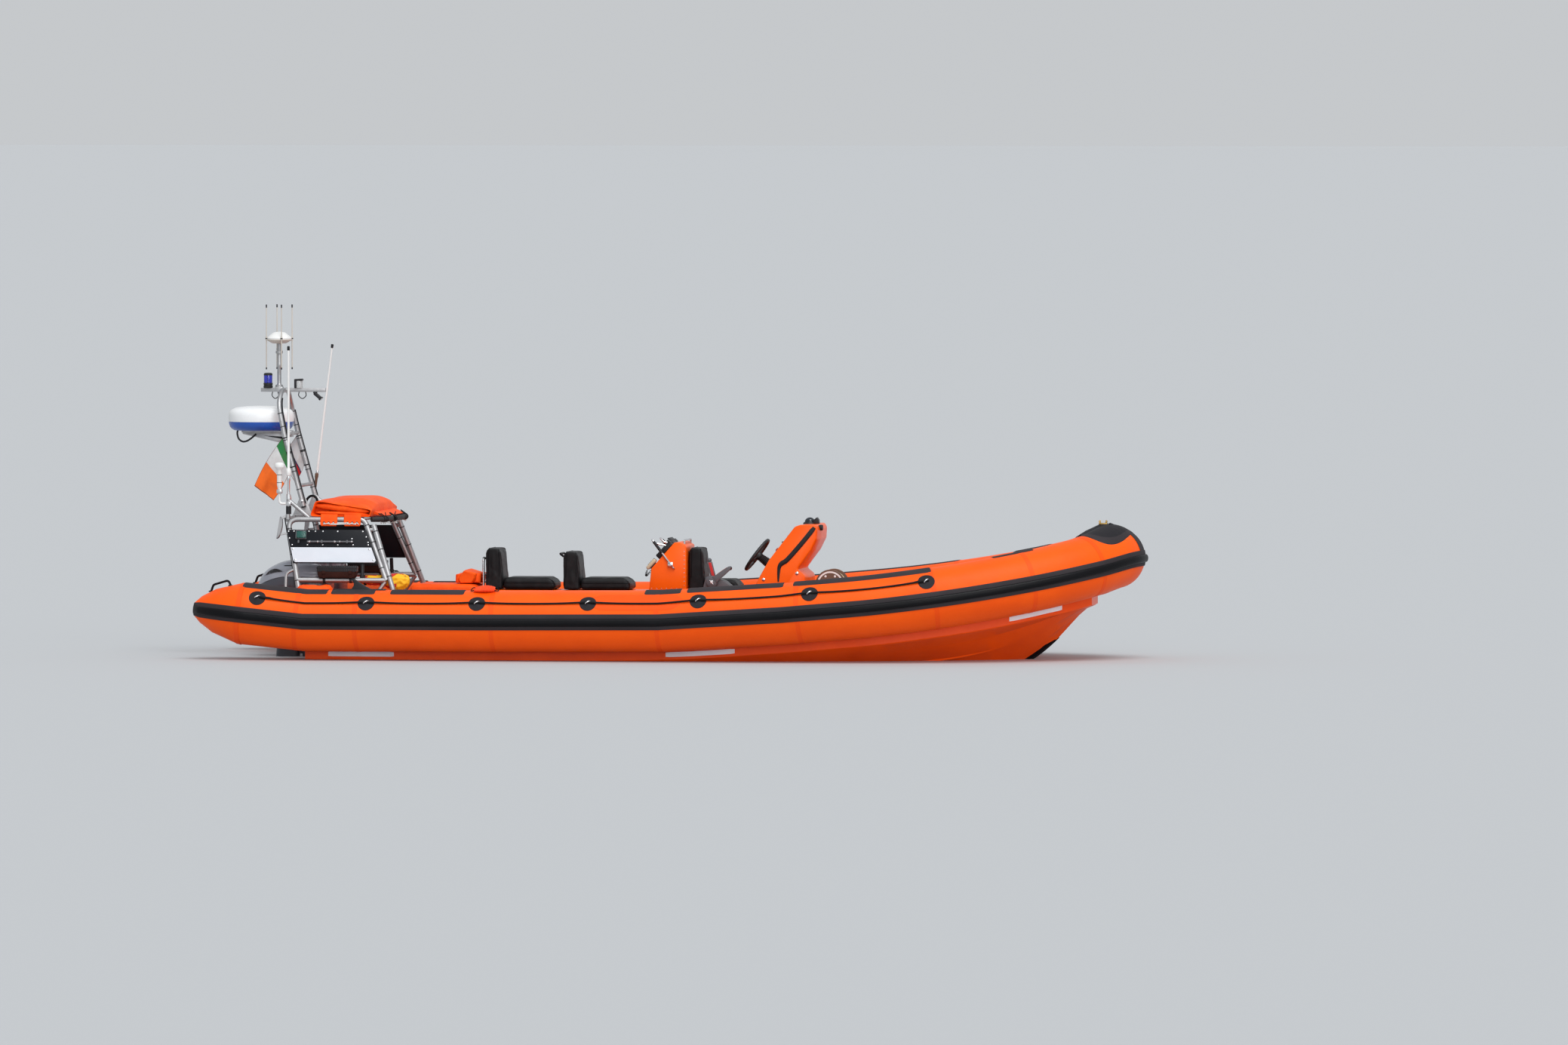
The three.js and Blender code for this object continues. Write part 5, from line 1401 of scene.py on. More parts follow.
def frameSides():
    side = lambda hand, x, z: leaning(hand, x, 0, z)
    for hand in (starboard, port):
        bm, black, metal = bmesh.new(), bmesh.new(), bmesh.new()
        y, sole, r = hand * rig["footY"], rig["sole"], rig["pipe"]
        top = side(hand, -3.455, rig["topZ"])
        pipe(bm, [(-3.330, y, sole), side(hand, -3.330, 0.620), top, side(hand, -2.757, 1.240),
                  side(hand, -2.540, 0.700)], r, 0.08, 6)
        pipe(bm, [side(hand, -2.673, 1.190), side(hand, -2.476, 0.620), (-2.440, y, sole + 0.06),
                  (-2.440, y, sole)], r, 0.09, 6)
        pipe(bm, [side(hand, -3.346, 0.700), side(hand, -2.540, 0.700)], r, 0.0, 6)
        pipe(bm, [side(hand, -2.730, 1.150), side(hand, -2.665, 1.150)], 0.018, 0.0, 5)
        pipe(bm, [side(hand, -2.545, 0.690), side(hand, -2.640, 0.560)], 0.018, 0.0, 5)
        pipe(bm, [side(hand, -3.366, 0.800), side(hand, -3.450, 0.760), side(hand, -3.450, 0.560),
                  (-3.335, y, 0.520)], 0.013, 0.06, 4)
        x, z = rig["post"]
        pipe(bm, [top, (x, hand * rig["topY"], 1.400), (x, hand * rig["topY"], z)], rig["postPipe"], 0.09, 5)
        pipe(bm, [(-3.444, hand * 0.670, 1.410), (-3.262, hand * 0.670, 1.256)], 0.018, 0.0, 5)
        for x in (-3.330, -2.440):
            lathe(bm, [(0.023, 0.001), (0.058, 0.001), (0.058, 0.008), (0.036, 0.011), (0.0245, 0.024)],
                  (x, y, sole), (0, 0, 1), 28)
            for k in range(4):
                spot = Vector((x + 0.044 * cos(k * pi / 2 + 0.8), y + 0.044 * sin(k * pi / 2 + 0.8), sole))
                rod(metal, spot + Vector((0, 0, 0.007)), spot + Vector((0, 0, 0.014)), 0.007, sides=6)
        # weld beads where the tubes meet
        for x, z, axis in ((-3.320, 0.700, (1, 0, 0)), (-2.566, 0.700, (1, 0, 0)),
                           (-2.673, 1.190, (0.33, 0, -0.94))):
            sleeve(bm, side(hand, x, z), axis, r, 0.008, 0.0025)
        aft = side(hand, -3.455, 1.240) - side(hand, -3.330, 0.620)
        fore = side(hand, -2.757, 1.240) - side(hand, -2.540, 0.700)
        brace = side(hand, -2.673, 1.190) - side(hand, -2.476, 0.620)
        for t in (0.12, 0.50, 0.86):
            sleeve(black, side(hand, -3.330, 0.620) + aft * t, aft, r, 0.007, 0.002)
        for t in (0.20, 0.62, 0.90):
            sleeve(black, side(hand, -2.540, 0.700) + fore * t, fore, r, 0.007, 0.002)
            sleeve(black, side(hand, -2.476, 0.620) + brace * t, brace, r, 0.007, 0.002)
        sleeve(black, (rig["post"][0], hand * rig["topY"], 1.322), (0, 0, 1), 0.020, 0.070, 0.004)
        for x in (-3.10, -2.86):                       # straps of the case round the lower rail
            sleeve(black, side(hand, x, 0.700), (1, 0, 0), r, 0.024, 0.0022)
        # cable clipped down the aft leg
        run = [side(hand, -3.330, 0.640) + aft * t for t in (0, 0.25, 0.5, 0.75, 0.98)]
        pipe(black, [p + Vector((-0.029, 0, 0)) for p in spring(run, 12)], 0.0055, 0.0, 2)
        name = sideNames[hand].capitalize()
        finishPiece(bm, "frameSide" + name, "boat", aluminium, "frame_aluminium",
                    ["frame_side_" + name.lower()])
        finishPiece(black, "frameTies" + name, "boat", blackPlastic, "black_plastic")
        finishPiece(metal, "frameBolts" + name, "boat", steel, "bright_steel")


def mastStep():
    bm, metal = bmesh.new(), bmesh.new()
    for x in (-3.460, -3.300):
        pipe(bm, [(x, -0.6456, 1.240), (x, 0.6456, 1.240)], rig["pipe"], 0.0, 6)
        for hand in (starboard, port):
            sleeve(bm, (x, hand * 0.643, 1.240), (0, 1, 0), rig["pipe"], 0.005, 0.002)
    outline = [(-3.480, 1.240), (-3.280, 1.240), (-3.300, 1.290), (-3.350, 1.416), (-3.364, 1.430),
               (-3.396, 1.430), (-3.410, 1.416), (-3.460, 1.290)]
    for hand in (starboard, port):
        y0, y1 = sorted((hand * 0.322, hand * 0.332))
        plate(bm, outline, y0, y1, 0.002, 2, ends=False)
        y0, y1 = sorted((hand * 0.326, hand * 0.346))
        block(bm, (-3.470, y0, 1.262), (-3.290, y1, 1.270), 0.002, 1)
        lathe(metal, [(0.0115, -0.001), (0.019, 0), (0.019, 0.006), (0.0115, 0.007)],
              (-3.380, hand * 0.3215, 1.396), (0, -hand, 0), 24)
    finishPiece(bm, "mastStep", "boat", aluminium, "frame_aluminium", ["mast_step"])
    finishPiece(metal, "mastStepBolts", "boat", steel, "bright_steel")
    bm = bmesh.new()                                   # cable loop from the crossbar to the mast foot
    pipe(bm, spring([(-3.300, -0.250, 1.262), (-3.352, -0.250, 1.320), (-3.362, -0.250, 1.385),
                     (-3.332, -0.248, 1.430), (-3.292, -0.245, 1.436), (-3.263, -0.242, 1.403),
                     (-3.258, -0.240, 1.345), (-3.290, -0.236, 1.268)], 40), 0.011, 0.0, 3)
    finishPiece(bm, "mastCable", "boat", blackRubber, "black_plastic")


def frontHoop():
    bm, lacing, white = bmesh.new(), bmesh.new(), bmesh.new()
    end = rig["topY"] - 0.031
    run = [(-2.700, end), (-2.600, 0.560), (-2.550, 0.300)]
    run = [(x, -y, rig["topZ"]) for x, y in run] + [(x, y, rig["topZ"]) for x, y in reversed(run)]
    long = spring(bent(run, 0.3, 10), 70)
    widths = [0.0225 + 0.0014 * abs(sin(i * pi / 5)) for i in range(len(long))]
    pipe(bm, long, widths, 0.0, 6)
    for i in range(9, 61, 4):                          # lacing from the hoop up through the bag's skirt
        at, further = long[i], long[min(i + 2, 70)]
        pipe(lacing, [at + Vector((0.018, 0, 0.012)), at + Vector((-0.004, 0, 0.028)),
                      (at.x - 0.040, further.y, 1.292)], 0.0046, 0.0, 2)
        sleeve(lacing, at, (0, 1, 0) if abs(at.y) < 0.4 else (0.5, 0.8, 0), 0.0235, 0.010, 0.003, 16)
    run = [long[5 + i] + Vector((0.010 * cos(i * pi / 2), 0, -0.030 - 0.010 * sin(i * pi / 2)))
           for i in range(61)]
    pipe(white, run, 0.003, 0.0, 1)
    finishPiece(bm, "frontHoop", "boat", hoopCover, "strake_rubber", ["frame_front_hoop"])
    finishPiece(lacing, "hoopLacing", "boat", blackCord, "rope_fibre")
    finishPiece(white, "hoopLace", "boat", whiteCord, "rope_fibre")


hoopCover = cloth("hoopCover", (0.012, 0.012, 0.013), (0.024, 0.024, 0.025), 0.62, 0.002)
whiteCord = cloth("whiteCord", (0.66, 0.65, 0.62), (0.45, 0.44, 0.42), 0.75, 0.003)
frameSides()
mastStep()
frontHoop()


def sidePlates():
    for hand in (starboard, port):
        name = sideNames[hand]
        bm, rivets, board, housing, glass, grey = [bmesh.new() for _ in range(6)]
        inner, outer = rig["plateOut"]
        leaned(hand, plate, bm, rig["plate"], inner, outer, 0.0015, 2, ends=False)
        leaned(hand, plate, board, rig["board"], outer + 0.0002, outer + 0.0045, 0.001, 1, ends=False)
        out = Vector((0, hand * cos(rig["lean"]), sin(rig["lean"])))
        dome = [(0.0072, -0.001), (0.0070, 0.001), (0.0045, 0.0030), (0, 0.0036)]
        spots = [(x, 1.127) for x in (-3.437, -3.388, -3.253, -3.194, -3.126, -2.992, -2.764)]
        spots += [(-3.400 + 0.138 * i, 1.008) for i in range(6)]
        spots += [(-2.750 + 0.0185 * i, 1.127 - 0.048 * i) for i in range(1, 3)]
        for x, z in spots + [(-3.427, 1.066), (-2.86, 1.062)]:
            lathe(rivets, dome, leaning(hand, x, outer, z), out, 14)
        for x, z in ((-3.390, 0.968), (-2.698, 0.968), (-3.366, 0.872), (-2.658, 0.872)):
            lathe(rivets, [(0.0085, -0.001), (0.0085, 0.002), (0.005, 0.0035), (0, 0.0035)],
                  leaning(hand, x, outer + 0.0045, z), out, 16)
        x0, x1, z0, z1 = rig["lamp"]
        leaned(hand, block, housing, (x0, outer + 0.0004, z0), (x1, outer + 0.022, z1), 0.005, 2)
        leaned(hand, block, housing, (x0 - 0.001, outer + 0.004, z1 - 0.008),
               (x1 + 0.001, outer + 0.043, z1 + 0.001), 0.003, 2)
        leaned(hand, block, housing, (x0, outer + 0.004, z0), (x0 + 0.008, outer + 0.041, z1), 0.002, 1)
        leaned(hand, block, glass, (x0 + 0.007, outer + 0.016, z0 + 0.006),
               (x1 - 0.002, outer + 0.0415, z1 - 0.007), 0.008, 3)
        # thin pole in clips along the plate
        for x in (-3.34, -3.13, -2.90):
            leaned(hand, block, housing, (x - 0.008, outer, 1.020), (x + 0.008, outer + 0.026, 1.046), 0.003)
        pole, poleZ, radius = outer + 0.015, 1.033, 0.0085
        rod(housing, leaning(hand, -3.262, pole, poleZ), leaning(hand, -2.845, pole, poleZ), radius)
        for x, wide in ((-3.240, 0.016), (-3.165, 0.010), (-3.010, 0.014), (-2.965, 0.008), (-2.856, 0.012)):
            sleeve(rivets, leaning(hand, x, pole, poleZ), (1, 0, 0), radius, wide, 0.002, 16)
        # bracket at the aft corner: a dished plate on arms from the corner
        rings = []
        for i in range(17):
            t = i / 16
            aft, z = -3.552 + 0.026 * t, 1.068 + 0.190 * t
            fore = aft + 0.012 + 0.026 * sin(pi * t) ** 0.5
            rings.append([leaning(hand, aft, -0.012, z), leaning(hand, aft + 0.004, 0.026, z),
                          leaning(hand, fore, 0.030, z), leaning(hand, fore + 0.003, 0.012, z),
                          leaning(hand, fore, -0.012, z)])
        sheetOf(grey, rings, closed=True, capped=True)
        leaned(hand, plate, grey, [(-3.524, 1.238), (-3.518, 1.250), (-3.448, 1.292), (-3.440, 1.270),
                                   (-3.505, 1.236)], 0.004, 0.012, 0.0015, 1)
        leaned(hand, plate, grey, [(-3.547, 1.090), (-3.440, 1.108), (-3.440, 1.122), (-3.541, 1.112)],
               0.004, 0.010, 0.0015, 1)
        words = name.capitalize()
        finishPiece(bm, "sidePlate" + words, "boat", sidePanel, "black_plastic", ["side_plate_" + name])
        finishPiece(rivets, "plateRivets" + words, "boat", steel, "bright_steel")
        finishPiece(board, "nameBoard" + words, "boat", boardWhite, "white_plastic")
        finishPiece(housing, "navHousing" + words, "boat", greyPlastic, "black_plastic",
                    ["nav_light_" + name])
        lensFinish, slot = (greenGlass, "green_lens") if hand == starboard else (redGlass, "red_lens")
        finishPiece(glass, "navLens" + words, "boat", lensFinish, slot)
        finishPiece(grey, "cornerBracket" + words, "boat", aluminium, "frame_aluminium")


sidePanel = speckled("sidePanel", (0.004, 0.005, 0.008), (0.008, 0.009, 0.013), 0.40, 0.0015, 0.0004,
                     shine=0.2)
boardWhite = speckled("boardWhite", (0.72, 0.76, 0.82), (0.56, 0.60, 0.66), 0.30, 0.004, 0.0001, 0.4)
sidePlates()


def equipmentCases():
    for hand in (starboard, port):
        body, bm, strap = bmesh.new(), bmesh.new(), bmesh.new()
        y0, y1 = sorted((hand * 0.735, hand * 0.845))
        x0, x1, z0, z1 = -3.165, -2.800, 0.7244, 0.830
        # tapered soft case under a ribbed lid
        rings = []
        for z, narrow in ((z0, 0.020), (z0 + 0.004, 0.016), (z0 + 0.020, 0.011), (z0 + 0.060, 0.004),
                          (z0 + 0.074, 0.006), (z0 + 0.075, 0.012)):
            rings.append([Vector((x, y, z)) for x, y in (
                (x0 + narrow, y0 + narrow / 2 + 0.012), (x0 + narrow + 0.012, y0 + narrow / 2),
                (x1 - narrow - 0.012, y0 + narrow / 2), (x1 - narrow, y0 + narrow / 2 + 0.012),
                (x1 - narrow, y1 - narrow / 2 - 0.012), (x1 - narrow - 0.012, y1 - narrow / 2),
                (x0 + narrow + 0.012, y1 - narrow / 2), (x0 + narrow, y1 - narrow / 2 - 0.012))])
        sheetOf(body, rings, closed=True, capped=True)
        block(bm, (x0 + 0.001, y0 + 0.001, z0 + 0.074), (x1 - 0.001, y1 - 0.001, z1 - 0.002), 0.007, 3)
        block(bm, (x0 + 0.004, y0 + 0.002, z0 + 0.050), (x1 - 0.004, y1 - 0.002, z0 + 0.078), 0.004, 2)
        for i in range(17):
            x = x0 + 0.020 + i * (x1 - x0 - 0.040) / 16
            block(bm, (x - 0.0045, y0, z0 + 0.054), (x + 0.0045, y1, z1), 0.002, 1)
        for x in (-3.10, -2.86):
            block(strap, (x - 0.012, y0 + 0.003, z0 - 0.004), (x + 0.012, y1 - 0.003, z0 + 0.078), 0.004, 2)
            middle = (y0 + y1) / 2 + hand * 0.054
            block(strap, (x - 0.016, middle - 0.006, 0.758), (x + 0.016, middle + 0.002, 0.786), 0.002, 1)
        # short black post
        rod(bm, leaning(hand, -2.760, 0, 0.722), leaning(hand, -2.760, 0, 0.846), 0.0165)
        sleeve(bm, leaning(hand, -2.760, 0, 0.735), (0, 0, 1), 0.0165, 0.020, 0.004, 20)
        name = sideNames[hand]
        finishPiece(body, "equipmentCase" + name.capitalize(), "boat", webbing, "black_plastic",
                    ["equipment_case_" + name])
        finishPiece(bm, "caseLid" + name.capitalize(), "boat", blackPlastic, "black_plastic")
        finishPiece(strap, "caseStraps" + name.capitalize(), "boat", webbing, "rope_fibre")


webbing = cloth("webbing", (0.036, 0.010, 0.006), (0.020, 0.007, 0.005), 0.7, 0.002, shine=0.2)
equipmentCases()

bag = {
    # the wrap's section amidships and at its ends, as (x, z)
    "middle": [(-3.190, 1.2648), (-2.770, 1.2648), (-2.702, 1.268), (-2.686, 1.298), (-2.690, 1.348),
               (-2.718, 1.388), (-2.830, 1.424), (-3.020, 1.422), (-3.150, 1.416), (-3.206, 1.394),
               (-3.228, 1.345), (-3.228, 1.285)],
    "end": [(-3.190, 1.2648), (-2.770, 1.2648), (-2.716, 1.266), (-2.702, 1.290), (-2.701, 1.322),
            (-2.762, 1.338), (-2.890, 1.358), (-3.040, 1.382), (-3.160, 1.402), (-3.206, 1.396),
            (-3.226, 1.345), (-3.244, 1.276)],
    "half": 0.684, "centre": (-2.960, 1.335), "wrinkle": 0.0055,
    # folds tucked into each end: aft x, fore x, z aft, z fore, thickness
    "folds": [(-3.212, -2.722, 1.366, 1.312, 0.058), (-3.200, -2.722, 1.302, 1.284, 0.036)],
    "flaps": [(-3.153, -3.000), (-2.941, -2.786)], "flapFoot": 1.176, "eyeletZ": 1.2060, "eyeletStep": 0.043,
}


def bagRing(y, inset):
    depth = min(1, max(0, (bag["half"] - abs(y)) / 0.26)) ** 0.7
    points = [Vector((a, 0, b)).lerp(Vector((c, 0, d)), depth)
              for (a, b), (c, d) in zip(bag["end"], bag["middle"])]
    x0, z0 = bag["centre"]
    ring = []
    for p in spring(points + points[:1], 72)[:-1]:
        long = noise.noise(Vector((p.x * 5, y * 3.2, p.z * 6)))
        short = noise.noise(Vector((p.x * 17, y * 30, p.z * 9))) * (1.4 - depth)
        lift = bag["wrinkle"] * (long + 0.45 * short) * min(1, (p.z - 1.2648) / 0.04)
        p = p + (p - Vector((x0, 0, z0))).normalized() * lift
        ring.append(Vector((x0 + (p.x - x0) * (1 - inset / 0.27), y, z0 + (p.z - z0) * (1 - inset / 0.08))))
    return ring


def bagFold(bm, hand, aft, fore, aftZ, foreZ, thick, seed):
    rings = []
    for i in range(49):
        t = i / 48
        x, z = aft + (fore - aft) * t, aftZ + (foreZ - aftZ) * t
        pinch = max(0.05, 1 - abs(2 * t - 1) ** 3.4) ** 0.55
        ring = []
        for k in range(36):
            wide, high = cos(2 * pi * k / 36), sin(2 * pi * k / 36)
            y = 0.622 + 0.058 * abs(wide) ** 0.55 * (1 if wide > 0 else -1) * (0.45 + 0.55 * pinch)
            crease = noise.noise(Vector((x * 8, y * 9, seed)))
            fine = noise.noise(Vector((x * 30, high * 2, seed + 3)))
            y += 0.005 * crease + 0.0015 * fine
            rise = thick / 2 * abs(high) ** 0.8 * (1 if high > 0 else -1) * pinch
            height = max(z + rise + 0.006 * crease + 0.002 * fine, 1.266)
            ring.append(Vector((x, hand * min(y, 0.682), height)))
        rings.append(ring)
    sheetOf(bm, rings, closed=True, capped=True)


def bagFlap(hand, x0, x1, word):
    # Hangs from the foot of the bag over the rail, its lower corners rounded
    centre, half, rings = (x0 + x1) / 2, (x1 - x0) / 2, []
    run = spring([(0.011, 0, 1.288), (0.0225, 0, 1.275), (0.0275, 0, 1.252), (0.0275, 0, 1.222),
                  (0.0268, 0, bag["flapFoot"])], 20)
    for row, p in enumerate(run):
        drawn = half * (1 - 0.12 * max(0, (row - 16) / 4) ** 3)
        ring = []
        for i in range(17):
            x = centre + drawn * (i / 8 - 1)
            slack = 0.0016 * noise.noise(Vector((x * 20, p.z * 14, hand))) * row / 20
            ring.append(leaning(hand, x, p.x + slack, p.z))
        rings.append(ring)
    length = sum((b[8] - a[8]).length for a, b in zip(rings, rings[1:]))
    bm = bmesh.new()
    sheetOf(bm, rings)
    words = sideNames[hand].capitalize()
    sheet = finishPiece(bm, "bagFlap" + word + words, "boat", orangeCloth, "orange_cloth", recalc=False)
    thicken = sheet.modifiers.new("thickness", "SOLIDIFY")
    thicken.thickness = 0.0018
    thicken.offset = 0


def rightingBag():
    bm, lace, eyelets = [bmesh.new() for _ in range(3)]
    mouth = [(0.590, 0.020), (0.655, 0.015), (0.677, 0.010), (0.6835, 0.004), (0.682, 0.0005)]   # y, inset
    rows = [(-y, inset) for y, inset in mouth] + [(-0.672 + 1.344 * i / 76, 0) for i in range(77)]
    rows += [(y, inset) for y, inset in reversed(mouth)]
    sheetOf(bm, [bagRing(y, inset) for y, inset in rows], closed=True, capped=True)
    for hand in (starboard, port):
        for seed, row in enumerate(bag["folds"]):
            bagFold(bm, hand, *row, 4.0 * seed + hand)
    skirt = []                                         # drawn down to the hoop
    for i in range(41):
        y = -0.54 + 1.08 * i / 40
        hoopX = -2.552 - 0.19 * max(0, abs(y) - 0.30)
        slack = 0.004 * noise.noise(Vector((y * 9, 1.7, 0)))
        skirt.append([Vector((-2.712, y, 1.322)), Vector((-2.684, y, 1.306 + slack)),
                      Vector(((hoopX - 2.69) / 2, y, 1.288 + slack)), Vector((hoopX - 0.022, y, 1.272)),
                      Vector((hoopX - 0.026, y, 1.268)), Vector((-2.700, y, 1.286))])
    sheetOf(bm, skirt, closed=True, capped=True)
    piece = finishPiece(bm, "rightingBag", "boat", orangeCloth, "orange_cloth", ["righting_bag"], 60)
    for hand in (starboard, port):
        out = Vector((0, hand * cos(rig["lean"]), sin(rig["lean"])))
        spots = []
        for (x0, x1), word in zip(bag["flaps"], ("Aft", "Fore")):
            bagFlap(hand, x0, x1, word)
            spots += [((x0 + x1) / 2 + k * bag["eyeletStep"], bag["eyeletZ"]) for k in (-1, 0, 1)]
        for x, z in spots:
            lathe(eyelets, [(0.0105, -0.001), (0.0100, 0.0022), (0.0060, 0.0026), (0, 0.0020)],
                  leaning(hand, x, 0.0282, z), out, 20)
        run = []
        for index, (x, z) in enumerate(spots):
            run += [(x, 0.0300, z - 0.001), (x + 0.003, 0.0350, z - 0.007),
                    (x + 0.019, 0.0330, z - 0.013 - 0.003 * (index % 2))]
        run = [leaning(hand, x, reach, z) for x, reach, z in run]
        pipe(lace, spring(run, 90), 0.0042, 0.0, 2)
        second = [leaning(hand, x - 0.006, 0.0350 + 0.002 * (k % 2), 1.192 + 0.004 * sin(k * 2.1))
                  for k, (x, z) in enumerate(spots)]
        pipe(lace, spring(second, 40), 0.0040, 0.0, 2)
    finishPiece(lace, "bagLace", "boat", whiteCord, "rope_fibre")
    finishPiece(eyelets, "bagEyelets", "boat", blackPlastic, "black_plastic")


rightingBag()


# Aerials on the corner posts
def aerials():
    bm, bases, thin, brown, tips, mushroom = [bmesh.new() for _ in range(6)]
    x, z = rig["post"]
    up, foot = (0, 0, 1), (x, -0.670, z + 0.0004)
    lathe(bm, [(0.017, 0.188), (0.0215, 0.196), (0.0215, 0.240), (0.017, 0.250), (0.0118, 0.262),
               (0.0115, 0.40), (0.0095, 1.300), (0.0105, 1.315)], foot, up, 24)
    lathe(bases, [(0, 0), (0.021, 0), (0.021, 0.020), (0.0125, 0.028), (0.0120, 0.140), (0.0155, 0.146),
                  (0.0155, 0.184), (0.013, 0.190)], foot, up, 24)
    lathe(tips, [(0.0105, 1.310), (0.0125, 1.314), (0.0125, 1.344), (0.007, 1.350), (0, 1.350)], foot, up, 20)
    lean, foot = (sin(radians(7)), 0, cos(radians(7))), (x, 0.670, z + 0.003)
    lathe(thin, [(0.0115, 0.196), (0.0105, 0.50), (0.0080, 1.320)], foot, lean, 20)
    lathe(bases, [(0, 0), (0.020, 0), (0.020, 0.016), (0.012, 0.022), (0.011, 0.062)], foot, lean, 24)
    lathe(bases, [(0.010, 0.172), (0.0135, 0.176), (0.0135, 0.190), (0.012, 0.198)], foot, lean, 24)
    lathe(brown, [(0.0110, 0.040), (0.0125, 0.060), (0.0135, 0.130), (0.0165, 0.136), (0.0165, 0.168),
                  (0.012, 0.174)], foot, lean, 24)
    lathe(tips, [(0.0080, 1.312), (0.0120, 1.318), (0.0120, 1.346), (0, 1.350)], foot, lean, 16)
    lathe(mushroom, [(0, 0.062), (0.012, 0.064), (0.0215, 0.100), (0.0225, 0.110), (0.0225, 0.236),
                     (0.025, 0.244), (0.042, 0.262), (0.044, 0.270), (0.0436, 0.290), (0.038, 0.301),
                     (0.026, 0.308), (0, 0.310)], (-3.530, -0.670, 1.440), up, 36)
    for rise in (0.128, 0.198):
        sleeve(tips, (-3.530, -0.670, 1.440 + rise), up, 0.0225, 0.005, 0.0008, 28)
    pipe(mushroom, [(-3.530, -0.670, 1.520), (-3.530, -0.670, 1.380), (-3.4690, -0.670, 1.380)],
         0.0115, 0.04, 5)
    block(bases, (-3.554, -0.694, 1.470), (-3.504, -0.646, 1.508), 0.008, 3)
    block(bases, (-3.4690, -0.690, 1.360), (-3.424, -0.650, 1.400), 0.006, 3)
    sleeve(bases, (x, -0.670, 1.430), up, 0.020, 0.022, 0.005, 28)
    finishPiece(bm, "whipStarboard", "boat", whitePlastic, "white_plastic", ["whip_starboard"])
    finishPiece(thin, "whipPort", "boat", whitePlastic, "white_plastic", ["whip_port"])
    finishPiece(bases, "whipBases", "boat", steel, "bright_steel")
    finishPiece(brown, "whipFerrule", "boat", reelBrown, "reel_brown")
    finishPiece(tips, "whipTips", "boat", blackPlastic, "black_plastic")
    finishPiece(mushroom, "satelliteAerial", "boat", whitePlastic, "white_plastic", ["gps_antenna"])


aerials()
print("frame, bag and aerials built")

mast = {
    "hinge": (-3.380, 0, 1.396), "legY": 0.360, "pipe": 0.022,
    "legs": [(-3.366, 0.360, 1.345), (-3.380, 0.360, 1.396), (-3.545, 0.350, 1.997), (-3.600, 0.320, 2.250),
             (-3.600, 0.180, 2.380)],
    "head": (-3.816, -3.225, 2.365, 2.400), "finderX": -3.650,
    "radomeAt": (-3.815, 0, 2.0184), "bandZ": 2.0965, "finderTurn": 20, "finderReach": 0.117,
    "lean": atan2(0.165, 0.601), "legAxis": (-0.265, 0, 0.964),
}


def legX(z):
    return mast["hinge"][0] - (z - mast["hinge"][2]) * tan(mast["lean"])


def legSpot(hand, z):
    # The place on a leg's axis at a height, between its second and fourth points
    hinge, knee, top = [Vector(p) for p in mast["legs"][1:4]]
    low, high = (hinge, knee) if z < knee.z else (knee, top)
    at = low.lerp(high, (z - low.z) / (high.z - low.z))
    return Vector((at.x, hand * at.y, z))


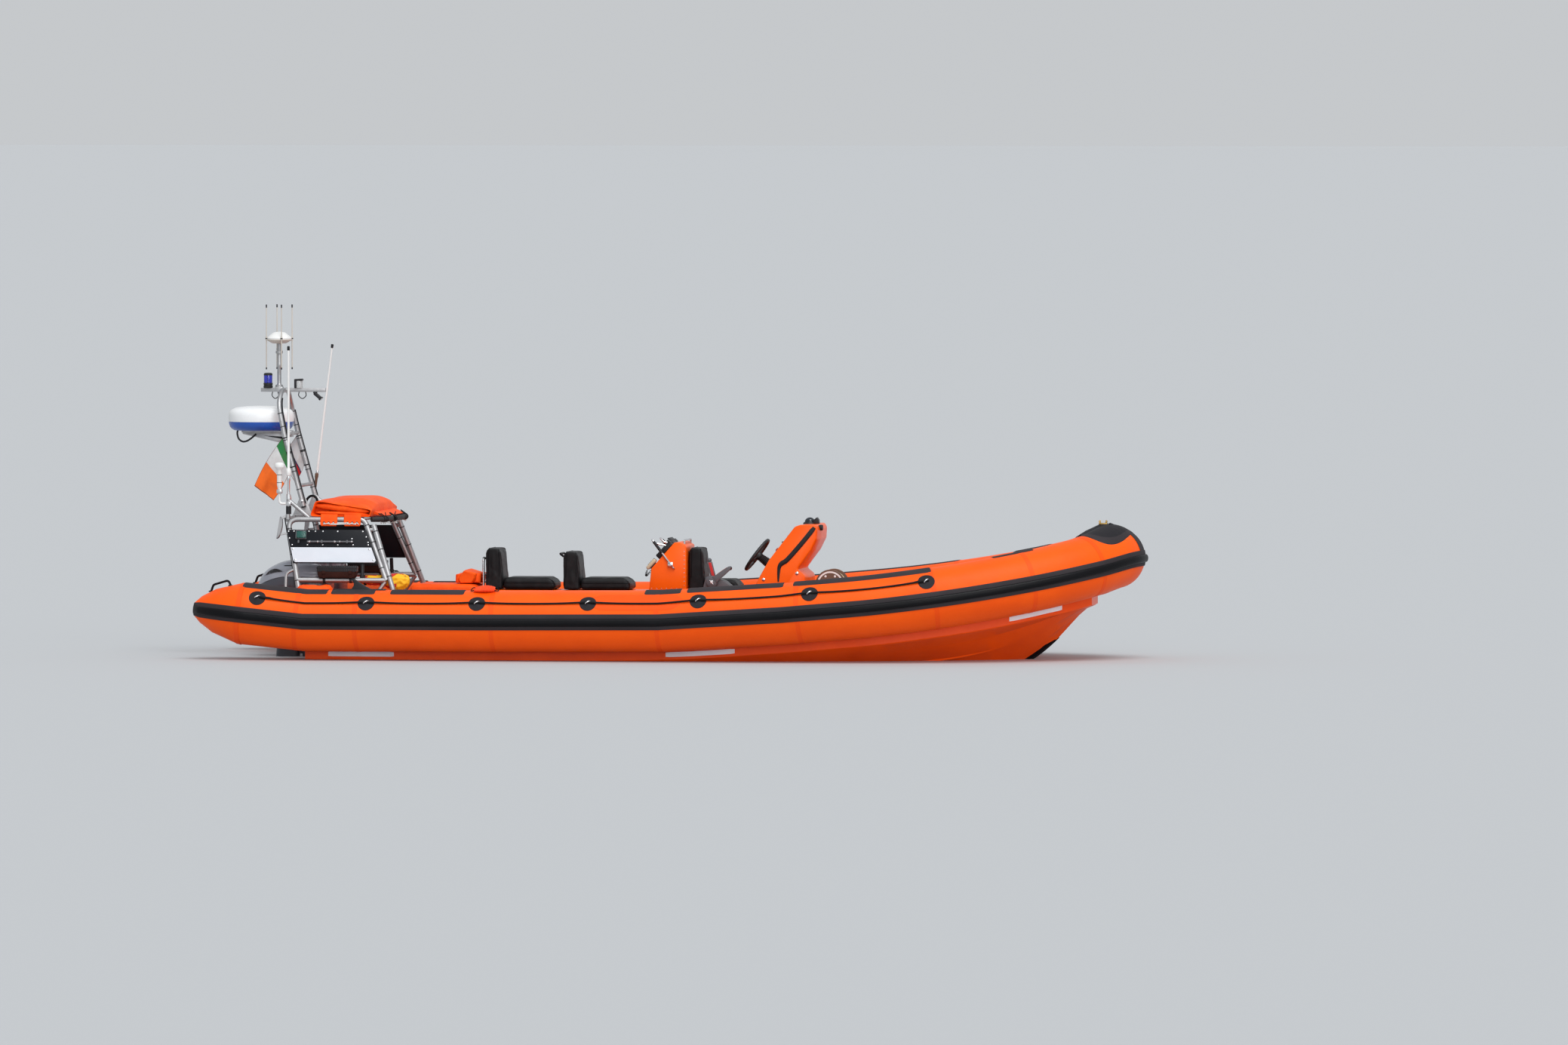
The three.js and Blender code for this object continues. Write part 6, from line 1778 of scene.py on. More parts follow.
def mastFrame():
    bm, black, metal, lens = [bmesh.new() for _ in range(4)]
    legs = [Vector((x, -y, z)) for x, y, z in mast["legs"]] + [Vector(p) for p in reversed(mast["legs"])]
    pipe(bm, legs, mast["pipe"], 0.22, 6)
    for z in (1.530, 1.990):
        pipe(bm, [(legX(z), -0.358, z), (legX(z), 0.358, z)], 0.016, 0.0, 5)
        for hand in (starboard, port):
            sleeve(bm, (legX(z), hand * 0.337, z), (0, 1, 0), 0.016, 0.006, 0.002, 20)
    x, _, z = mast["hinge"]
    for hand in (starboard, port):
        rod(metal, (x, hand * 0.321, z), (x, hand * 0.388, z), 0.0098, sides=20)
        lathe(metal, [(0.0098, 0), (0.017, 0.001), (0.017, 0.008), (0.009, 0.011), (0, 0.011)],
              (x, hand * 0.382, z), (0, hand, 0), 6)
        lathe(black, [(0.0215, 0.004), (0.0232, 0.004), (0.0232, -0.006), (0.018, -0.0085), (0, -0.0085)],
              (-3.366, hand * 0.360, 1.345), (-0.26, 0, 0.96), 24)
    block(bm, (-3.985, -0.060, 2.000), (-3.560, 0.060, 2.018), 0.003)
    plate(bm, [(-3.985, 2.005), (-3.985, 1.985), (-3.560, 1.890), (-3.560, 2.005)], -0.008, 0.008, 0.002, 2)
    block(bm, (-3.570, -0.060, 1.960), (-3.530, 0.060, 2.017), 0.003)
    aft, fore, low, high = mast["head"]
    block(bm, (aft, -0.017, low), (fore, 0.017, high), 0.003)
    x = mast["finderX"]
    block(bm, (x - 0.035, -0.035, low), (x + 0.035, 0.035, 2.412), 0.004)
    lathe(bm, [(0.034, 2.410), (0.034, 2.424), (0.024, 2.430), (0.019, 2.436), (0.018, 2.445), (0.018, 2.585),
               (0.0205, 2.590), (0.0205, 2.625), (0.018, 2.630), (0.018, 2.800), (0, 2.800)],
          (x, 0, 0), (0, 0, 1), 28)
    sleeve(bm, (x, 0, 2.722), (0, 0, 1), 0.018, 0.024, 0.014, 36)
    sleeve(bm, (x, 0, 2.748), (0, 0, 1), 0.018, 0.012, 0.009, 36)
    hole = [(-3.800, 1.972), (-3.610, 1.962), (-3.610, 1.938)]
    plate(black, hole, -0.0088, 0.0088, 0.001, 1)      # painted shade: a black plate stands for the hole in the web
    for at in (-3.93, -3.90, -3.75, -3.72):
        block(black, (at - 0.009, -0.055, 2.0175), (at + 0.009, 0.055, 2.0190), 0.0005, 1)
    lamp = Vector((-3.300, 0, 2.330))                  # floodlight slung under the bar, tipped down
    ahead, above = Vector((0.76, 0, -0.65)), Vector((0.65, 0, 0.76))
    for target, back, front, half, wide, edge, steps in ((black, -0.036, 0.034, 0.012, 0.040, 0.004, 2),
                                                         (black, 0.030, 0.046, 0.017, 0.040, 0.004, 2),
                                                         (lens, 0.0455, 0.0475, 0.014, 0.036, 0.0005, 1)):
        spots = [lamp + ahead * u + above * v for u, v in
                 ((back, -half), (front, -half), (front, half), (back, half))]
        plate(target, [(p.x, p.z) for p in spots], -wide, wide, edge, steps)
    for y in (-0.020, 0.020):
        pipe(black, [lamp + Vector((0, y, 0)), lamp + Vector((-0.012, y, 0.020)),
                     (lamp.x - 0.012, y, 2.366)], 0.0055)
    rod(black, (lamp.x - 0.030, -0.024, 2.358), (lamp.x - 0.030, 0.024, 2.358), 0.008)
    for x0, x1 in ((-3.470, -3.412), (-3.712, -3.664)):
        pipe(black, spring([(x0, 0.006, 2.366), (x0 - 0.004, 0.006, 2.330), ((x0 + x1) / 2, 0.008, 2.304),
                            (x1 + 0.004, 0.010, 2.330), (x1, 0.010, 2.366)], 14), 0.0042, 0.0, 2)
    path = bent(legs[:5], 0.22, 6)
    along = spring([p + Vector((0.0265, 0, 0.006)) for p in path[1:-1]], 34)    # cables up the legs
    pipe(black, along, 0.0058, 0.0, 2)
    pipe(black, [(p.x - 0.002, -p.y, p.z + 0.001) for p in along[:26]], 0.0045, 0.0, 2)
    for hand in (starboard, port):
        for z in (1.50, 1.66, 1.82, 1.94, 2.06, 2.18):
            sleeve(black, legSpot(hand, z), mast["legAxis"], mast["pipe"], 0.007, 0.0022, 20)
    hose = spring([(-4.030, 0, 2.022), (-4.034, 0, 1.985), (-4.020, 0, 1.940), (-3.985, 0, 1.916),
                   (-3.945, -0.004, 1.922), (-3.900, -0.010, 1.950), (-3.860, -0.012, 1.985)], 26)
    pipe(black, hose, 0.0085, 0.0, 3)
    cable = spring([(-3.80, 0.03, 2.001), (-3.72, 0.035, 1.965), (-3.62, 0.02, 1.952),
                    (-3.555, -0.02, 1.972), (-3.538, -0.10, 1.968)], 16)
    pipe(black, cable, 0.005, 0.0, 2)
    finishPiece(bm, "mastFrame", "mast", aluminium, "frame_aluminium", ["mast_frame"])
    finishPiece(black, "mastFittings", "mast", blackPlastic, "black_plastic")
    finishPiece(metal, "mastPins", "mast", steel, "bright_steel")
    finishPiece(lens, "floodlightLens", "mast", clearGlass, "white_plastic")


def mastheadSet():
    dome, disc, under, rods, tips, blue, clear, black = [bmesh.new() for _ in range(8)]
    up = (0, 0, 1)
    seam = mast["bandZ"] - mast["radomeAt"][2]
    profile = [(0, 0), (0.236, 0), (0.246, 0.003), (0.268, 0.017), (0.281, 0.033), (0.289, 0.055),
               (0.2925, seam - 0.003), (0.2905, seam - 0.001), (0.2905, seam + 0.001), (0.293, seam + 0.003),
               (0.2945, 0.100), (0.2945, 0.128), (0.291, 0.150), (0.284, 0.170), (0.268, 0.186),
               (0.232, 0.203), (0.180, 0.212), (0.120, 0.2175), (0.060, 0.2195), (0, 0.220)]
    lathe(dome, profile, mast["radomeAt"], up, 72)
    finishPiece(dome, "radomeShell", "mast", radomePaint, "white_plastic", ["radome"], 40)
    x = mast["finderX"]
    base = (x, 0, 2.8004)
    lathe(under, [(0, 0), (0.060, 0), (0.066, 0.002), (0.108, 0.026), (0.112, 0.031), (0.112, 0.038),
                  (0, 0.038)], base, up, 48)
    lathe(disc, [(0, 0.037), (0.1115, 0.038), (0.1115, 0.050), (0.104, 0.058), (0.062, 0.093),
                 (0.050, 0.099), (0.020, 0.1045), (0, 0.105)], base, up, 48)
    for k in range(4):
        angle = k * pi / 2 + radians(mast["finderTurn"])
        at = Vector((x + mast["finderReach"] * cos(angle), mast["finderReach"] * sin(angle), 0))
        arm = at + Vector((0, 0, 2.845))
        rod(rods, at + Vector((0, 0, 2.580)), at + Vector((0, 0, 3.128)), 0.0055, 0.0048, 12)
        rod(rods, Vector((x, 0, 2.845)), arm, 0.0078, 0.0072, 12)
        sleeve(rods, arm, up, 0.0055, 0.030, 0.0035, 14)
        for z0, z1 in ((2.567, 2.585), (3.122, 3.150)):
            rod(tips, at + Vector((0, 0, z0)), at + Vector((0, 0, z1)), 0.0062, sides=12)
        sleeve(tips, arm, up, 0.009, 0.010, 0.001, 14)
    at = (-3.752, 0, 2.4004)                           # blue light in a base, a lid and three stays
    lathe(black, [(0, 0), (0.040, 0), (0.042, 0.004), (0.042, 0.020), (0.038, 0.022), (0.038, 0.026),
                  (0.042, 0.028), (0.042, 0.042), (0.036, 0.046), (0, 0.046)], at, up, 36)
    lathe(blue, [(0, 0.044), (0.0375, 0.044), (0.039, 0.048), (0.039, 0.110), (0.037, 0.114), (0, 0.114)],
          at, up, 36)
    lathe(black, [(0, 0.112), (0.0390, 0.112), (0.0400, 0.118), (0.038, 0.128), (0.030, 0.134), (0, 0.136)],
          at, up, 36)
    for k in range(3):
        angle = 2 * pi * k / 3 + 0.6
        spot = Vector(at) + Vector((0.0394 * cos(angle), 0.0394 * sin(angle), 0))
        rod(black, spot + Vector((0, 0, 0.036)), spot + Vector((0, 0, 0.116)), 0.0018, sides=8)
    at = (-3.470, 0, 2.4004)                           # white lamp with a shade aft of it and a lid
    lathe(clear, [(0, 0), (0.033, 0), (0.034, 0.004), (0.034, 0.058), (0.031, 0.068), (0, 0.068)], at, up, 36)
    block(black, (-3.509, -0.036, 2.4004), (-3.488, 0.036, 2.474), 0.004)
    lid = [(-3.509, 2.466), (-3.509, 2.480), (-3.440, 2.484), (-3.434, 2.476), (-3.434, 2.466)]
    plate(black, lid, -0.036, 0.036, 0.003, 2)
    finishPiece(disc, "finderDisc", "mast", whitePlastic, "white_plastic", ["direction_finder"])
    finishPiece(under, "finderBase", "mast", tanPlastic, "white_plastic")
    finishPiece(rods, "finderRods", "mast", tanPlastic, "white_plastic")
    finishPiece(tips, "finderTips", "mast", blackPlastic, "black_plastic")
    finishPiece(blue, "blueLamp", "mast", blueGlass, "blue_lens", ["blue_light"])
    finishPiece(clear, "mastheadLens", "mast", clearGlass, "white_plastic", ["masthead_light"])
    finishPiece(black, "lampFittings", "mast", blackPlastic, "black_plastic")


radomePaint = Finish("radomePaint", shine=0.5)
bandHigh = radomePaint.axis("Z").over(mast["bandZ"] - 0.0007, mast["bandZ"] + 0.0007)
soot = radomePaint.noise(0.2, 5).over(0.35, 0.8)
blueBand = radomePaint.mix(soot, (0.010, 0.080, 0.42), (0.012, 0.055, 0.28))
whiteTop = radomePaint.mix(soot * 0.5, (0.80, 0.81, 0.82), (0.64, 0.64, 0.62))
radomePaint.set(colour=radomePaint.mix(bandHigh, blueBand, whiteTop), roughness=0.26 + soot * 0.14)
radomePaint.bump(radomePaint.noise(0.01, 3), 0.0001)
tanPlastic = speckled("tanPlastic", (0.60, 0.56, 0.50), (0.42, 0.38, 0.33), 0.45, 0.004, 0.0002)
mastFrame()
mastheadSet()

flags = {
    "ensign": {"hand": starboard, "top": 1.960, "drop": 0.260, "fly": 0.450, "wave": 0.012, "bow": 0.022},
    "pennant": {"hand": port, "top": 1.960, "drop": 0.260, "fly": 0.240, "wave": 0.016, "bow": 0.010},
}


def flagCloth(name, first, *stripes):
    # Each further stripe: how far along the fly it starts, and its colour
    finish = Finish(name, shine=0.3)
    where = finish.node("TexCoord", {}, {}, "UV")
    across, down = finish.axis("X", where), finish.axis("Y", where)
    base = first
    for start, colour in stripes:
        base = finish.mix(across.over(start - 0.004, start + 0.004), base, colour)
    weave = finish.wave(0.0016, finish.place()) + finish.wave(0.0016, finish.place(), "Z")
    crease = finish.noise(0.08, 5, 0.6)
    hem = 1 - across.band(0.004, 0.982, 0.006) * down.band(0.012, 0.988, 0.010)
    finish.set(colour=finish.mix(crease.over(0.4, 0.8) * 0.22 + hem * 0.6, base, (0.17, 0.05, 0.03)),
               roughness=0.75)
    finish.bump(weave * 0.3 + crease * 4 + hem * 3, 0.0008)
    return finish


def flag(name, finish):
    # Hangs down from a hoist lashed along the leg, its folds fanning out from the upper corner
    facts = flags[name]
    top, drop, fly = facts["top"], facts["drop"], facts["fly"]
    y = facts["hand"] * (mast["legY"] - 0.005)
    columns, rows = 40, 30
    rings = []
    for row in range(rows + 1):
        v = row / rows
        z = top - drop * v
        hoist = Vector((legX(z) - (mast["pipe"] + 0.0004) / cos(mast["lean"]), y, z))
        end = hoist - Vector((0.57 - 0.23 * v, 0, 0.96 - 0.29 * v)) * fly
        ring = []
        for column in range(columns + 1):
            u = column / columns
            swing = sin(2 * pi * (1.2 * v + 0.4 * u) + 0.6) + 0.4 * sin(2 * pi * (2.7 * v - 0.6 * u) + 1.9)
            spot = hoist.lerp(end, u) + Vector((facts["bow"] * sin(pi * u) * (2 * v - 1), 0, 0))
            ring.append(spot + Vector((0, facts["wave"] * u ** 0.6 * swing, 0)))
        rings.append(ring)
    bm = bmesh.new()
    bm.loops.layers.uv.new("cloth")
    sheetOf(bm, rings)
    half = rows // 2
    wide = sum((b - a).length for a, b in zip(rings[half], rings[half][1:]))
    tall = sum(face.calc_area() for face in bm.faces) / wide
    piece = finishPiece(bm, name + "Cloth", "mast", finish, "flag_cloth", [name], recalc=False)
    thicken = piece.modifiers.new("thickness", "SOLIDIFY")
    thicken.thickness = 0.0012
    thicken.offset = 0
    ties = bmesh.new()
    for ring in (rings[0], rings[half], rings[rows]):
        sleeve(ties, legSpot(facts["hand"], ring[0].z), mast["legAxis"], mast["pipe"], 0.010, 0.003, 20)
    finishPiece(ties, name + "Ties", "mast", blackCord, "rope_fibre")


navy, bunting, scarlet = (0.012, 0.018, 0.085), (0.66, 0.66, 0.66), (0.56, 0.012, 0.014)
flag("ensign", flagCloth("ensignCloth", (0.020, 0.20, 0.055), (0.17, bunting), (0.50, (0.90, 0.150, 0.012))))
flag("pennant", flagCloth("pennantCloth", bunting, (0.42, navy), (0.48, scarlet), (0.68, navy),
                          (0.74, bunting)))
print("mast built")


# Outboards: everything is drawn on the centreline and moved out to its side
outboard = {
    "y": 0.350, "steerX": -3.340, "tilt": (-3.255, 0.285), "screwZ": -0.575, "screwX": -3.706,
    "shell": (0.723, 0.072, -3.507, 0.227),
    "intake": [(-3.687, 0.731), (-3.664, 0.757), (-3.638, 0.776), (-3.610, 0.787), (-3.580, 0.790),
               (-3.550, 0.783), (-3.528, 0.773), (-3.524, 0.766), (-3.550, 0.762), (-3.590, 0.757),
               (-3.630, 0.747), (-3.665, 0.736)],
    # z, aft x, fore x, half-width
    "cowl": [(0.3894, -3.700, -3.150, 0.170), (0.430, -3.760, -3.120, 0.215), (0.560, -3.785, -3.105, 0.240),
             (0.680, -3.765, -3.105, 0.240), (0.780, -3.690, -3.110, 0.225), (0.850, -3.560, -3.140, 0.190),
             (0.872, -3.460, -3.200, 0.130)],
    # z, centre x, half-length, half-width
    "leg": [(0.389, -3.480, 0.180, 0.110), (0.330, -3.500, 0.104, 0.090), (0.200, -3.500, 0.105, 0.075),
            (-0.100, -3.520, 0.110, 0.055), (-0.380, -3.555, 0.125, 0.045), (-0.530, -3.560, 0.110, 0.028)],
    # a ring's shape, as parts of its half-length and half-width
    "outline": [(1, 0), (0.995, 0.3), (0.97, 0.6), (0.91, 0.82), (0.8, 0.93), (0.62, 0.98), (0.4, 1),
                (0.05, 1.0), (-0.3, 0.99), (-0.55, 0.94), (-0.75, 0.83), (-0.88, 0.65), (-0.96, 0.42),
                (-0.99, 0.2), (-1, 0)],
    "seamZ": 0.455,
}


def roundedRing(z, aft, fore, half):
    middle, long = (aft + fore) / 2, (fore - aft) / 2
    shape = outboard["outline"]
    side = [Vector((middle + u * long, v * half, z)) for u, v in shape]
    return side + [Vector((p.x, -p.y, z)) for p in reversed(side[1:-1])]


def between(rows, z):
    # The row of a table at a height, on a smooth curve through the rows
    rows = sorted(rows)
    index = max(i for i in range(len(rows) - 1) if rows[i][0] <= z + 1e-9)
    a, b = rows[index], rows[index + 1]
    before, after = rows[max(index - 1, 0)], rows[min(index + 2, len(rows) - 1)]
    t = (z - a[0]) / (b[0] - a[0])
    row = [z]
    for k in range(1, len(a)):
        leave = (b[k] - before[k]) / max(b[0] - before[0], 1e-6) * (b[0] - a[0])
        arrive = (after[k] - a[k]) / max(after[0] - a[0], 1e-6) * (b[0] - a[0])
        smooth = ((2 * t ** 3 - 3 * t ** 2 + 1) * a[k] + (t ** 3 - 2 * t ** 2 + t) * leave
                  + (3 * t ** 2 - 2 * t ** 3) * b[k] + (t ** 3 - t ** 2) * arrive)
        row.append(smooth)
    return row


def cowlSpot(z, hand, x):
    # A place on the cowl's side
    _, aft, fore, half = between(outboard["cowl"], z)
    along = min(0.999, max(-0.999, (x * 2 - aft - fore) / (fore - aft)))
    shape = sorted(outboard["outline"])
    index = max(i for i in range(len(shape) - 1) if shape[i][0] <= along)
    (u0, v0), (u1, v1) = shape[index], shape[index + 1]
    v = v0 + (v1 - v0) * (along - u0) / (u1 - u0)
    return Vector(((aft + fore) / 2 + along * (fore - aft) / 2, hand * v * half, z))


def cowlFoot(x):
    # Height of the foot of the cowl's upper shell
    top, drop, start, long = outboard["shell"]
    return top - drop * (max(0, start - x) / long) ** 1.6


def cowlSkin(bm, dark, seam):
    low, high = outboard["cowl"][0][0], outboard["cowl"][-1][0]
    rings = []
    for i in range(27):
        z = low + (high - low) * (1 - (1 - i / 26) ** 1.35)
        row = between(outboard["cowl"], min(z, high - 0.0001))
        grow = -0.004 if abs(z - outboard["seamZ"]) < 0.012 else 0
        rings.append(roundedRing(row[0], row[1] - grow, row[2] + grow, row[3] + grow))
    sheetOf(bm, rings, closed=True, capped=True)
    for hand in (starboard, port):
        # intake: a dark teardrop of painted shade, sunk in a raised lip near the top, stands for the opening
        lip = spring([Vector((x, 0, z)) for x, z in outboard["intake"] + outboard["intake"][:1]], 56)[:-1]
        away = Vector((-0.3, hand * 0.8, 0.5)).normalized()

        def around(scale, lift):
            ring = []
            for p in lip:
                x, z = -3.604 + (p.x + 3.604) * scale, 0.762 + (p.z - 0.762) * scale
                ring.append(cowlSpot(z, hand, x) + away * lift)
            return ring

        sheetOf(bm, [around(1.22, -0.003), around(1.12, 0.004), around(1.02, 0.004), around(0.98, 0.0005)],
                closed=True)
        sheetOf(dark, [around(scale, 0.0014) for scale in (1.0, 0.6, 0.2)], closed=True, capped=True)
        # painted shade: a dark sheet laid on the surface stands for a slit above and fore of the intake
        slit = [cowlSpot(0.818 + dz, hand, -3.498 + dx) + away * 0.0012 for dx, dz in
                ((-0.016, 0.001), (0, 0.007), (0.060, 0.008), (0.060, -0.002), (0, -0.003))]
        sheetOf(dark, [slit, [cowlSpot(0.820, hand, -3.46) + away * 0.0012] * 5], closed=True)
        ridge = []                                     # foot of the upper shell, swept down aft
        for i in range(41):
            t = i / 40
            x = -3.742 + 0.600 * t
            z = cowlFoot(x)
            fade = min(1, 8 * t, 8 * (1 - t))
            section = (-0.004, -0.002), (-0.001, 0.0045 * fade), (0.010, 0.0040 * fade), (0.040, -0.002)
            ridge.append([cowlSpot(z + dz, hand, x) + Vector((0, hand * lift, 0)) for dz, lift in section])
        sheetOf(bm, ridge, closed=True, capped=True)
    rows = []
    for shift, lift in ((-0.004, -0.006), (-0.004, -0.001), (0.004, -0.001), (0.004, -0.006)):
        row = between(outboard["cowl"], outboard["seamZ"] + shift)
        rows.append(roundedRing(row[0], row[1] - lift, row[2] + lift, row[3] + lift))
    sheetOf(seam, rows + rows[:1], closed=True)


def outboards():
    for hand in (starboard, port):
        name = sideNames[hand]
        words = name.capitalize()
        tiltX, tiltZ = outboard["tilt"]
        steerX = outboard["steerX"]
        cowl, dark, seam, leg, swivel, clamp, metal, screw, bolts = [bmesh.new() for _ in range(9)]
        cowlSkin(cowl, dark, seam)
        block(seam, (-3.760, -0.045, 0.470), (-3.742, 0.045, 0.520), 0.006)
        for y in (-0.020, 0.020):
            block(seam, (-3.128, y - 0.012, 0.425), (-3.104, y + 0.012, 0.480), 0.004)
        pipe(seam, [(-3.700, -0.075, 0.620), (-3.772, -0.070, 0.626), (-3.772, 0.070, 0.626),
                    (-3.700, 0.075, 0.620)], 0.010, 0.02, 2)
        # leg, from the powerhead down to the gearcase
        low, high = outboard["leg"][-1][0], outboard["leg"][0][0]
        rings = []
        for i in range(25):
            row = between(outboard["leg"], low + (high - low) * i / 24)
            rings.append(roundedRing(row[0], row[1] - row[2], row[1] + row[2], row[3]))
        sheetOf(leg, rings, closed=True, capped=True)
        z = outboard["screwZ"]
        lathe(leg, [(0, 0), (0.014, 0.005), (0.030, 0.020), (0.042, 0.043), (0.050, 0.070), (0.056, 0.105),
                    (0.058, 0.140), (0.058, 0.300), (0.053, 0.340), (0.044, 0.370), (0.016, 0.370),
                    (0.0135, 0.360), (0, 0.360)], (-3.330, 0, z), (-1, 0, 0), 40)
        plate(leg, [(-3.700, -0.405), (-3.690, -0.393), (-3.400, -0.393), (-3.390, -0.399), (-3.400, -0.405)],
              -0.095, 0.095, 0.003, 2)
        plate(leg, [(-3.400, -0.600), (-3.560, -0.600), (-3.604, -0.760), (-3.592, -0.770), (-3.528, -0.770)],
              -0.008, 0.008, 0.004, 2)
        for z0, z1 in ((0.322, 0.350), (-0.130, -0.100)):
            block(leg, (-3.480, -0.050, z0), (steerX + 0.034, 0.050, z1), 0.006)
        rod(leg, (steerX, 0, -0.120), (steerX, 0, 0.340), 0.0195, sides=24)
        for y in (-1, 1):
            for i in range(5):
                x = -3.630 + i * 0.042
                rod(bolts, (x, y * 0.032, -0.455), (x, y * 0.0415, -0.455), 0.005, sides=8)
            block(leg, (-3.56, y * 0.052 - 0.010, -0.34), (-3.47, y * 0.052 + 0.008, -0.26), 0.005)
        # swivel bracket
        lathe(swivel, [(0.0212, -0.095), (0.040, -0.095), (0.042, -0.090), (0.042, -0.040), (0.038, -0.030),
                       (0.038, 0.190), (0.042, 0.200), (0.042, 0.312), (0.040, 0.317), (0.0212, 0.317),
                       (0.0212, -0.095)], (steerX, 0, 0), (0, 0, 1), 36)
        lathe(swivel, [(0.0130, -0.070), (0.026, -0.070), (0.028, -0.066), (0.028, 0.066), (0.026, 0.070),
                       (0.0130, 0.070), (0.0130, -0.070)], (tiltX, 0, tiltZ), (0, 1, 0), 32)
        for y0, y1 in ((-0.060, -0.030), (0.030, 0.060)):
            plate(swivel, [(-3.345, 0.200), (-3.272, 0.262), (-3.276, 0.306), (-3.345, 0.314)], y0, y1, 0.004)
        plate(swivel, [(-3.345, -0.088), (-3.306, -0.058), (-3.301, 0.226), (-3.345, 0.254)],
              -0.022, 0.022, 0.004)
        # clamp bracket
        cheek = [(-3.2404, -0.060), (-3.2404, 0.250), (-3.225, 0.250), (-3.225, 0.318), (-3.237, 0.330),
                 (-3.278, 0.330), (-3.290, 0.318), (-3.290, 0.060), (-3.260, -0.060)]
        for y in (-0.096, 0.082):
            plate(clamp, cheek, y, y + 0.014, 0.003)
            for i in range(5):
                z = 0.085 + i * 0.034
                rod(metal, (-3.268, y - 0.0008, z), (-3.268, y + 0.0148, z), 0.0065, sides=12)
        block(clamp, (-3.2524, -0.090, -0.060), (-3.2404, 0.090, 0.236), 0.003)
        block(clamp, (-3.2524, -0.096, 0.2354), (-3.160, 0.096, 0.248), 0.003)
        block(clamp, (-3.1746, -0.096, 0.190), (-3.160, 0.096, 0.248), 0.003)
        rod(metal, (tiltX, -0.097, tiltZ), (tiltX, 0.097, tiltZ), 0.0118, sides=24)
        for y in (-0.055, 0.055):
            rod(metal, (-3.159, y, 0.212), (-3.148, y, 0.212), 0.011, sides=6)
            rod(metal, (-3.2526, y, 0.150), (-3.262, y, 0.150), 0.011, sides=6)
            rod(metal, (-3.2526, y, -0.030), (-3.262, y, -0.030), 0.011, sides=6)
        propeller(screw)
        for bm in (cowl, dark, seam, leg, swivel, clamp, metal, screw, bolts):
            bmesh.ops.translate(bm, verts=bm.verts, vec=(0, hand * outboard["y"], 0))
        body = "engine_" + name
        finishPiece(bolts, "legBolts" + words, body, steel, "bright_steel")
        finishPiece(cowl, "cowl" + words, body, cowlPaint, "cowl_paint", ["outboard_cowl_" + name], 40)
        finishPiece(dark, "cowlIntakes" + words, body, blackPlastic, "black_plastic", smooth=60)
        finishPiece(seam, "cowlTrim" + words, body, blackRubber, "black_plastic")
        finishPiece(leg, "leg" + words, body, casting, "engine_casting", ["outboard_leg_" + name])
        finishPiece(swivel, "swivelBracket" + words, "swivel_" + name, casting, "engine_casting",
                    ["swivel_bracket_" + name])
        finishPiece(clamp, "clampBracket" + words, "boat", casting, "engine_casting",
                    ["clamp_bracket_" + name])
        finishPiece(metal, "clampPins" + words, "boat", steel, "bright_steel")
        finishPiece(screw, "propeller" + words, "screw_" + name, steel, "bright_steel", ["propeller_" + name])


def propeller(bm):
    x, z = outboard["screwX"], outboard["screwZ"]
    lathe(bm, [(0, -0.040), (0.0118, -0.040), (0.0118, 0), (0.040, 0), (0.045, 0.004), (0.044, 0.030),
               (0.042, 0.060), (0.034, 0.076), (0.020, 0.081), (0.012, 0.084), (0, 0.084)],
          (x, 0, z), (-1, 0, 0), 36)
    for k in range(3):
        spin = Matrix.Rotation(2 * pi * k / 3, 4, "X")
        rings = []
        for radius, half, pitch, thick in ((0.035, 0.030, 0.90, 0.0040), (0.055, 0.047, 0.77, 0.0038),
                                           (0.075, 0.058, 0.66, 0.0034), (0.095, 0.063, 0.58, 0.0030),
                                           (0.115, 0.0625, 0.50, 0.0026), (0.135, 0.057, 0.43, 0.0022),
                                           (0.148, 0.043, 0.38, 0.0018), (0.1555, 0.022, 0.35, 0.0012)):
            rise, flat = Vector((sin(pitch), cos(pitch), 0)), Vector((cos(pitch), -sin(pitch), 0))
            ring = []
            for j in range(16):
                angle = 2 * pi * j / 16
                u = cos(angle)
                spot = rise * u * half + flat * (thick * sin(angle) + 0.004 * (1 - u * u) * half / 0.06)
                ring.append(Vector((x - 0.038, 0, z)) + spin @ (Vector((0, 0, radius)) + spot))
            rings.append(ring)
        sheetOf(bm, rings, closed=True, capped=True)


cowlPaint = Finish("cowlPaint", coatWeight=0.7, coatRoughness=0.07)
streak = cowlPaint.noise(0.30, 4, 0.6, (0.5, 1, 1.6)).over(0.3, 0.8)
fleck = cowlPaint.cells(0.0012).over(0.05, 0.4)
top, drop, start, long = outboard["shell"]
behind = (start - cowlPaint.axis("X")) / long
dip = behind.maths("MAXIMUM", behind, 0.0001) ** 1.6 * drop
shell = (cowlPaint.axis("Z") - top + dip).over(-0.002, 0.001)
darkPaint = cowlPaint.mix(streak, (0.050, 0.056, 0.076), (0.036, 0.041, 0.056))
greyPaint = cowlPaint.mix(streak, (0.30, 0.32, 0.37), (0.20, 0.22, 0.26))
cowlPaint.set(colour=cowlPaint.mix(shell, darkPaint, greyPaint), metallic=0.3,
              roughness=0.36 + streak * 0.12 + fleck * 0.05)
cowlPaint.bump(cowlPaint.noise(0.2, 3), 0.0008)
outboards()
print("outboards built")


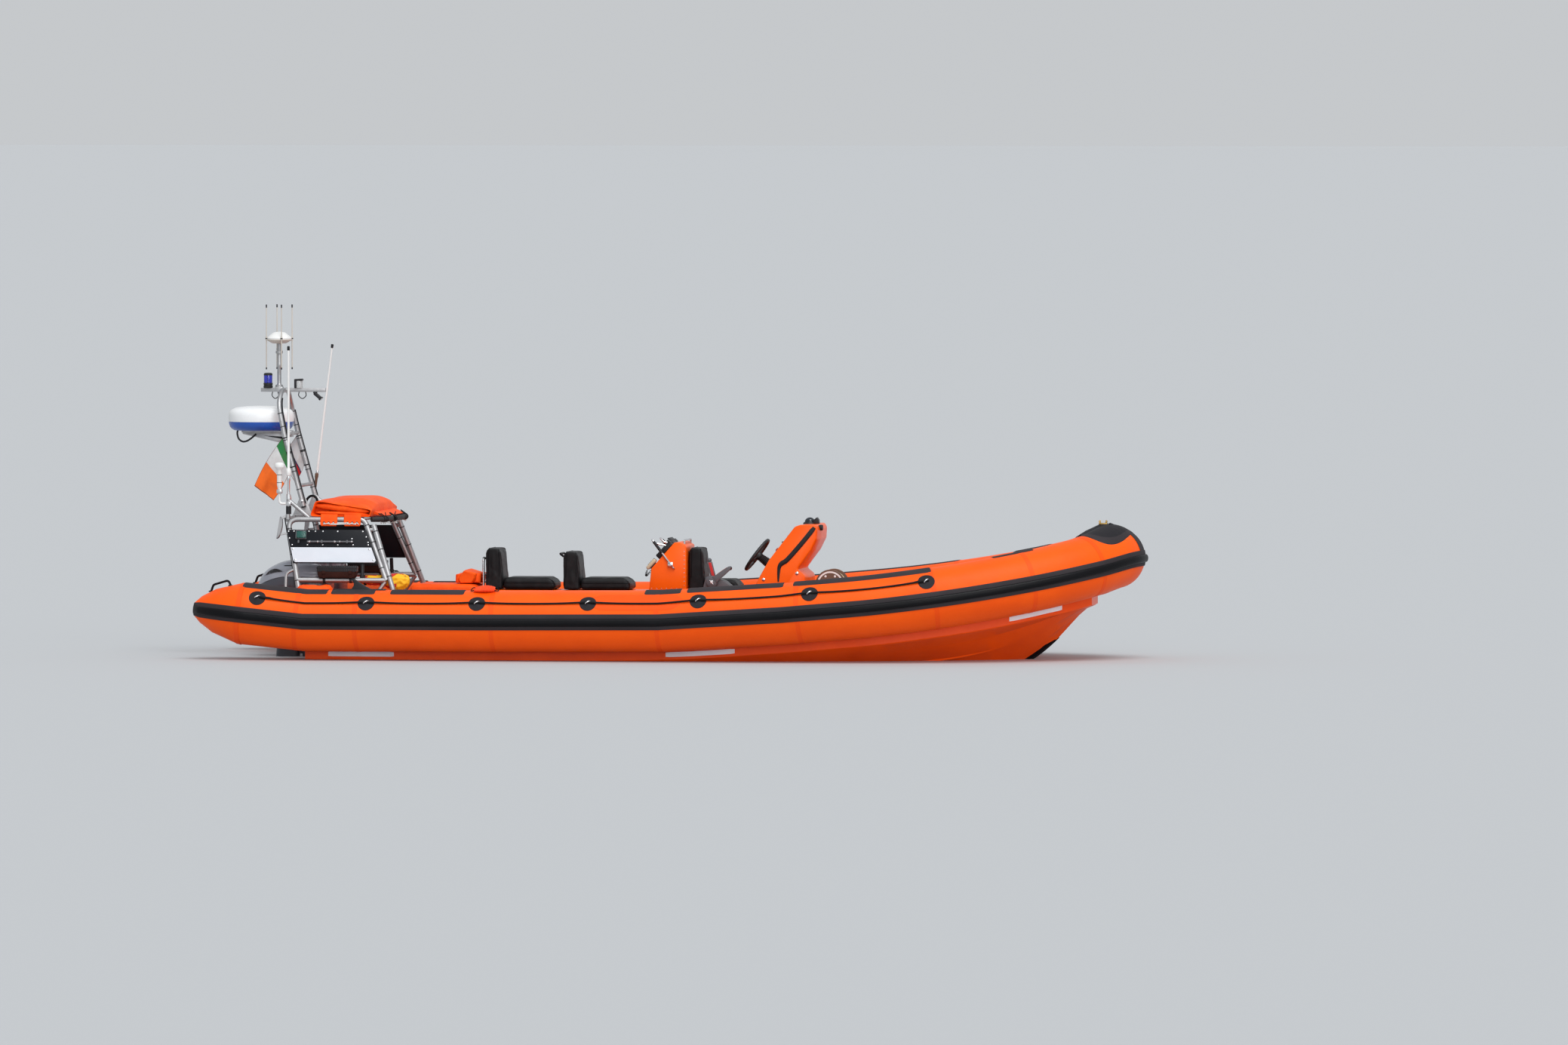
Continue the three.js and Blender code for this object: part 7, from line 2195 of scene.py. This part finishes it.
# Gear stowed on deck
gear = {
    # low and high corner
    "pack": ((-2.430, -0.240, deckTop), (-1.800, 0.240, 0.655)),
    "dryBag": ((-3.330, -1.000, 0.520), (-2.995, -0.846, 0.668)),
    # outline from the side, y where it starts and ends, and the seed of its creases
    "bag": [
        ([(-1.975, 0.657), (-1.990, 0.700), (-1.936, 0.778), (-1.830, 0.744), (-1.836, 0.700),
          (-1.862, 0.657)], -0.200, 0.200, 2.0),
        ([(-2.024, 0.657), (-2.018, 0.738), (-1.972, 0.744), (-1.950, 0.657)], -0.16, 0.17, 8.0),
        ([(-1.880, 0.657), (-1.870, 0.728), (-1.822, 0.752), (-1.790, 0.744), (-1.802, 0.657)],
         -0.13, 0.18, 5.0),
    ],
    "hank": {"x": (-1.672, -1.492), "angle": 76, "spread": 9.5, "rise": 0.040, "rope": 0.0085},
    "roll": {"from": (-2.790, -0.7238, 0.700), "to": (-2.340, -0.7238, 0.700), "radius": 0.047,
             "loose": 0.030},
    "fin": {"base": (-2.968, -2.483), "aft": -2.800, "fore": -2.610, "rise": 0.092},
}


def lump(bm, low, high, square, crease, seed, grain, turns, rows):
    # A stuffed shape that fills a box: square is 1 for round and near 0 for boxy
    low, high = Vector(low), Vector(high)
    middle, half = (low + high) / 2, (high - low) / 2
    power = lambda value: abs(value) ** square * (1 if value > 0 else -1)
    rings = []
    for i in range(rows + 1):
        tilt = pi * (i / rows - 0.5)
        ring = []
        for k in range(turns):
            angle = 2 * pi * k / turns
            wide = max(power(cos(tilt)), 1e-4)
            spot = Vector((power(sin(tilt)), wide * power(cos(angle)), wide * power(sin(angle))))
            at = middle + Vector((spot.x * half.x, spot.y * half.y, spot.z * half.z))
            push = crease * (noise.noise(at * grain + Vector((seed, 0, 0))) - 0.35
                             + 0.5 * noise.noise(at * grain * 3 + Vector((seed, 5, 0))))
            ring.append(at + spot.normalized() * push)
        rings.append(ring)
    sheetOf(bm, rings, closed=True, capped=True)


def ropeHank():
    # Orange line wound in a hank on the tube beside the aft seat, its loops caught by black cord
    bm, cord = bmesh.new(), bmesh.new()
    facts = gear["hank"]
    x0, x1 = facts["x"]
    turns, steps, run = 13, 18, []
    for i in range(turns * steps + 1):
        t = i / (turns * steps)
        fill = sin(pi * min(1, max(0, 0.10 + 0.80 * t))) ** 0.5
        angle = 2 * pi * i / steps
        base = collarAt(x0 + (x1 - x0) * t + 0.010 * sin(angle), starboard)
        around = facts["angle"] + cos(angle) * facts["spread"] * fill
        run.append(base.spot(around, facts["rope"] + facts["rise"] * fill * (0.5 + 0.5 * sin(angle))))
    pipe(bm, run, facts["rope"], 0.0, 2)
    for shift in (-9, 0, 9):                           # the strands the turns are wound on
        line = []
        for i in range(11):
            swell = sin(pi * i / 10)
            base = collarAt(x0 - 0.008 + (x1 - x0 + 0.016) * i / 10, starboard)
            line.append(base.spot(facts["angle"] + shift * swell,
                                  facts["rope"] + facts["rise"] * 0.5 * swell + 0.004))
        pipe(bm, line, facts["rope"], 0.0, 2)
    for at, way in ((x0, -1), (x1, 1)):
        loop = [collarAt(at + way * far, starboard).spot(facts["angle"] + turn, lift) for far, turn, lift in
                ((-0.01, 3, 0.026), (0.012, 6, 0.030), (0.030, 4, 0.018), (0.034, 0, 0.010),
                 (0.020, -3, 0.012), (-0.01, -2, 0.020))]
        pipe(cord, spring(loop, 18), 0.0045, 0.0, 2)
    finishPiece(bm, "ropeHank", "boat", orangeRope, "rope_fibre")
    finishPiece(cord, "hankCord", "boat", blackCord, "rope_fibre")


def stowedGear():
    bm = bmesh.new()
    low, high = gear["pack"]
    lump(bm, low, high, 0.20, 0.010, 3.0, 6.0, 72, 52)
    piece = finishPiece(bm, "deckPack", "boat", orangeCloth, "orange_cloth", ["stowed_pack"], 60)
    bm = bmesh.new()                                   # cloth rolled up, its loose end tucked over aft
    for outline, near, far, seed in gear["bag"]:
        corners = [Vector((x, 0, z)) for x, z in outline]
        edge = bent(corners[-1:] + corners + corners[:1], 0.016, 5)[1:-1]
        rings = []
        for i in range(41):
            t = i / 40
            tuck = 0.16 * max(0, abs(2 * t - 1) - 0.9) / 0.1
            ring = []
            for p in edge:
                x, z = p.x + (-1.925 - p.x) * tuck, p.z + (0.705 - p.z) * tuck
                y = near + (far - near) * t
                push = 0.007 * noise.noise(Vector((x * 14, y * 9, z * 14 + seed)))
                push += 0.006 * (0.4 - abs(noise.noise(Vector((x * 22, y * 20, z * 22 + seed)))))
                ring.append(Vector((x, y, max(z + push, 0.6555))) + Vector((0.6 * push, 0, 0)))
            rings.append(ring)
        sheetOf(bm, rings, closed=True, capped=True)
    piece = finishPiece(bm, "deckBag", "boat", orangeCloth, "orange_cloth", ["stowed_bag"], 40)
    ropeHank()
    bm = bmesh.new()
    low, high = gear["dryBag"]
    lump(bm, low, high, 0.6, 0.014, 20.0, 12.0, 40, 40)
    for vert in bm.verts:                              # lies on the tube
        out = Vector((0, vert.co.y + collar["halfBeam"], vert.co.z - 0.3505))
        if out.length < 0.277:
            vert.co += out.normalized() * (0.277 - out.length)
    finishPiece(bm, "dryBag", "boat", orangeCloth, "orange_cloth", ["dry_bag"], 60)
    bm, red = bmesh.new(), bmesh.new()
    roll = gear["roll"]
    start, stop = Vector(roll["from"]), Vector(roll["to"])
    rings = []
    for i in range(89):
        t = i / 88
        at = start.lerp(stop, t)
        end = (1 - abs(2 * t - 1) ** 9) ** 0.5 * 0.8 + 0.2 if 0 < t < 1 else 0.15
        # it comes undone at the fore end
        loose = roll["loose"] * sin(pi * min(1, max(0, (t - 0.50) / 0.52))) ** 0.6
        ring = []
        for k in range(56):
            angle = 2 * pi * k / 56
            place = Vector((at.x * 13, cos(angle) * 1.3, sin(angle) * 1.3))
            crumple = 1 - abs(noise.noise(place * 1.6)) * 2.1
            fold = 0.86 + 0.16 * crumple + 0.10 * noise.noise(place * 0.7 + Vector((0, 5, 0)))
            reach = roll["radius"] * min(fold, 1.02) * end
            sag = Vector((0, max(0, cos(angle)) + 0.3, sin(angle) - 0.5)) * loose
            ring.append(at + Vector((0, cos(angle), sin(angle))) * reach + sag)
        rings.append(ring)
    sheetOf(bm, rings, closed=True, capped=True)
    for t in (0.10, 0.46):
        at = start.lerp(stop, t)
        lathe(red, [(0.036, -0.013), (0.0465, -0.012), (0.0475, 0), (0.0465, 0.012), (0.036, 0.013)], at,
              (1, 0, 0.3 * cos(9 * t)), 28)
    finishPiece(bm, "clothRoll", "boat", jacketCloth, "orange_cloth", ["cloth_roll"], 60)
    finishPiece(red, "rollStraps", "boat", blackCord, "rope_fibre")


def tubeFins():
    bm, facts, angle = bmesh.new(), gear["fin"], 88
    for hand in (starboard, port):
        collarPatch(bm, *facts["base"], angle - 6, angle + 6, 0.010, hand, 24, 6, 0.02)
        rings = []
        for i in range(17):                            # leading edge swept back, trailing edge hollow
            t = i / 16
            aft, fore = facts["aft"] + 0.026 * sin(pi * t) - 0.004 * t, facts["fore"] - 0.158 * t ** 0.85
            ring = []
            for k in range(20):
                u = 2 * pi * k / 20
                x = (aft + fore) / 2 + max(fore - aft, 0.006) / 2 * cos(u)
                base = collarAt(x, hand).spot(angle, 0.008)
                ring.append(base + Vector((0, 0.0055 * sin(u) * (1 - 0.5 * t), facts["rise"] * t)))
            rings.append(ring)
        sheetOf(bm, rings, closed=True, capped=True)
    finishPiece(bm, "tubeFins", "boat", blackPlastic, "black_plastic", smooth=50)


jacketCloth = cloth("jacketCloth", (0.86, 0.50, 0.010), (0.62, 0.32, 0.008), 0.6)
dyed = jacketCloth.noise(0.085, 2, 0.5, (0.8, 1, 1)).over(0.50, 0.54)
shade = jacketCloth.noise(0.05, 4, 0.6).over(0.60, 0.72)
yellowRed = jacketCloth.mix(dyed, (0.92, 0.50, 0.008), (0.58, 0.018, 0.010))
jacketCloth.set(colour=jacketCloth.mix(shade * 0.5, yellowRed, (0.10, 0.040, 0.012)))


stowedGear()
tubeFins()
print("gear stowed")


floor = bmesh.new()
bmesh.ops.create_grid(floor, x_segments=1, y_segments=1, size=600)
mesh = bpy.data.meshes.new("floor")
floor.to_mesh(mesh)
ground = bpy.data.objects.new("floor", mesh)
bpy.context.collection.objects.link(ground)
paper = Finish("paper", colour=studio["floorColour"], roughness=0.9)
paper.bump(paper.noise(0.5, 4), 0.002)
mesh.materials.append(paper.material)
